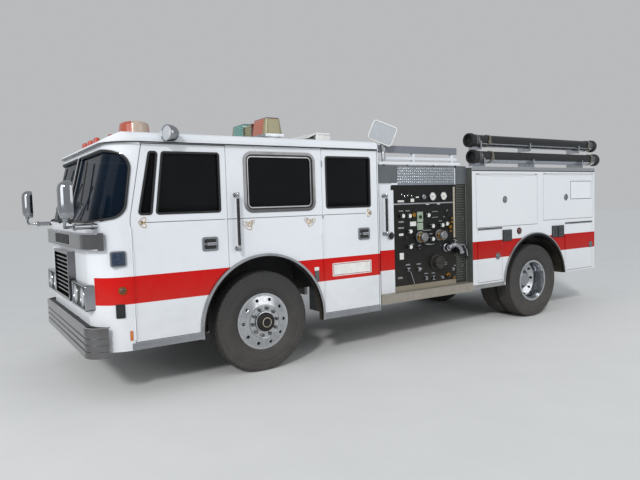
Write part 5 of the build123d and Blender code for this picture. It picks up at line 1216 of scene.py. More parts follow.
fitting("spotlight_shell", chrome, turned(SPOT, SPOT_AIM, SPOT_SHELL, 40))
fitting("spotlight_lens", clear_lens, turned(SPOT, SPOT_AIM, SPOT_LENS, 40))
fitting("spotlight_bracket", cast_aluminium, spotlight_bracket)
FLOOD = Vector((0.405, 1.010, 2.605))
FLOOD_AIM = Vector((0.45, 0.88, -0.12)).normalized()
FLOOD_LEVEL = Vector((-0.88, 0.45, 0.0)).normalized()
FLOOD_ROLL = math.radians(22)
FLOOD_ACROSS = FLOOD_LEVEL * math.cos(FLOOD_ROLL) - FLOOD_AIM.cross(FLOOD_LEVEL) * math.sin(FLOOD_ROLL)
FLOOD_UP = FLOOD_AIM.cross(FLOOD_ACROSS)
# The head's outline at stations along its aim, as (inset, depth)
FLOOD_HEAD = (
    (0.060, -0.190), (0.040, -0.186), (0.030, -0.174), (0.010, -0.050), (0.009, -0.044), (0.000, -0.040),
    (0.0, -0.002), (0.004, 0.0), (0.012, -0.001), (0.016, -0.014),
)
FLOOD_GLASS = ((0.015, -0.012), (0.015, -0.007))


def flood_loops(stations):
    """The floodlight's outline at each station."""
    loops = []
    for inset, depth in stations:
        a, b = 0.160 - inset, 0.125 - inset
        loop = rounded(oblong(-a, -b, a, b), max(0.008, 0.040 - inset))
        loops.append([FLOOD + FLOOD_ACROSS * u + FLOOD_UP * v + FLOOD_AIM * depth for u, v in loop])
    return loops


def flood_head(shape):
    """The moulded head, with five cooling ribs across its top."""
    add_loft(shape, flood_loops(FLOOD_HEAD))
    for step in range(5):
        a = FLOOD + FLOOD_AIM * (-0.150 + 0.022 * step)
        ends = [a + FLOOD_UP * 0.104 - FLOOD_ACROSS * 0.09, a + FLOOD_UP * 0.104 + FLOOD_ACROSS * 0.09]
        add_tube(shape, ends, 0.005, 6)


def flood_pole(shape):
    """A bent pole in a flanged foot, with a clamp."""
    foot = Vector((FLOOD.x, FLOOD.y, 2.200))
    top = FLOOD - FLOOD_AIM * 0.09 - Vector((0, 0, 0.118))
    add_turned(shape, foot, UP, ((0.045, 0.0), (0.045, 0.010), (0.028, 0.014)), 24)
    add_tube(shape, [foot, Vector((FLOOD.x, FLOOD.y, 2.42)), top, top + Vector((0, 0, 0.04))], 0.022, 12)
    add_turned(shape, (FLOOD.x, FLOOD.y, 2.385), UP, ((0.030, 0.0), (0.030, 0.040), (0.026, 0.044)), 20)


fitting("floodlight_head", white_plastic, flood_head)
fitting("floodlight_glass", clear_lens, lambda shape: add_loft(shape, flood_loops(FLOOD_GLASS)))
fitting("floodlight_pole", stainless, flood_pole)

# Drip line round the roof's base
def roof_drip(shape):
    side = [(CAB_REAR + 0.02, SIDE_Y + 0.016, 2.374)]
    for step in range(13):
        spot = skin(step * 7.5, ROOF_Z, 0.030)
        side.append((spot.x, spot.y, 2.374))
    side.append((side[-1][0], 0.02, 2.374))
    add_tube(shape, side, 0.006, 8)


on_both_sides("roof_drip", "body", seal_rubber, roof_drip)

# Lamps, inlet and trim at the cab's front corner
ROUND_LAMP_TURN, ROUND_LAMP_Z = 11.3, 1.027
CORNER_BEZEL = ((0.037, -0.004), (0.037, 0.006), (0.034, 0.010), (0.029, 0.010), (0.027, 0.006))
CORNER_DOME = ((0.028, 0.0), (0.028, 0.008), (0.022, 0.013), (0.010, 0.016), (0.0, 0.0165))
INLET_TURN, INLET_Z = 16.0, 0.840
BLUE_LAMP = oblong(at(1.422), 1.254, at(1.549), 1.382)
MARKER_X = 1.566


def away_from(turn):
    """The way out of the round corner at an angle."""
    return Vector((math.sin(math.radians(turn)), math.cos(math.radians(turn)), 0.0))


def corner_lamp(shape):
    """A domed square lens."""
    loops = []
    for inset, depth in ((0.004, 0.0), (0.004, 0.012), (0.008, 0.019), (0.016, 0.023), (0.030, 0.025)):
        loop = rounded(moved_out(BLUE_LAMP, -inset), max(0.004, 0.014 - inset / 2))
        loops.append([Vector((x, SIDE_Y + depth, z)) for x, z in loop])
    add_loft(shape, loops)


def corner_inlet(shape):
    """An air inlet: two plates on the round corner, held by a screw at each end."""
    spot, away = skin(INLET_TURN, INLET_Z), away_from(INLET_TURN)
    along = Vector((away.y, -away.x, 0.0))

    def place(a, b, depth):
        return spot + along * a + Vector((0, 0, b)) + away * depth

    add_plate(shape, rounded(oblong(-0.040, -0.064, 0.040, 0.064), 0.008), place, -0.012, 0.007)
    add_plate(shape, rounded(oblong(-0.030, -0.044, 0.030, 0.044), 0.006), place, 0.006, 0.013)
    for b in (-0.054, 0.054):
        axis = place(0, 0, 1.0) - place(0, 0, 0.0)
        add_turned(shape, place(0.0, b, 0.006), axis, ((0.005, 0.0), (0.005, 0.003), (0.003, 0.005)), 10)


def sill_strips(shape):
    """Bright strips with a raised line, ahead of and behind the front wheel's arch."""
    for x0, x1 in ((at(0.732), at(1.394)), (at(-1.538), at(-0.732))):
        add_box(shape, (x0, SIDE_Y - 0.001, 0.469), (x1, SIDE_Y + 0.004, 0.532), 0.002)
        add_box(shape, (x0, SIDE_Y + 0.003, 0.496), (x1, SIDE_Y + 0.006, 0.506), 0.001)


on_both_sides(
    "corner_lamp_bezel", "body", chrome,
    side_plate(
        rounded(moved_out(BLUE_LAMP, 0.008), 0.022), SIDE_Y - 0.005, SIDE_Y + 0.012,
        rounded(moved_out(BLUE_LAMP, -0.004), 0.014),
    ),
)
on_both_sides("corner_lamp", "body", blue_lens, corner_lamp)
for lamp_name, glass, slot, profile in (
    ("round_corner_lamp_bezel", brass, "chrome", CORNER_BEZEL),
    ("round_corner_lamp", dark_amber, "lens_plastic", CORNER_DOME),
):
    on_both_sides(
        lamp_name, "body", glass,
        turned(skin(ROUND_LAMP_TURN, ROUND_LAMP_Z), away_from(ROUND_LAMP_TURN), profile, 32),
    )
on_both_sides("corner_inlet", "body", seal_rubber, corner_inlet)
on_both_sides("cab_sill_strip", "body", chrome, sill_strips)
for trim_name, finish, slot, low, high, bevel in (
    (
        "corner_reflector", amber_lens, "lens_plastic",
        (at(1.385), SIDE_Y - 0.002, 0.560), (at(1.412), SIDE_Y + 0.006, 0.650), 0.003,
    ),
    (
        "body_sill_strip", stainless, "chrome",
        (BODY_FRONT - 0.640, SIDE_Y - 0.001, 0.541), (BODY_FRONT - 0.002, SIDE_Y + 0.003, 0.598), 0.001,
    ),
    (
        "side_marker_shield", white_plastic, "white_paint",
        (MARKER_X - 0.030, SIDE_Y - 0.001, 1.024), (MARKER_X + 0.030, SIDE_Y + 0.010, 1.064), 0.004,
    ),
    (
        "side_marker", grey_lens, "lens_plastic",
        (MARKER_X - 0.028, SIDE_Y - 0.001, 0.904), (MARKER_X + 0.028, SIDE_Y + 0.012, 1.022), 0.008,
    ),
):
    on_both_sides(trim_name, "body", finish, box_piece(low, high, bevel))

# Grab rails: ribbed rubber grips between chrome feet
RAIL_REACH = 0.060
# Each rail's x, the face it stands on, its ends and the ends of its grip
RAILS = (
    (at(0.310), SIDE_Y, 1.310, 1.900, 1.37, 1.84),
    (PUMP_FRONT - 0.110, COLUMN_Y, 1.350, 1.860, 1.41, 1.80),
)
SLEEVE = ((0.016, 0.0), (0.018, 0.004), (0.018, 0.036), (0.016, 0.040))


def rail_foot(shape, foot, axis, length):
    """A flanged foot, and the sleeve that holds the rail's end."""
    add_turned(shape, foot, axis, ((0.026, 0.0), (0.026, 0.004), (0.014, 0.008), (0.0125, length)), 24)
    x, y, z = [start + RAIL_REACH * way for start, way in zip(foot, axis)]
    add_turned(shape, (x, y, z - 0.020), UP, SLEEVE, 20)


def rail_grips(shape):
    """Grips with a raised rib every 18 mm."""
    for x, face, _, _, low, high in RAILS:
        profile = [(0.0145, 0.0)]
        count = int((high - low) / 0.018)
        for step in range(count):
            z = (step + 0.5) * (high - low) / count
            profile += [(0.0160, z - 0.006), (0.0160, z + 0.004), (0.0145, z + 0.006)]
        profile.append((0.0145, high - low))
        add_turned(shape, (x, face + RAIL_REACH, low), UP, profile, 20)


def rail_feet(shape):
    for x, face, z0, z1, _, _ in RAILS:
        for z in (z0 + 0.025, z1 - 0.025):
            rail_foot(shape, (x, face, z), OUT, 0.030)


def rear_rail_feet(shape):
    for z in (1.025, 1.875):
        rail_foot(shape, (BODY_REAR, 0.960, z), BACK, 0.034)


on_both_sides("rail_grips", "body", seal_rubber, rail_grips)
on_both_sides("rail_feet", "body", chrome, rail_feet)
on_both_sides("rear_rail_feet", "body", chrome, rear_rail_feet)

# The pump panel, on each side: each fitting stands for the plain solid behind it
GAUGES = ((-0.324, 1.814, 0.058), (-0.521, 1.816, 0.058))
SMALL_GAUGES = ((-0.171, 1.811, 0.034), (-0.082, 1.177, 0.030))
INDICATORS = ((0.191, 1.846), (0.141, 1.821), (0.090, 1.835), (0.026, 1.824))
OUTLETS = ((-0.099, 1.300), (-0.437, 1.307))
SOCKETS = ((0.012, 1.587, 0.030), (-0.631, 1.406, 0.026), (-0.581, 0.766, 0.034), (-0.688, 0.722, 0.018))
KNOBS = ((-0.107, 1.556, 0.022), (-0.185, 1.575, 0.012), (0.141, 1.300, 0.016), (-0.600, 1.560, 0.014))
# Drain valves, as (x, z, radius, reach)
DRAINS = (
    (0.114, 0.899, 0.026, 0.034), (-0.068, 0.888, 0.028, 0.040), (-0.322, 0.755, 0.030, 0.030),
    (-0.192, 0.762, 0.026, 0.026), (-0.474, 0.745, 0.020, 0.028), (-0.535, 0.928, 0.022, 0.024),
    (-0.677, 0.840, 0.022, 0.026), (-0.523, 1.543, 0.010, 0.016),
)
INLET = (-0.374, 0.956)
INLET_CAP_RADIUS = 0.084
COUPLING = (-0.842, 1.093)


def on_panel(shape, x, z, profile, steps=24):
    """A form turned about an axis out of the panel. profile is (radius, height off the panel)."""
    add_turned(shape, (x, PANEL_Y, z), OUT, profile, steps)


def panel_tube(shape, points, radius, sides):
    """A tube through points given as (x, distance off the panel, z)."""
    add_tube(shape, [(x, PANEL_Y + off, z) for x, off, z in points], radius, sides)


def gauge_bezels(shape):
    """Rolled rims round the gauges and the indicator lamps."""
    for x, z, r in GAUGES + SMALL_GAUGES:
        rim = ((r, -0.002), (r, 0.012), (r - 0.003, 0.018), (r - 0.008, 0.020), (r - 0.011, 0.015))
        on_panel(shape, x, z, rim, 40)
    for x, z in INDICATORS:
        on_panel(shape, x, z, ((0.016, 0.0), (0.016, 0.004), (0.013, 0.007), (0.010, 0.007)), 20)


def gauge_faces(shape):
    for x, z, radius in GAUGES:
        on_panel(shape, x, z, ((radius - 0.010, 0.0), (radius - 0.010, 0.0155)), 40)


def gauge_marks(shape):
    """Plain ticks round the dial, a needle and its boss."""
    for x, z, radius in GAUGES:
        for step in range(21):
            angle = math.radians(225 - 13.5 * step)
            long = 0.009 if step % 5 == 0 else 0.005
            way = Vector((-math.cos(angle), 0, math.sin(angle)))
            start = Vector((x, PANEL_Y + 0.0158, z)) + way * (radius - 0.013)
            add_tube(shape, [start, start - way * long], 0.0011, 4)
        way = Vector((-math.cos(math.radians(200)), 0, math.sin(math.radians(200))))
        middle = Vector((x, PANEL_Y + 0.017, z))
        add_tube(shape, [middle - way * 0.012, middle + way * (radius - 0.020)], 0.0014, 4)
        on_panel(shape, x, z, ((0.006, 0.015), (0.006, 0.019), (0.0, 0.0195)), 16)
    for x, z, radius in SMALL_GAUGES:
        on_panel(shape, x, z, ((radius - 0.010, 0.0), (radius - 0.010, 0.0145)), 24)


PULLS = (
    (0.213, 1.580), (0.103, 1.576), (-0.219, 1.574), (-0.294, 1.432), (-0.465, 1.436), (-0.547, 1.451),
    (0.095, 1.381), (-0.290, 1.265), (0.097, 1.187),
)
PULL_STEM = ((0.020, 0.0), (0.020, 0.006), (0.014, 0.009), (0.009, 0.010), (0.009, 0.030))
PULL_GRIP = ((0.010, 0.028), (0.026, 0.030), (0.031, 0.035), (0.031, 0.043), (0.026, 0.048), (0.012, 0.048))
PULL_CAP = ((0.024, 0.046), (0.024, 0.0495), (0.010, 0.0500), (0.008, 0.0485), (0.0, 0.0485))


def pull_handles(shape):
    """Push-pull handles: a stem in a bushing and a round grip."""
    for x, z in PULLS:
        on_panel(shape, x, z, PULL_STEM, 20)
        on_panel(shape, x, z, PULL_GRIP, 28)


def pull_caps(shape):
    for x, z in PULLS:
        on_panel(shape, x, z, PULL_CAP, 28)


# Blank labels, as (x, z, width, height)
WHITE_LABELS = (
    (0.212, 1.752, 0.105, 0.044), (0.020, 1.762, 0.057, 0.058), (-0.240, 1.716, 0.060, 0.016),
    (-0.437, 1.716, 0.055, 0.016), (0.015, 1.473, 0.102, 0.056), (0.215, 1.075, 0.066, 0.082),
    (-0.065, 1.808, 0.050, 0.016), (0.123, 1.735, 0.040, 0.018), (0.217, 1.346, 0.070, 0.030),
)
GREY_LABELS = (
    (0.213, 1.505, 0.090, 0.020), (0.218, 1.429, 0.095, 0.020), (-0.221, 1.381, 0.150, 0.010),
    (-0.369, 1.616, 0.110, 0.008), (-0.369, 1.542, 0.110, 0.008), (0.035, 1.215, 0.060, 0.012),
    (0.247, 0.805, 0.075, 0.024), (-0.721, 0.882, 0.030, 0.014), (0.103, 1.640, 0.070, 0.014),
    (0.213, 1.640, 0.070, 0.014), (-0.465, 1.490, 0.060, 0.012), (-0.290, 1.330, 0.055, 0.012),
    (0.114, 0.960, 0.070, 0.016), (-0.068, 0.955, 0.070, 0.016), (-0.322, 0.815, 0.060, 0.012),
    (-0.192, 0.822, 0.060, 0.012),
)
GREEN_PLATES = ((-0.107, 1.556, 0.100, 0.130), (-0.105, 1.435, 0.100, 0.090))
LABEL_THICKNESS = 0.0025
LABEL_SCREW = ((0.003, 0.002), (0.003, 0.0035), (0.0, 0.0045))


def labels(rows):
    """A builder for labels, with a screw at each end of those that are wide enough."""
    def build(shape):
        for x, z, width, height in rows:
            low = (x - width / 2, PANEL_Y - 0.001, z - height / 2)
            high = (x + width / 2, PANEL_Y + LABEL_THICKNESS, z + height / 2)
            add_box(shape, low, high, 0.001)
            for end in (-1, 1) if width > 0.05 else ():
                on_panel(shape, x + end * (width / 2 - 0.006), z, LABEL_SCREW, 8)

    return build


def capped_outlet(shape, x, z, flange, radius, reach, lugs):
    """A flange, a neck and a screwed cap with rocker lugs."""
    neck = radius - 0.008
    profile = (
        (flange, -0.002), (flange, 0.012), (flange - 0.006, 0.015), (neck, 0.016), (neck, 0.050),
        (radius - 0.002, 0.052), (radius, 0.056), (radius, reach - 0.010), (radius - 0.005, reach - 0.003),
        (radius * 0.72, reach), (radius * 0.68, reach - 0.004), (0.0, reach - 0.004),
    )
    on_panel(shape, x, z, profile, 40)
    for step in range(lugs):
        angle = 2 * math.pi * (step + 0.25) / lugs
        away = Vector((math.cos(angle), 0, math.sin(angle)))
        root = Vector((x, PANEL_Y + reach - 0.030, z)) + away * (radius - 0.004)
        add_tube(shape, [root, root + away * 0.012, root + away * 0.017], 0.010, 8, False, 0.6)


def outlets(shape):
    for x, z in OUTLETS:
        capped_outlet(shape, x, z, 0.072, 0.058, 0.108, 3)


def outlet_collars(shape):
    """A brass collar on each outlet, and the chain that holds its cap."""
    for x, z in OUTLETS:
        on_panel(shape, x, z, ((0.060, 0.045), (0.062, 0.047), (0.062, 0.053), (0.060, 0.055)), 40)
        panel_tube(shape, (
            (x + 0.050, 0.010, z + 0.030), (x + 0.070, 0.035, z - 0.010), (x + 0.045, 0.060, z - 0.050),
            (x + 0.010, 0.100, z - 0.058),
        ), 0.0035, 6)


def brass_fittings(shape):
    """Open brass sockets, and small valves with a cross handle."""
    for x, z, r in SOCKETS:
        rim = ((r, 0.0), (r, 0.020), (r - 0.004, 0.026), (r * 0.62, 0.026), (r * 0.55, 0.018), (0.0, 0.018))
        on_panel(shape, x, z, rim, 28)
    for x, z in ((-0.655, 1.518), (-0.630, 1.350), (-0.600, 1.460), (-0.655, 1.470)):
        on_panel(shape, x, z, ((0.010, 0.0), (0.010, 0.018), (0.014, 0.020), (0.014, 0.028), (0.0, 0.030)), 6)
        panel_tube(shape, ((x - 0.018, 0.024, z + 0.004), (x + 0.018, 0.024, z - 0.004)), 0.005, 8)


def chrome_fittings(shape):
    """Drain valves with round knobs, and the levers, the hand rail and the hook between them."""
    for x, z, r, reach in DRAINS:
        on_panel(shape, x, z, (
            (r, 0.0), (r, 0.006), (r * 0.55, 0.009), (r * 0.55, reach * 0.6), (r * 0.9, reach * 0.66),
            (r * 0.9, reach * 0.92), (r * 0.6, reach), (0.0, reach),
        ), 24)
    panel_tube(shape, ((0.114, 0.034, 0.905), (0.094, 0.040, 0.84), (0.040, 0.038, 0.700)), 0.0065, 10)
    panel_tube(shape, ((-0.040, 0.034, 0.888), (-0.068, 0.042, 0.888), (-0.098, 0.034, 0.888)), 0.007, 8)
    panel_tube(shape, (
        (-0.156, 0.0, 1.212), (-0.165, 0.040, 1.206), (-0.235, 0.052, 1.198), (-0.302, 0.040, 1.202),
        (-0.311, 0.0, 1.208),
    ), 0.008, 10)
    panel_tube(shape, ((-0.550, 0.0, 1.600), (-0.548, 0.03, 1.612), (-0.556, 0.04, 1.635)), 0.007, 8)


def dark_fittings(shape):
    """Black knobs, the indicator lamps and the large capped inlet."""
    for x, z, r in KNOBS:
        on_panel(shape, x, z, ((r, 0.0), (r, 0.014), (r - 0.004, 0.018), (0.0, 0.018)), 20)
    for x, z in INDICATORS:
        on_panel(shape, x, z, ((0.010, 0.004), (0.008, 0.011), (0.004, 0.013), (0.0, 0.0135)), 14)
    inlet_x, inlet_z = INLET
    capped_outlet(shape, inlet_x, inlet_z, 0.102, INLET_CAP_RADIUS, 0.094, 2)
    # Ribs on the large cap, and its long handles
    for step in range(16):
        angle = math.pi * step / 8
        x, z = inlet_x + INLET_CAP_RADIUS * math.cos(angle), inlet_z + INLET_CAP_RADIUS * math.sin(angle)
        spot = Vector((x, PANEL_Y + 0.062, z))
        add_tube(shape, [spot, spot + Vector((0, 0.022, 0))], 0.003, 6)
    for way in (-1, 1):
        handle = ((inlet_x, 0.095, inlet_z), (inlet_x + way * 0.11, 0.092, inlet_z + way * 0.02))
        panel_tube(shape, handle, 0.010, 10)


def elbow_valve(shape):
    """A polished elbow valve that curls down at the panel's rear edge, with its handwheel and lever."""
    flange = ((0.055, 0.0), (0.055, 0.012), (0.044, 0.018), (0.042, 0.060), (0.0, 0.062))
    on_panel(shape, -0.560, 1.135, flange, 32)
    panel_tube(shape, (
        (-0.560, 0.045, 1.135), (-0.600, 0.062, 1.160), (-0.655, 0.070, 1.172), (-0.715, 0.072, 1.150),
        (-0.760, 0.070, 1.105), (-0.782, 0.068, 1.050),
    ), 0.034, 20)
    collar = ((0.041, 0.0), (0.043, 0.004), (0.043, 0.022), (0.041, 0.026))
    for x, z, turn in ((-0.600, 1.160, 0.35), (-0.776, 1.062, -1.3)):
        way = Vector((-math.cos(turn), 0, math.sin(turn)))
        add_turned(shape, Vector((x, PANEL_Y + 0.066, z)) - way * 0.012, way, collar, 24)
    panel_tube(shape, ((-0.655, 0.075, 1.195), (-0.655, 0.078, 1.222)), 0.010, 12)
    add_turned(shape, (-0.655, PANEL_Y + 0.078, 1.222), (0, 0.2, 1), (
        (0.010, 0.0), (0.032, 0.004), (0.036, 0.009), (0.032, 0.014), (0.008, 0.014), (0.006, 0.020),
        (0.0, 0.021),
    ), 28)
    panel_tube(shape, ((-0.700, 0.080, 1.180), (-0.790, 0.095, 1.165), (-0.850, 0.092, 1.095)), 0.008, 10)
    panel_tube(shape, ((-0.850, 0.092, 1.095), (-0.875, 0.085, 1.010)), 0.012, 10)


def side_coupling(shape):
    """The black capped outlet on the sheet behind the panel."""
    on_panel(shape, *COUPLING, (
        (0.074, 0.0), (0.074, 0.012), (0.062, 0.016), (0.062, 0.040), (0.066, 0.042), (0.066, 0.062),
        (0.060, 0.068), (0.046, 0.070), (0.042, 0.060), (0.0, 0.060),
    ), 40)


def side_coupling_bail(shape):
    """The bail round the coupling's cap, a hook above it and two studs below."""
    arc = []
    for step in range(11):
        angle = math.radians(20 + 14 * step)
        arc.append((COUPLING[0] + 0.070 * math.cos(angle), 0.052, COUPLING[1] + 0.070 * math.sin(angle)))
    panel_tube(shape, arc, 0.005, 8)
    panel_tube(shape, ((-0.872, 0.003, 1.485), (-0.872, 0.020, 1.50), (-0.872, 0.020, 1.525)), 0.006, 8)
    for x, z in ((-0.872, 0.875), (-0.842, 0.862)):
        on_panel(shape, x, z, ((0.015, 0.0), (0.015, 0.018), (0.011, 0.024), (0.0, 0.025)), 16)


for fitting_name, finish, slot, build in (
    ("gauge_bezels", chrome, "chrome", gauge_bezels),
    ("gauge_faces", label_white, "white_paint", gauge_faces),
    ("gauge_marks", seal_rubber, "black_panel", gauge_marks),
    ("pull_handles", chrome, "chrome", pull_handles),
    ("pull_caps", label_white, "white_paint", pull_caps),
    ("capped_outlets", cast_aluminium, "cast_fittings", outlets),
    ("outlet_collars", brass, "cast_fittings", outlet_collars),
    ("brass_fittings", brass, "cast_fittings", brass_fittings),
    ("chrome_fittings", chrome, "chrome", chrome_fittings),
    ("dark_fittings", frame_enamel, "cast_fittings", dark_fittings),
    ("elbow_valve", chrome, "chrome", elbow_valve),
):
    for made in on_both_sides(fitting_name, "body", finish, build):
        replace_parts(made, "pump_fittings")
on_both_sides("side_coupling", "body", frame_enamel, side_coupling)
on_both_sides("side_coupling_bail", "body", chrome, side_coupling_bail)
on_both_sides("white_labels", "body", label_white, labels(WHITE_LABELS))
on_both_sides("grey_labels", "body", label_grey, labels(GREY_LABELS))
on_both_sides("green_plates", "body", label_green, labels(GREEN_PLATES))
on_both_sides(
    "panel_shelf_edge", "body", aluminium,
    box_piece((-0.700, PANEL_Y, 1.720), (0.374, PANEL_Y + 0.012, 1.736)),
)
on_both_sides(
    "panel_edge_angle", "body", reflection_tinted_trim,
    box_piece((-0.727, PANEL_Y, 1.259), (-0.700, PANEL_Y + 0.012, 1.935)),
)


def panel_screws(shape):
    for z in (0.735, 1.02, 1.60, 1.90):
        for x in (0.350, -0.725):
            on_panel(shape, x, z, ((0.006, 0.0), (0.006, 0.002), (0.003, 0.004), (0.0, 0.004)), 10)


on_both_sides("panel_screws", "body", stainless, panel_screws)


# The column ahead of the panel has a round latch
LATCH_X = 0.428
LATCH_Z = 1.345
LATCH_RIM = ((0.050, 0.0), (0.050, 0.007), (0.046, 0.010), (0.040, 0.010), (0.038, 0.0))


def column_latch(shape):
    """The latch's dark dish and its upright bar."""
    dish = ((0.039, -0.004), (0.039, -0.001), (0.0, -0.0005))
    add_turned(shape, (LATCH_X, COLUMN_Y + 0.003, LATCH_Z), OUT, dish, 28)
    low = (LATCH_X - 0.006, COLUMN_Y, LATCH_Z - 0.034)
    high = (LATCH_X + 0.006, COLUMN_Y + 0.008, LATCH_Z + 0.034)
    add_box(shape, low, high, 0.002)


on_both_sides(
    "column_latch_ring", "body", chrome,
    turned((LATCH_X, COLUMN_Y - 0.002, LATCH_Z), OUT, LATCH_RIM, 32, True),
)
on_both_sides("column_latch", "body", seal_rubber, column_latch)

# Treadplate sheets with raised lugs in two directions: round the panel, on the tailboard and at the rear
LUG_LENGTH = 0.013
LUG_WIDTH = 0.0048
LUG_HEIGHT = 0.0016
LUG_LEANS = (0.7854, -0.7854)
SIDE_PITCH = 0.034
AREA_PITCH = 0.036
FACING_UP = Matrix.Rotation(math.radians(90), 3, "X")
FACING_REAR = Matrix.Rotation(math.radians(90), 3, "Z")


def lug(lean):
    """A builder for one lug, a low diamond."""
    way = Vector((math.cos(lean), 0, math.sin(lean)))
    off = Vector((-math.sin(lean), 0, math.cos(lean)))

    def build(form):
        low = [way * LUG_LENGTH, off * LUG_WIDTH, way * -LUG_LENGTH, off * -LUG_WIDTH]
        ring = [form.verts.new(point) for point in low]
        top = [form.verts.new(point * 0.62 + Vector((0, LUG_HEIGHT, 0))) for point in low]
        form.faces.new(top)
        for step in range(4):
            after = (step + 1) % 4
            form.faces.new((ring[step], ring[after], top[after], top[step]))
        form.faces.new(list(reversed(ring)))

    return build


def lug_rows(name, lugs, lean, length, height, pitch, centre, mirrored=False, turn=None):
    """Lugs that all lean one way, over a flat area round a centre."""
    columns, rows = int((length - pitch) / pitch) + 1, int((height - pitch) / pitch) + 1
    repeated(
        name, "body", lugs, lug(lean), row_tree,
        {"Columns": columns, "Rows": rows, "Length": (columns - 1) * pitch, "Height": (rows - 1) * pitch},
        centre, mirrored, 20.0, turn,
    )


def lug_sheet(name, sheet, lugs, x0, x1, z0, z1, face):
    """A sheet 3 mm thick up to a face, and its lugs, on both sides."""
    flat = box_piece((x0, face - 0.003, z0), (x1, face, z1), 0.001)
    on_both_sides(f"{name}_sheet", "body", sheet, flat)
    shift = SIDE_PITCH / 4
    for side, sign in SIDES:
        for index, lean in enumerate(LUG_LEANS):
            centre = ((x0 + x1) / 2 + (shift if index else -shift), face - 0.0002, (z0 + z1) / 2 + shift)
            row_name = f"{name}_lugs_{index}_{side}"
            lug_rows(row_name, lugs, lean, x1 - x0, z1 - z0, SIDE_PITCH, centre, sign < 0)


def lug_area(name, lugs, centre, length, height, turn):
    """Lugs over a flat area that is turned to face up or to the rear."""
    for index, lean in enumerate(LUG_LEANS):
        shift = turn @ Vector((AREA_PITCH / 4, 0, -AREA_PITCH / 4)) * (1 if index else -1)
        middle = Vector(centre) + shift
        lug_rows(f"{name}_{index}", lugs, lean, length, height, AREA_PITCH, middle, False, turn)


lug_sheet("brow_tread", bright_sheet, bright_lug, -0.722, 0.270, 1.962, 2.196, 1.1155)
# The corner's sheet and lugs are darkened with painted shade
lug_sheet("corner_tread", shaded_sheet, shaded_lug, -0.943, -0.748, 0.652, 1.965, 1.1035)
lug_area("tailboard_lugs", step_lug, (-3.985, 0.0, 0.6268), 0.34, 1.86, FACING_UP)
lug_area("rear_panel_lugs", bright_lug, (BODY_REAR - 0.0028, 0.0, 1.160), 1.16, 0.90, FACING_REAR)


def top_bar(shape):
    """The bar along the pump house's upper edge, on its four feet."""
    add_box(shape, (-0.850, 1.050, 2.216), (0.560, 1.100, 2.250), 0.003)
    for x in (0.52, 0.05, -0.40, -0.81):
        add_box(shape, (x - 0.02, 1.056, 2.190), (x + 0.02, 1.094, 2.218), 0.002)


on_both_sides("pump_top_bar", "body", plain_enamel, top_bar)
for sheet_name, finish, slot, low, high, bevel in (
    ("corner_sheet", grey_enamel, "treadplate", (-0.943, 1.095, 1.967), (-0.748, 1.1165, 2.196), 0.001),
    ("column_hood", grey_enamel, "treadplate", (0.274, 1.095, 1.990), (0.590, 1.1185, 2.200), 0.002),
    (
        "body_front_tread", corner_plate, "treadplate",
        (BODY_FRONT - 0.0005, 1.106, 0.622), (BODY_FRONT + 0.002, SIDE_Y - 0.003, 2.186), 0.0005,
    ),
    ("pump_top_shadow_gap", seal_rubber, "black_panel", (-0.940, 1.080, 2.197), (0.590, 1.112, 2.206), 0.001),
):
    on_both_sides(sheet_name, "body", finish, box_piece(low, high, bevel))

# Compartment doors: recessed D-ring latches, an inset panel, and drip rails above the lower doors
LATCHES = (
    ("upper_front", -1.598, 1.745), ("upper_rear", -3.021, 1.753), ("lower_front", -1.441, 0.963),
    ("lower_rear", -3.673, 0.988),
)
LATCH_DISH = ((0.047, 0.0), (0.0485, 0.003), (0.047, 0.0055), (0.042, 0.0055), (0.038, 0.0025), (0.0, 0.0025))


def latch_ring(x, z):
    """A builder for a D-shaped pull ring and its lock."""
    y = SIDE_Y + 0.0125

    def build(shape):
        arc = []
        for step in range(15):
            angle = math.radians(-70 + 20 * step)
            arc.append((x + 0.030 * math.cos(angle), y, z + 0.030 * math.sin(angle)))
        add_tube(shape, arc, 0.0042, 8)
        add_tube(shape, [arc[0], arc[-1]], 0.0042, 8)
        lock = ((0.008, 0.0), (0.008, 0.006), (0.0, 0.0065))
        add_turned(shape, (x + 0.012, y - 0.006, z + 0.002), OUT, lock, 14)

    return build


for door, latch_x, latch_z in LATCHES:
    body, dish = f"door_{door}_{{side}}", turned((latch_x, SIDE_Y + 0.006, latch_z), OUT, LATCH_DISH, 40)
    on_both_sides(f"latch_dish_{door}", body, cast_aluminium, dish)
    on_both_sides(f"latch_ring_{door}", body, chrome, latch_ring(latch_x, latch_z))
INSET = oblong(-3.701, 1.717, -3.150, 1.998)
INSET_EDGE = rounded(moved_out(INSET, -0.008), 0.005, 2)
on_both_sides(
    "inset_panel_line", "door_upper_rear_{side}", seal_rubber,
    side_plate(rounded(INSET, 0.006, 2), SIDE_Y - 0.001, SIDE_Y + 0.0006, INSET_EDGE),
)
on_both_sides(
    "inset_panel", "door_upper_rear_{side}", plain_enamel,
    side_plate(INSET_EDGE, SIDE_Y - 0.001, SIDE_Y + 0.002),
)


def drip_rails(shape):
    for x0, x1 in ((-1.535, -1.045), (-3.725, -3.010)):
        add_box(shape, (x0, SIDE_Y - 0.002, 1.347), (x1, SIDE_Y + 0.010, 1.362), 0.002)


def hinge_knuckles(shape):
    """Piano hinges along the upper doors' top edges."""
    for x0, x1, z in ((-2.325, -1.022, 2.099), (-3.745, -2.475, 2.109)):
        add_tube(shape, [(x0, SIDE_Y + 0.003, z), (x1, SIDE_Y + 0.003, z)], 0.0045, 8)


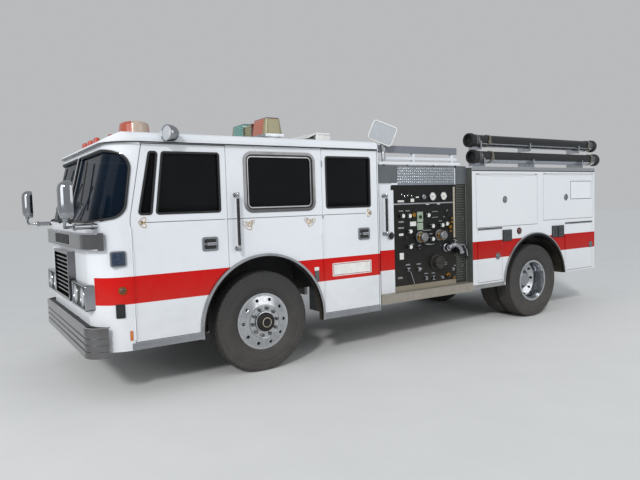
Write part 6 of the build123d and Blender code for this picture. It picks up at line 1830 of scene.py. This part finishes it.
on_both_sides("drip_rails", "body", seal_rubber, drip_rails)
on_both_sides("piano_hinges", "body", stainless, hinge_knuckles)
for edge_name, finish, slot, low_z, high_z, proud, bevel in (
    ("body_top_trim", aluminium, "polished_aluminium", 2.150, 2.199, 0.003, 0.0015),
    ("body_top_line", seal_rubber, "hose_rubber", 2.137, 2.149, 0.0015, 0.0005),
):
    low, high = (BODY_REAR + 0.002, SIDE_Y - 0.001, low_z), (BODY_FRONT - 0.002, SIDE_Y + proud, high_z)
    on_both_sides(edge_name, "body", finish, box_piece(low, high, bevel))

# Side lamps, round lamps and tail lamps, which stand for the plain solids
LAMP_BOXES = ((-1.737, -1.550, 1.161, 1.319), (-2.962, -2.824, 1.150, 1.326), (-2.812, -2.674, 1.150, 1.326))
ROUND_LAMP = (-1.907, SIDE_Y, 1.290)


def side_lamp(name, material, build):
    """A lamp's piece, on both sides."""
    for made in on_both_sides(name, "body", material, build):
        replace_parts(made, "body_lights")


def lamp_frames(shape):
    for x0, x1, z0, z1 in LAMP_BOXES:
        outline = oblong(x0, z0, x1, z1)
        inner = rounded(moved_out(outline, -0.010), 0.006)
        add_plate(shape, rounded(outline, 0.010), on_side, SIDE_Y - 0.002, SIDE_Y + 0.014, inner)


def lamp_lenses(shape):
    """Square lenses with upright ribs."""
    for x0, x1, z0, z1 in LAMP_BOXES:
        outline = rounded(oblong(x0 + 0.010, z0 + 0.010, x1 - 0.010, z1 - 0.010), 0.006)
        add_plate(shape, outline, on_side, SIDE_Y, SIDE_Y + 0.011)
        for step in range(int((x1 - x0 - 0.03) / 0.012)):
            x = x0 + 0.018 + 0.012 * step
            add_box(shape, (x, SIDE_Y + 0.010, z0 + 0.016), (x + 0.006, SIDE_Y + 0.015, z1 - 0.016), 0.0015)


def round_lamp(radius, place, way):
    """A builder for a domed round lens."""
    glass = radius - 0.007
    profile = ((glass, 0.0), (glass, 0.014), (radius * 0.7, 0.019), (radius * 0.35, 0.0215), (0.0, 0.022))
    return turned(place, way, profile, 36)


def round_bezel(r, place, way):
    """A builder for the rolled rim round a round lens."""
    rim = ((r, -0.002), (r, 0.010), (r - 0.002, 0.014), (r - 0.006, 0.015))
    return turned(place, way, rim + ((r - 0.008, 0.012), (r - 0.008, 0.0)), 36)


side_lamp("side_lamp_frames", frame_enamel, lamp_frames)
side_lamp("side_lamp_lenses", grey_lens, lamp_lenses)
side_lamp("round_side_lamp", faded_red, round_lamp(0.042, ROUND_LAMP, OUT))
side_lamp("round_side_bezel", frame_enamel, round_bezel(0.046, ROUND_LAMP, OUT))
for lamp_z, lamp_name, lamp_glass in ((0.780, "lower", red_lens), (0.920, "upper", amber_lens)):
    place = (BODY_REAR, 1.120, lamp_z)
    side_lamp(f"tail_lamp_{lamp_name}", lamp_glass, round_lamp(0.060, place, BACK))
    side_lamp(f"tail_bezel_{lamp_name}", chrome, round_bezel(0.062, place, BACK))

# Suction hoses: smooth rubber with cast couplings, in troughs, held by straps
HOSES = ((1.000, 2.575), (1.050, 2.345))
HOSE_FRONT, HOSE_REAR = -1.115, -4.073
HOSE_ENDS = ((HOSE_FRONT, -1), (HOSE_REAR, 1))
BODY_START = 0.10
HOSE_COUPLING = (
    (0.0, 0.050), (0.070, 0.050), (0.072, 0.004), (0.080, 0.0), (0.094, 0.002), (0.097, 0.008),
    (0.097, 0.060), (0.090, 0.068), (0.088, 0.100), (0.083, 0.104), (0.0, 0.104),
)
HOSE_BAND = ((0.0835, -0.010), (0.0845, -0.008), (0.0845, 0.008), (0.0835, 0.010))
STRAP_HALF = 0.019
STRAP_INNER, STRAP_OUTER = 0.0865, 0.0890


def hose_bodies(shape):
    """Smooth rubber, with a faint ring every 45 mm where the wire lies under it."""
    length = HOSE_FRONT - HOSE_REAR - 2 * BODY_START
    count = int(length / 0.045)
    profile = [(0.079, BODY_START)]
    for step in range(count):
        middle = BODY_START + length * (step + 0.5) / count
        profile += [(0.0800, middle - 0.012), (0.0788, middle), (0.0800, middle + 0.012)]
    profile.append((0.079, BODY_START + length))
    for y, z in HOSES:
        add_turned(shape, (HOSE_FRONT, y, z), BACK, profile, 40)


def hose_couplings(shape):
    """An open coupling with three lugs at each end."""
    for y, z in HOSES:
        for start, way in HOSE_ENDS:
            add_turned(shape, (start, y, z), (way, 0, 0), HOSE_COUPLING, 40)
            for turn in (0.6, 2.7, 4.8):
                away = Vector((0, math.cos(turn), math.sin(turn)))
                root = Vector((start + way * 0.034, y, z)) + away * 0.088
                add_tube(shape, [root, root + away * 0.010], 0.014, 8, False, 0.6)


def hose_bands(shape):
    """Two clamping bands behind each coupling."""
    for y, z in HOSES:
        for start, way in HOSE_ENDS:
            for offset in (0.112, 0.150):
                add_turned(shape, (start + way * offset, y, z), AHEAD, HOSE_BAND, 40)


def hose_troughs(shape):
    """A rolled sheet under each hose."""
    for y, z in HOSES:
        loops = []
        for x in (HOSE_FRONT - 0.20, HOSE_REAR + 0.12):
            loop = []
            for radius, turns in ((0.0815, range(0, 13)), (0.0855, range(12, -1, -1))):
                for step in turns:
                    angle = math.radians(205 + 10.5 * step)
                    loop.append(Vector((x, y + radius * math.cos(angle), z + radius * math.sin(angle))))
            loops.append(loop)
        add_loft(shape, loops)


def hose_straps(shape):
    """A webbing strap near each end of each hose, a little askew, with its buckle."""
    wide = Vector((STRAP_HALF, 0, 0))
    for y, z in HOSES:
        for x in (-1.47, -3.86):
            rings = []
            for step in range(36):
                angle = 2 * math.pi * step / 36
                here = Vector((x - 0.030 * math.sin(angle), y, z))
                out = Vector((0, math.cos(angle), math.sin(angle)))
                loop = (
                    here + out * STRAP_INNER + wide, here + out * STRAP_OUTER + wide,
                    here + out * STRAP_OUTER - wide, here + out * STRAP_INNER - wide,
                )
                rings.append([shape.verts.new(point) for point in loop])
            for low, high in zip(rings, rings[1:] + rings[:1]):
                for side in range(4):
                    after = (side + 1) % 4
                    shape.faces.new((low[side], low[after], high[after], high[side]))
            add_box(shape, (x - 0.026, y + 0.078, z - 0.045), (x + 0.026, y + 0.092, z + 0.010), 0.004)


for hose_name, finish, build in (
    ("hose_bodies", hose_rubber, hose_bodies), ("hose_couplings", frame_enamel, hose_couplings),
    ("hose_bands", cast_aluminium, hose_bands),
):
    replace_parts(piece(hose_name, "body", finish, "hose_rubber", build), "suction_hoses")
piece("hose_troughs", "body", aluminium, "treadplate", hose_troughs)
piece("hose_straps", "body", strap_weave, "treadplate", hose_straps)

# Headlights: a chromed housing with two sealed beams in a black face
HOUSING = oblong(0.440, 0.845, 1.060, 1.085)
HOUSING_FACE = 3.944
# The housing's outline at stations along X, as (inset, x)
HOUSING_SHELL = (
    (0.0, 3.800), (0.0, 3.948), (0.002, 3.955), (0.007, 3.9595), (0.014, 3.9595), (0.018, 3.956),
    (0.020, HOUSING_FACE),
)
HOUSING_PLATE = ((0.019, HOUSING_FACE - 0.004), (0.019, HOUSING_FACE + 0.001))
BEAM_YS = (0.590, 0.910)
BEAM_Z = 0.965
BEAM_RIM = ((0.094, 0.0), (0.094, 0.008), (0.090, 0.013), (0.083, 0.014), (0.079, 0.009), (0.079, 0.0))
BEAM_LENS = ((0.080, 0.0), (0.080, 0.008), (0.060, 0.0125), (0.035, 0.0145), (0.0, 0.0155))


def head_part(name, material, build, node="headlights"):
    """A piece of the headlights or the mirrors, on both sides, that stands for the plain solid."""
    for made in on_both_sides(name, "body", material, build):
        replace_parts(made, node)


def front_shell(outline, radius, stations):
    """A builder for a form lofted along X through stations of (inset, x)."""
    loops = []
    for inset, x in stations:
        loop = rounded(moved_out(outline, -inset), max(0.004, radius - inset / 2))
        loops.append([Vector((x, y, z)) for y, z in loop])
    return lambda shape: add_loft(shape, loops)


def headlight_rims(shape):
    """A rim round each beam, held by four screws."""
    for y in BEAM_YS:
        add_turned(shape, (HOUSING_FACE, y, BEAM_Z), AHEAD, BEAM_RIM, 48)
        for turn in (0.8, 2.4, 4.0, 5.6):
            spot = (HOUSING_FACE + 0.010, y + 0.087 * math.cos(turn), BEAM_Z + 0.087 * math.sin(turn))
            add_turned(shape, spot, AHEAD, ((0.005, 0.0), (0.005, 0.004), (0.003, 0.0055)), 8)


def headlight_beams(shape):
    for y in BEAM_YS:
        add_turned(shape, (HOUSING_FACE, y, BEAM_Z), AHEAD, BEAM_LENS, 48)


head_part("headlight_housing", chrome, front_shell(HOUSING, 0.022, HOUSING_SHELL))
head_part("headlight_face", frame_enamel, front_shell(HOUSING, 0.022, HOUSING_PLATE))
head_part("headlight_rims", chrome, headlight_rims)
head_part("headlight_beams", clear_lens, headlight_beams)


# Grille: a dark screen with fins behind the bars, and beads along the nose band
def grille_screen(shape):
    """A flat sheet with an upright fin every 12 mm."""
    add_box(shape, (CAB_FRONT - 0.002, 0.0, 0.880), (CAB_FRONT + 0.004, 0.385, 1.345), 0.0)
    for step in range(32):
        y = 0.006 + 0.012 * step
        add_box(shape, (CAB_FRONT + 0.003, y, 0.890), (CAB_FRONT + 0.014, y + 0.003, 1.338), 0.0)


def band_bead(z):
    """A builder for a bead round the corner and across the nose at a height."""
    def build(shape):
        path = [skin(turn, 1.40, 0.0490) for turn in (43, 50, 58, 66, 74, 82, 90)]
        path = [Vector((spot.x, spot.y, z)) for spot in path]
        path.append(Vector((path[-1].x, 0.01, z)))
        add_tube(shape, path, 0.007, 10)

    return build


def nose_plate(shape):
    """A bare plate on the nose band, with screws along both edges."""
    front = skin(90, 1.40, 0.048).x
    outline = rounded(oblong(-0.38, 1.432, 0.38, 1.528), 0.010)
    add_plate(shape, outline, on_front, front - 0.002, front + 0.004)
    for y in (-0.36, -0.12, 0.12, 0.36):
        for z in (1.442, 1.518):
            add_turned(shape, (front + 0.003, y, z), AHEAD, ((0.005, 0.0), (0.004, 0.0025), (0.0, 0.003)), 10)


on_both_sides("grille_screen", "body", frame_enamel, grille_screen)
on_both_sides("nose_band_upper_bead", "body", aluminium, band_bead(1.553))
on_both_sides("nose_band_lower_bead", "body", aluminium, band_bead(1.407))
piece("nose_plate", "body", frame_enamel, "chrome", nose_plate)


# Bumper: a rubber deck behind the chromed face
def bumper_deck(shape):
    outline = [(3.700, -1.165), (3.815, -1.165), (3.862, -1.120), (3.945, -1.000), (3.962, -0.90)]
    outline += [(x, -y) for x, y in reversed(outline)]
    add_plate(shape, outline, lambda a, b, depth: Vector((a, b, depth)), 0.6975, 0.7010)


piece("bumper_deck", "body", seal_rubber, "hose_rubber", bumper_deck)

# Mirrors: a bulged chromed shell, the glass, and a bent arm
MIRROR = oblong(1.190, 1.692, 1.374, 2.020)
MIRROR_SHELL = (
    (0.010, 4.072), (0.004, 4.066), (0.0, 4.074), (0.0, 4.112), (0.005, 4.132), (0.016, 4.150),
    (0.034, 4.164), (0.056, 4.172), (0.075, 4.1742),
)
MIRROR_GLASS = ((0.011, 4.0740), (0.011, 4.0700))
MIRROR_COLLAR = ((0.029, -0.012), (0.030, -0.008), (0.030, 0.008), (0.029, 0.012))
MIRROR_CLAMP = ((0.020, 0.0), (0.024, 0.006), (0.024, 0.018), (0.018, 0.024))


def mirror_arm(shape):
    """A thick bracket off the cab, and the thin arm that bends up from it to the mirror."""
    root, elbow = (3.800, 1.095, 1.620), (4.037, 1.150, 1.620)
    add_tube(shape, [
        (3.815, 1.100, 1.620), (4.037, 1.152, 1.620), (4.100, 1.172, 1.620), (4.118, 1.200, 1.622),
        (4.125, 1.235, 1.632), (4.125, 1.262, 1.655), (4.122, 1.278, 1.700),
    ], 0.013, 14)
    add_tube(shape, [root, elbow], 0.024, 16)
    for share in (0.30, 0.95):
        add_turned(shape, Vector(root).lerp(Vector(elbow), share), (0.974, 0.226, 0), MIRROR_COLLAR, 20)
    add_turned(shape, (4.122, 1.278, 1.680), UP, MIRROR_CLAMP, 20)


head_part("mirror_shell", chrome, front_shell(MIRROR, 0.060, MIRROR_SHELL), "mirrors")
head_part("mirror_glass", mirror_glass, front_shell(MIRROR, 0.060, MIRROR_GLASS), "mirrors")
head_part("mirror_arm", chrome, mirror_arm, "mirrors")

# Seats: crowned vinyl pads with sewn channels and welts, on painted boxes
PAD_CELLS = 22
PAD_RIM = 0.965


def pad_point(low, high, a, b, c, channels, up, lean):
    """A point of a pad. a, b and c run from -1 to 1 over its box, and the side at c = -1 lies flat.

    up is the axis that the pad swells along, and lean tips its top back, in metres.
    """
    side = 1.0 - 0.045 * math.cos(math.pi * b / 2) * abs(a) ** 6
    front = 1.0 - 0.045 * math.cos(math.pi * a / 2) * abs(b) ** 6
    round_off = (1 - abs(a) ** 10) ** 0.25 * (1 - abs(b) ** 10) ** 0.25
    crown = 0.62 + 0.38 * math.cos(math.pi * a / 2) ** 0.6 * math.cos(math.pi * b / 2) ** 0.6
    height = c * (crown if c > 0 else 1.0) * (0.55 + 0.45 * round_off)
    if c > 0:
        height -= 0.10 * sum(math.exp(-((b - spot) / 0.035) ** 2) for spot in channels) * (1 - abs(a) ** 8)
    spot = (a * side * 0.985, b * front * 0.985, height)
    point = Vector()
    for axis, value in zip((0, 1, 2) if up == "z" else (2, 1, 0), spot):
        point[axis] = (low[axis] + high[axis]) / 2 + (high[axis] - low[axis]) / 2 * value
    point.x -= lean * (point.z - low[2]) / (high[2] - low[2])
    return point


def add_pad(shape, low, high, channels, up, lean):
    """A pad filled out between two corners."""
    made = {}

    def corner(*key):
        if key not in made:
            a, b, c = (2 * value / PAD_CELLS - 1 for value in key)
            a, b = max(-0.999, min(0.999, a)), max(-0.999, min(0.999, b))
            made[key] = shape.verts.new(pad_point(low, high, a, b, c, channels, up, lean))
        return made[key]

    for u in range(PAD_CELLS):
        for v in range(PAD_CELLS):
            square = ((u, v), (u + 1, v), (u + 1, v + 1), (u, v + 1))
            for k in (0, PAD_CELLS):
                shape.faces.new([corner(a, b, k) for a, b in square])
                shape.faces.new([corner(a, k, b) for a, b in square])
                shape.faces.new([corner(k, a, b) for a, b in square])


def add_welt(shape, low, high, up, lean):
    """Piping round a pad's upper edge."""
    path = []
    for start, end in (((-1, -1), (1, -1)), ((1, -1), (1, 1)), ((1, 1), (-1, 1)), ((-1, 1), (-1, -1))):
        for step in range(14):
            a, b = (PAD_RIM * (first + (last - first) * step / 14) for first, last in zip(start, end))
            path.append(pad_point(low, high, a, b, 0.93, (), up, lean))
    add_tube(shape, path, 0.005, 6, True)


THIRDS = (-0.34, 0.34)
BENCH = (-0.78, -0.5, -0.22, 0.22, 0.5, 0.78)
SEAT_PADS = (
    ("front_cushion_left", (at(0.160), 0.560, 1.292), (at(0.640), 1.080, 1.410), THIRDS, "z", 0.0),
    ("front_cushion_right", (at(0.160), -1.080, 1.292), (at(0.640), -0.560, 1.410), THIRDS, "z", 0.0),
    ("front_back_left", (at(0.168), 0.590, 1.400), (at(0.278), 1.050, 2.048), THIRDS, "x", 0.10),
    ("front_back_right", (at(0.168), -1.050, 1.400), (at(0.278), -0.590, 2.048), THIRDS, "x", 0.10),
    ("bench_cushion", (0.720, -1.095, 1.292), (1.175, 1.095, 1.410), BENCH, "z", 0.0),
    ("bench_back", (0.718, -1.095, 1.412), (0.825, 1.095, 1.980), BENCH, "x", 0.0),
)


def filled_pad(low, high, channels, up, lean):
    """A builder for one pad."""
    return lambda shape: add_pad(shape, low, high, channels, up, lean)


def seat_welts(shape):
    for _, low, high, _, up, lean in SEAT_PADS:
        add_welt(shape, low, high, up, lean)


def seat_boxes(shape):
    """Boxes under the bench's ends, and brackets behind the front cushions."""
    for sign in (-1, 1):
        low, high = sorted((sign * 0.525, sign * 0.860))
        add_box(shape, (0.717, low, 0.882), (1.150, high, 1.290), 0.010)
        low, high = sorted((sign * 0.580, sign * 1.060))
        add_box(shape, (at(0.100), low, 1.300), (at(0.170), high, 1.360), 0.008)


for pad_name, *pad_form in SEAT_PADS:
    pad = piece(pad_name, "body", seat_vinyl, "black_vinyl", filled_pad(*pad_form), 60.0)
    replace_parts(pad, "seats")
piece("seat_welts", "body", seal_rubber, "black_vinyl", seat_welts)
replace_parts(piece("seat_boxes", "body", floor_paint, "floor_paint", seat_boxes), "seats")


# Dials on the dashboard
def dash_dials(shape):
    for y in (0.42, 0.52, 0.76, 0.86, 0.98):
        dial = ((0.038, 0.0), (0.038, 0.010), (0.034, 0.013), (0.031, 0.009), (0.0, 0.009))
        add_turned(shape, (at(1.318), y, 1.475), (-0.95, 0, 0.15), dial, 28)


piece("dash_dials", "body", label_grey, "dash_plastic", dash_dials)

# The rear panel's sheet with its trim and rivets, the tailboard's nosing, and the hose bed
def rear_trim(shape):
    """Angles along the panel's four edges."""
    for sign in (-1, 1):
        low, high = sorted((sign * 0.618, sign * 0.668))
        add_box(shape, (BODY_REAR - 0.006, low, 0.640), (BODY_REAR + 0.002, high, 1.672), 0.002)
    add_box(shape, (BODY_REAR - 0.008, -0.655, 1.640), (BODY_REAR + 0.004, 0.655, 1.676), 0.003)
    add_box(shape, (BODY_REAR - 0.006, -0.655, 0.640), (BODY_REAR + 0.002, 0.655, 0.668), 0.002)


def rear_rivets(shape):
    for step in range(11):
        for y in (-0.643, 0.643):
            place = (BODY_REAR - 0.005, y, 0.70 + 0.0895 * step)
            add_turned(shape, place, BACK, ((0.005, 0.0), (0.004, 0.002), (0.0, 0.003)), 8)


def bed_slats(shape):
    """Slats along the hose bed's floor."""
    for step in range(12):
        y = -0.594 + 0.108 * step
        add_box(shape, (BODY_REAR + 0.030, y - 0.040, 1.668), (BODY_FRONT - 0.050, y + 0.040, 1.682), 0.003)


piece(
    "rear_panel_sheet", "body", rear_sheet, "treadplate",
    box_piece((BODY_REAR - 0.003, -0.630, 0.665), (BODY_REAR + 0.001, 0.630, 1.645), 0.001),
)
piece("rear_panel_trim", "body", aluminium, "polished_aluminium", rear_trim)
piece("rear_panel_rivets", "body", stainless, "chrome", rear_rivets)
piece(
    "tailboard_nosing", "body", seal_rubber, "hose_rubber",
    box_piece((-4.1748, -0.945, 0.572), (-4.168, 0.945, 0.618), 0.003),
)
piece("hose_bed_slats", "body", aluminium, "treadplate", bed_slats)
on_both_sides(
    "bed_side_caps", "body", aluminium,
    box_piece((BODY_REAR + 0.004, 0.655, 2.196), (BODY_FRONT - 0.004, 0.700, 2.203), 0.002),
)

# Floor, light and camera
def stage_material(name, code):
    """Plain pale ground with the faintest mottling."""
    material, tree, shader, place = start_material(name, Roughness=0.9)
    spots = add(tree, "ShaderNodeTexNoise", {"Scale": 2.0, "Detail": 4.0}, {"Vector": place}).outputs[0]
    tree.links.new(mix(tree, spots, paint(code), paint("#DADAD8")), shader.inputs["Base Color"])
    return material


floor_shape = bmesh.new()
bmesh.ops.create_grid(floor_shape, x_segments=1, y_segments=1, size=60.0)
floor_mesh = bpy.data.meshes.new("floor")
floor_shape.to_mesh(floor_mesh)
floor_shape.free()
floor_mesh.materials.append(stage_material("pale_floor", "#E2E2E0"))
floor = bpy.data.objects.new("floor", floor_mesh)
bpy.context.scene.collection.objects.link(floor)

world = bpy.data.worlds.new("studio")
bpy.context.scene.world = world
world.use_nodes = True
world_tree = world.node_tree
background = world_tree.nodes["Background"]
ray = add(world_tree, "ShaderNodeLightPath")
seen = add(
    world_tree, "ShaderNodeMath", (), {0: ray.outputs["Is Camera Ray"], 1: ray.outputs["Is Glossy Ray"]},
    operation="MAXIMUM",
)
shown = mix(world_tree, seen.outputs[0], paint("#DDE3EA"), paint("#E8EAEC"))
world_tree.links.new(shown, background.inputs["Color"])
background.inputs["Strength"].default_value = 0.6

for light_name, kind, energy, size, spot, target in (
    ("key_sun", "SUN", 1.35, 0.12, (9.0, 9.0, 9.0), (0.0, 0.0, 0.8)),
    ("front_softbox", "AREA", 160.0, 5.0, (9.5, 2.5, 4.0), (3.0, 0.0, 1.2)),
    ("side_softbox", "AREA", 200.0, 7.0, (-3.0, 9.5, 5.0), (-1.5, 0.0, 1.0)),
):
    lamp_data = bpy.data.lights.new(light_name, kind)
    lamp_data.energy = energy
    if kind == "SUN":
        lamp_data.angle = size
    else:
        lamp_data.size = size
    lamp = bpy.data.objects.new(light_name, lamp_data)
    lamp.location = spot
    lamp.rotation_euler = (Vector(target) - Vector(spot)).to_track_quat("-Z", "Y").to_euler()
    bpy.context.scene.collection.objects.link(lamp)

camera_data = bpy.data.cameras.new("camera")
camera_data.lens = 32.263
camera_data.sensor_width = 36.0
camera_data.clip_end = 200.0
camera = bpy.data.objects.new("camera", camera_data)
bpy.context.scene.collection.objects.link(camera)
right = Vector((-0.83476, 0.54981, -0.02958))
up = Vector((-0.05946, -0.03660, 0.99756))
forward = Vector((-0.54739, -0.83448, -0.06325))
view = Matrix((right, up, -forward)).transposed().to_4x4()
camera.matrix_world = Matrix.Translation((4.989, 6.523, 1.763)) @ view
bpy.context.scene.camera = camera
bpy.context.scene.view_settings.view_transform = "Standard"

# Finishes of the model's own solids
def finish_nodes(finish, names):
    """One finish for each named solid."""
    for name in names:
        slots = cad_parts[name].data.materials
        slots.clear()
        slots.append(finish)


DOORS = tuple(f"door_{place}" for place in ("upper_front", "upper_rear", "lower_front", "lower_rear"))
for finish, names in (
    (cab_enamel, ("cab_front", "cab_sides", "cab_rear_wall")), (roof_enamel, ("cab_roof",)),
    (floor_paint, ("cab_floor",)), (dash_plastic, ("engine_cover", "dashboard", "steering_wheel", "seats")),
    (clear_glass, ("cab_glass",)), (shaded_chrome, ("grille", "bumper")), (chrome, ("headlights", "mirrors")),
    (arch_lip, ("fenderettes",)), (frame_enamel, ("chassis_frame", "axles", "leaf_springs")),
    (engine_enamel, ("powertrain",)), (aluminium, ("fuel_tank", "hose_racks")),
    (pump_enamel, ("pump_house",)), (panel_enamel, ("pump_panels",)), (cast_aluminium, ("pump_fittings",)),
    (step_plate, ("running_boards", "hose_bed")), (body_enamel, ("body_left", "body_right")),
    (hose_rubber, ("suction_hoses",)), (stainless, ("grab_rails",)), (orange_dome, ("roof_lights",)),
    (white_plastic, ("roof_fittings",)), (grey_lens, ("body_lights",)),
):
    finish_nodes(finish, names)
for side, _ in SIDES:
    for finish, names in (
        (frame_enamel, ("knuckle",)), (aluminium, ("wheel_front", "wheels_rear")),
        (tyre_rubber, ("tyre_front", "tyres_rear")), (cab_enamel, ("cab_door_front", "cab_door_rear")),
        (tinted_glass, ("door_glass_front", "door_glass_rear")), (body_enamel, DOORS),
    ):
        finish_nodes(finish, [f"{name}_{side}" for name in names])
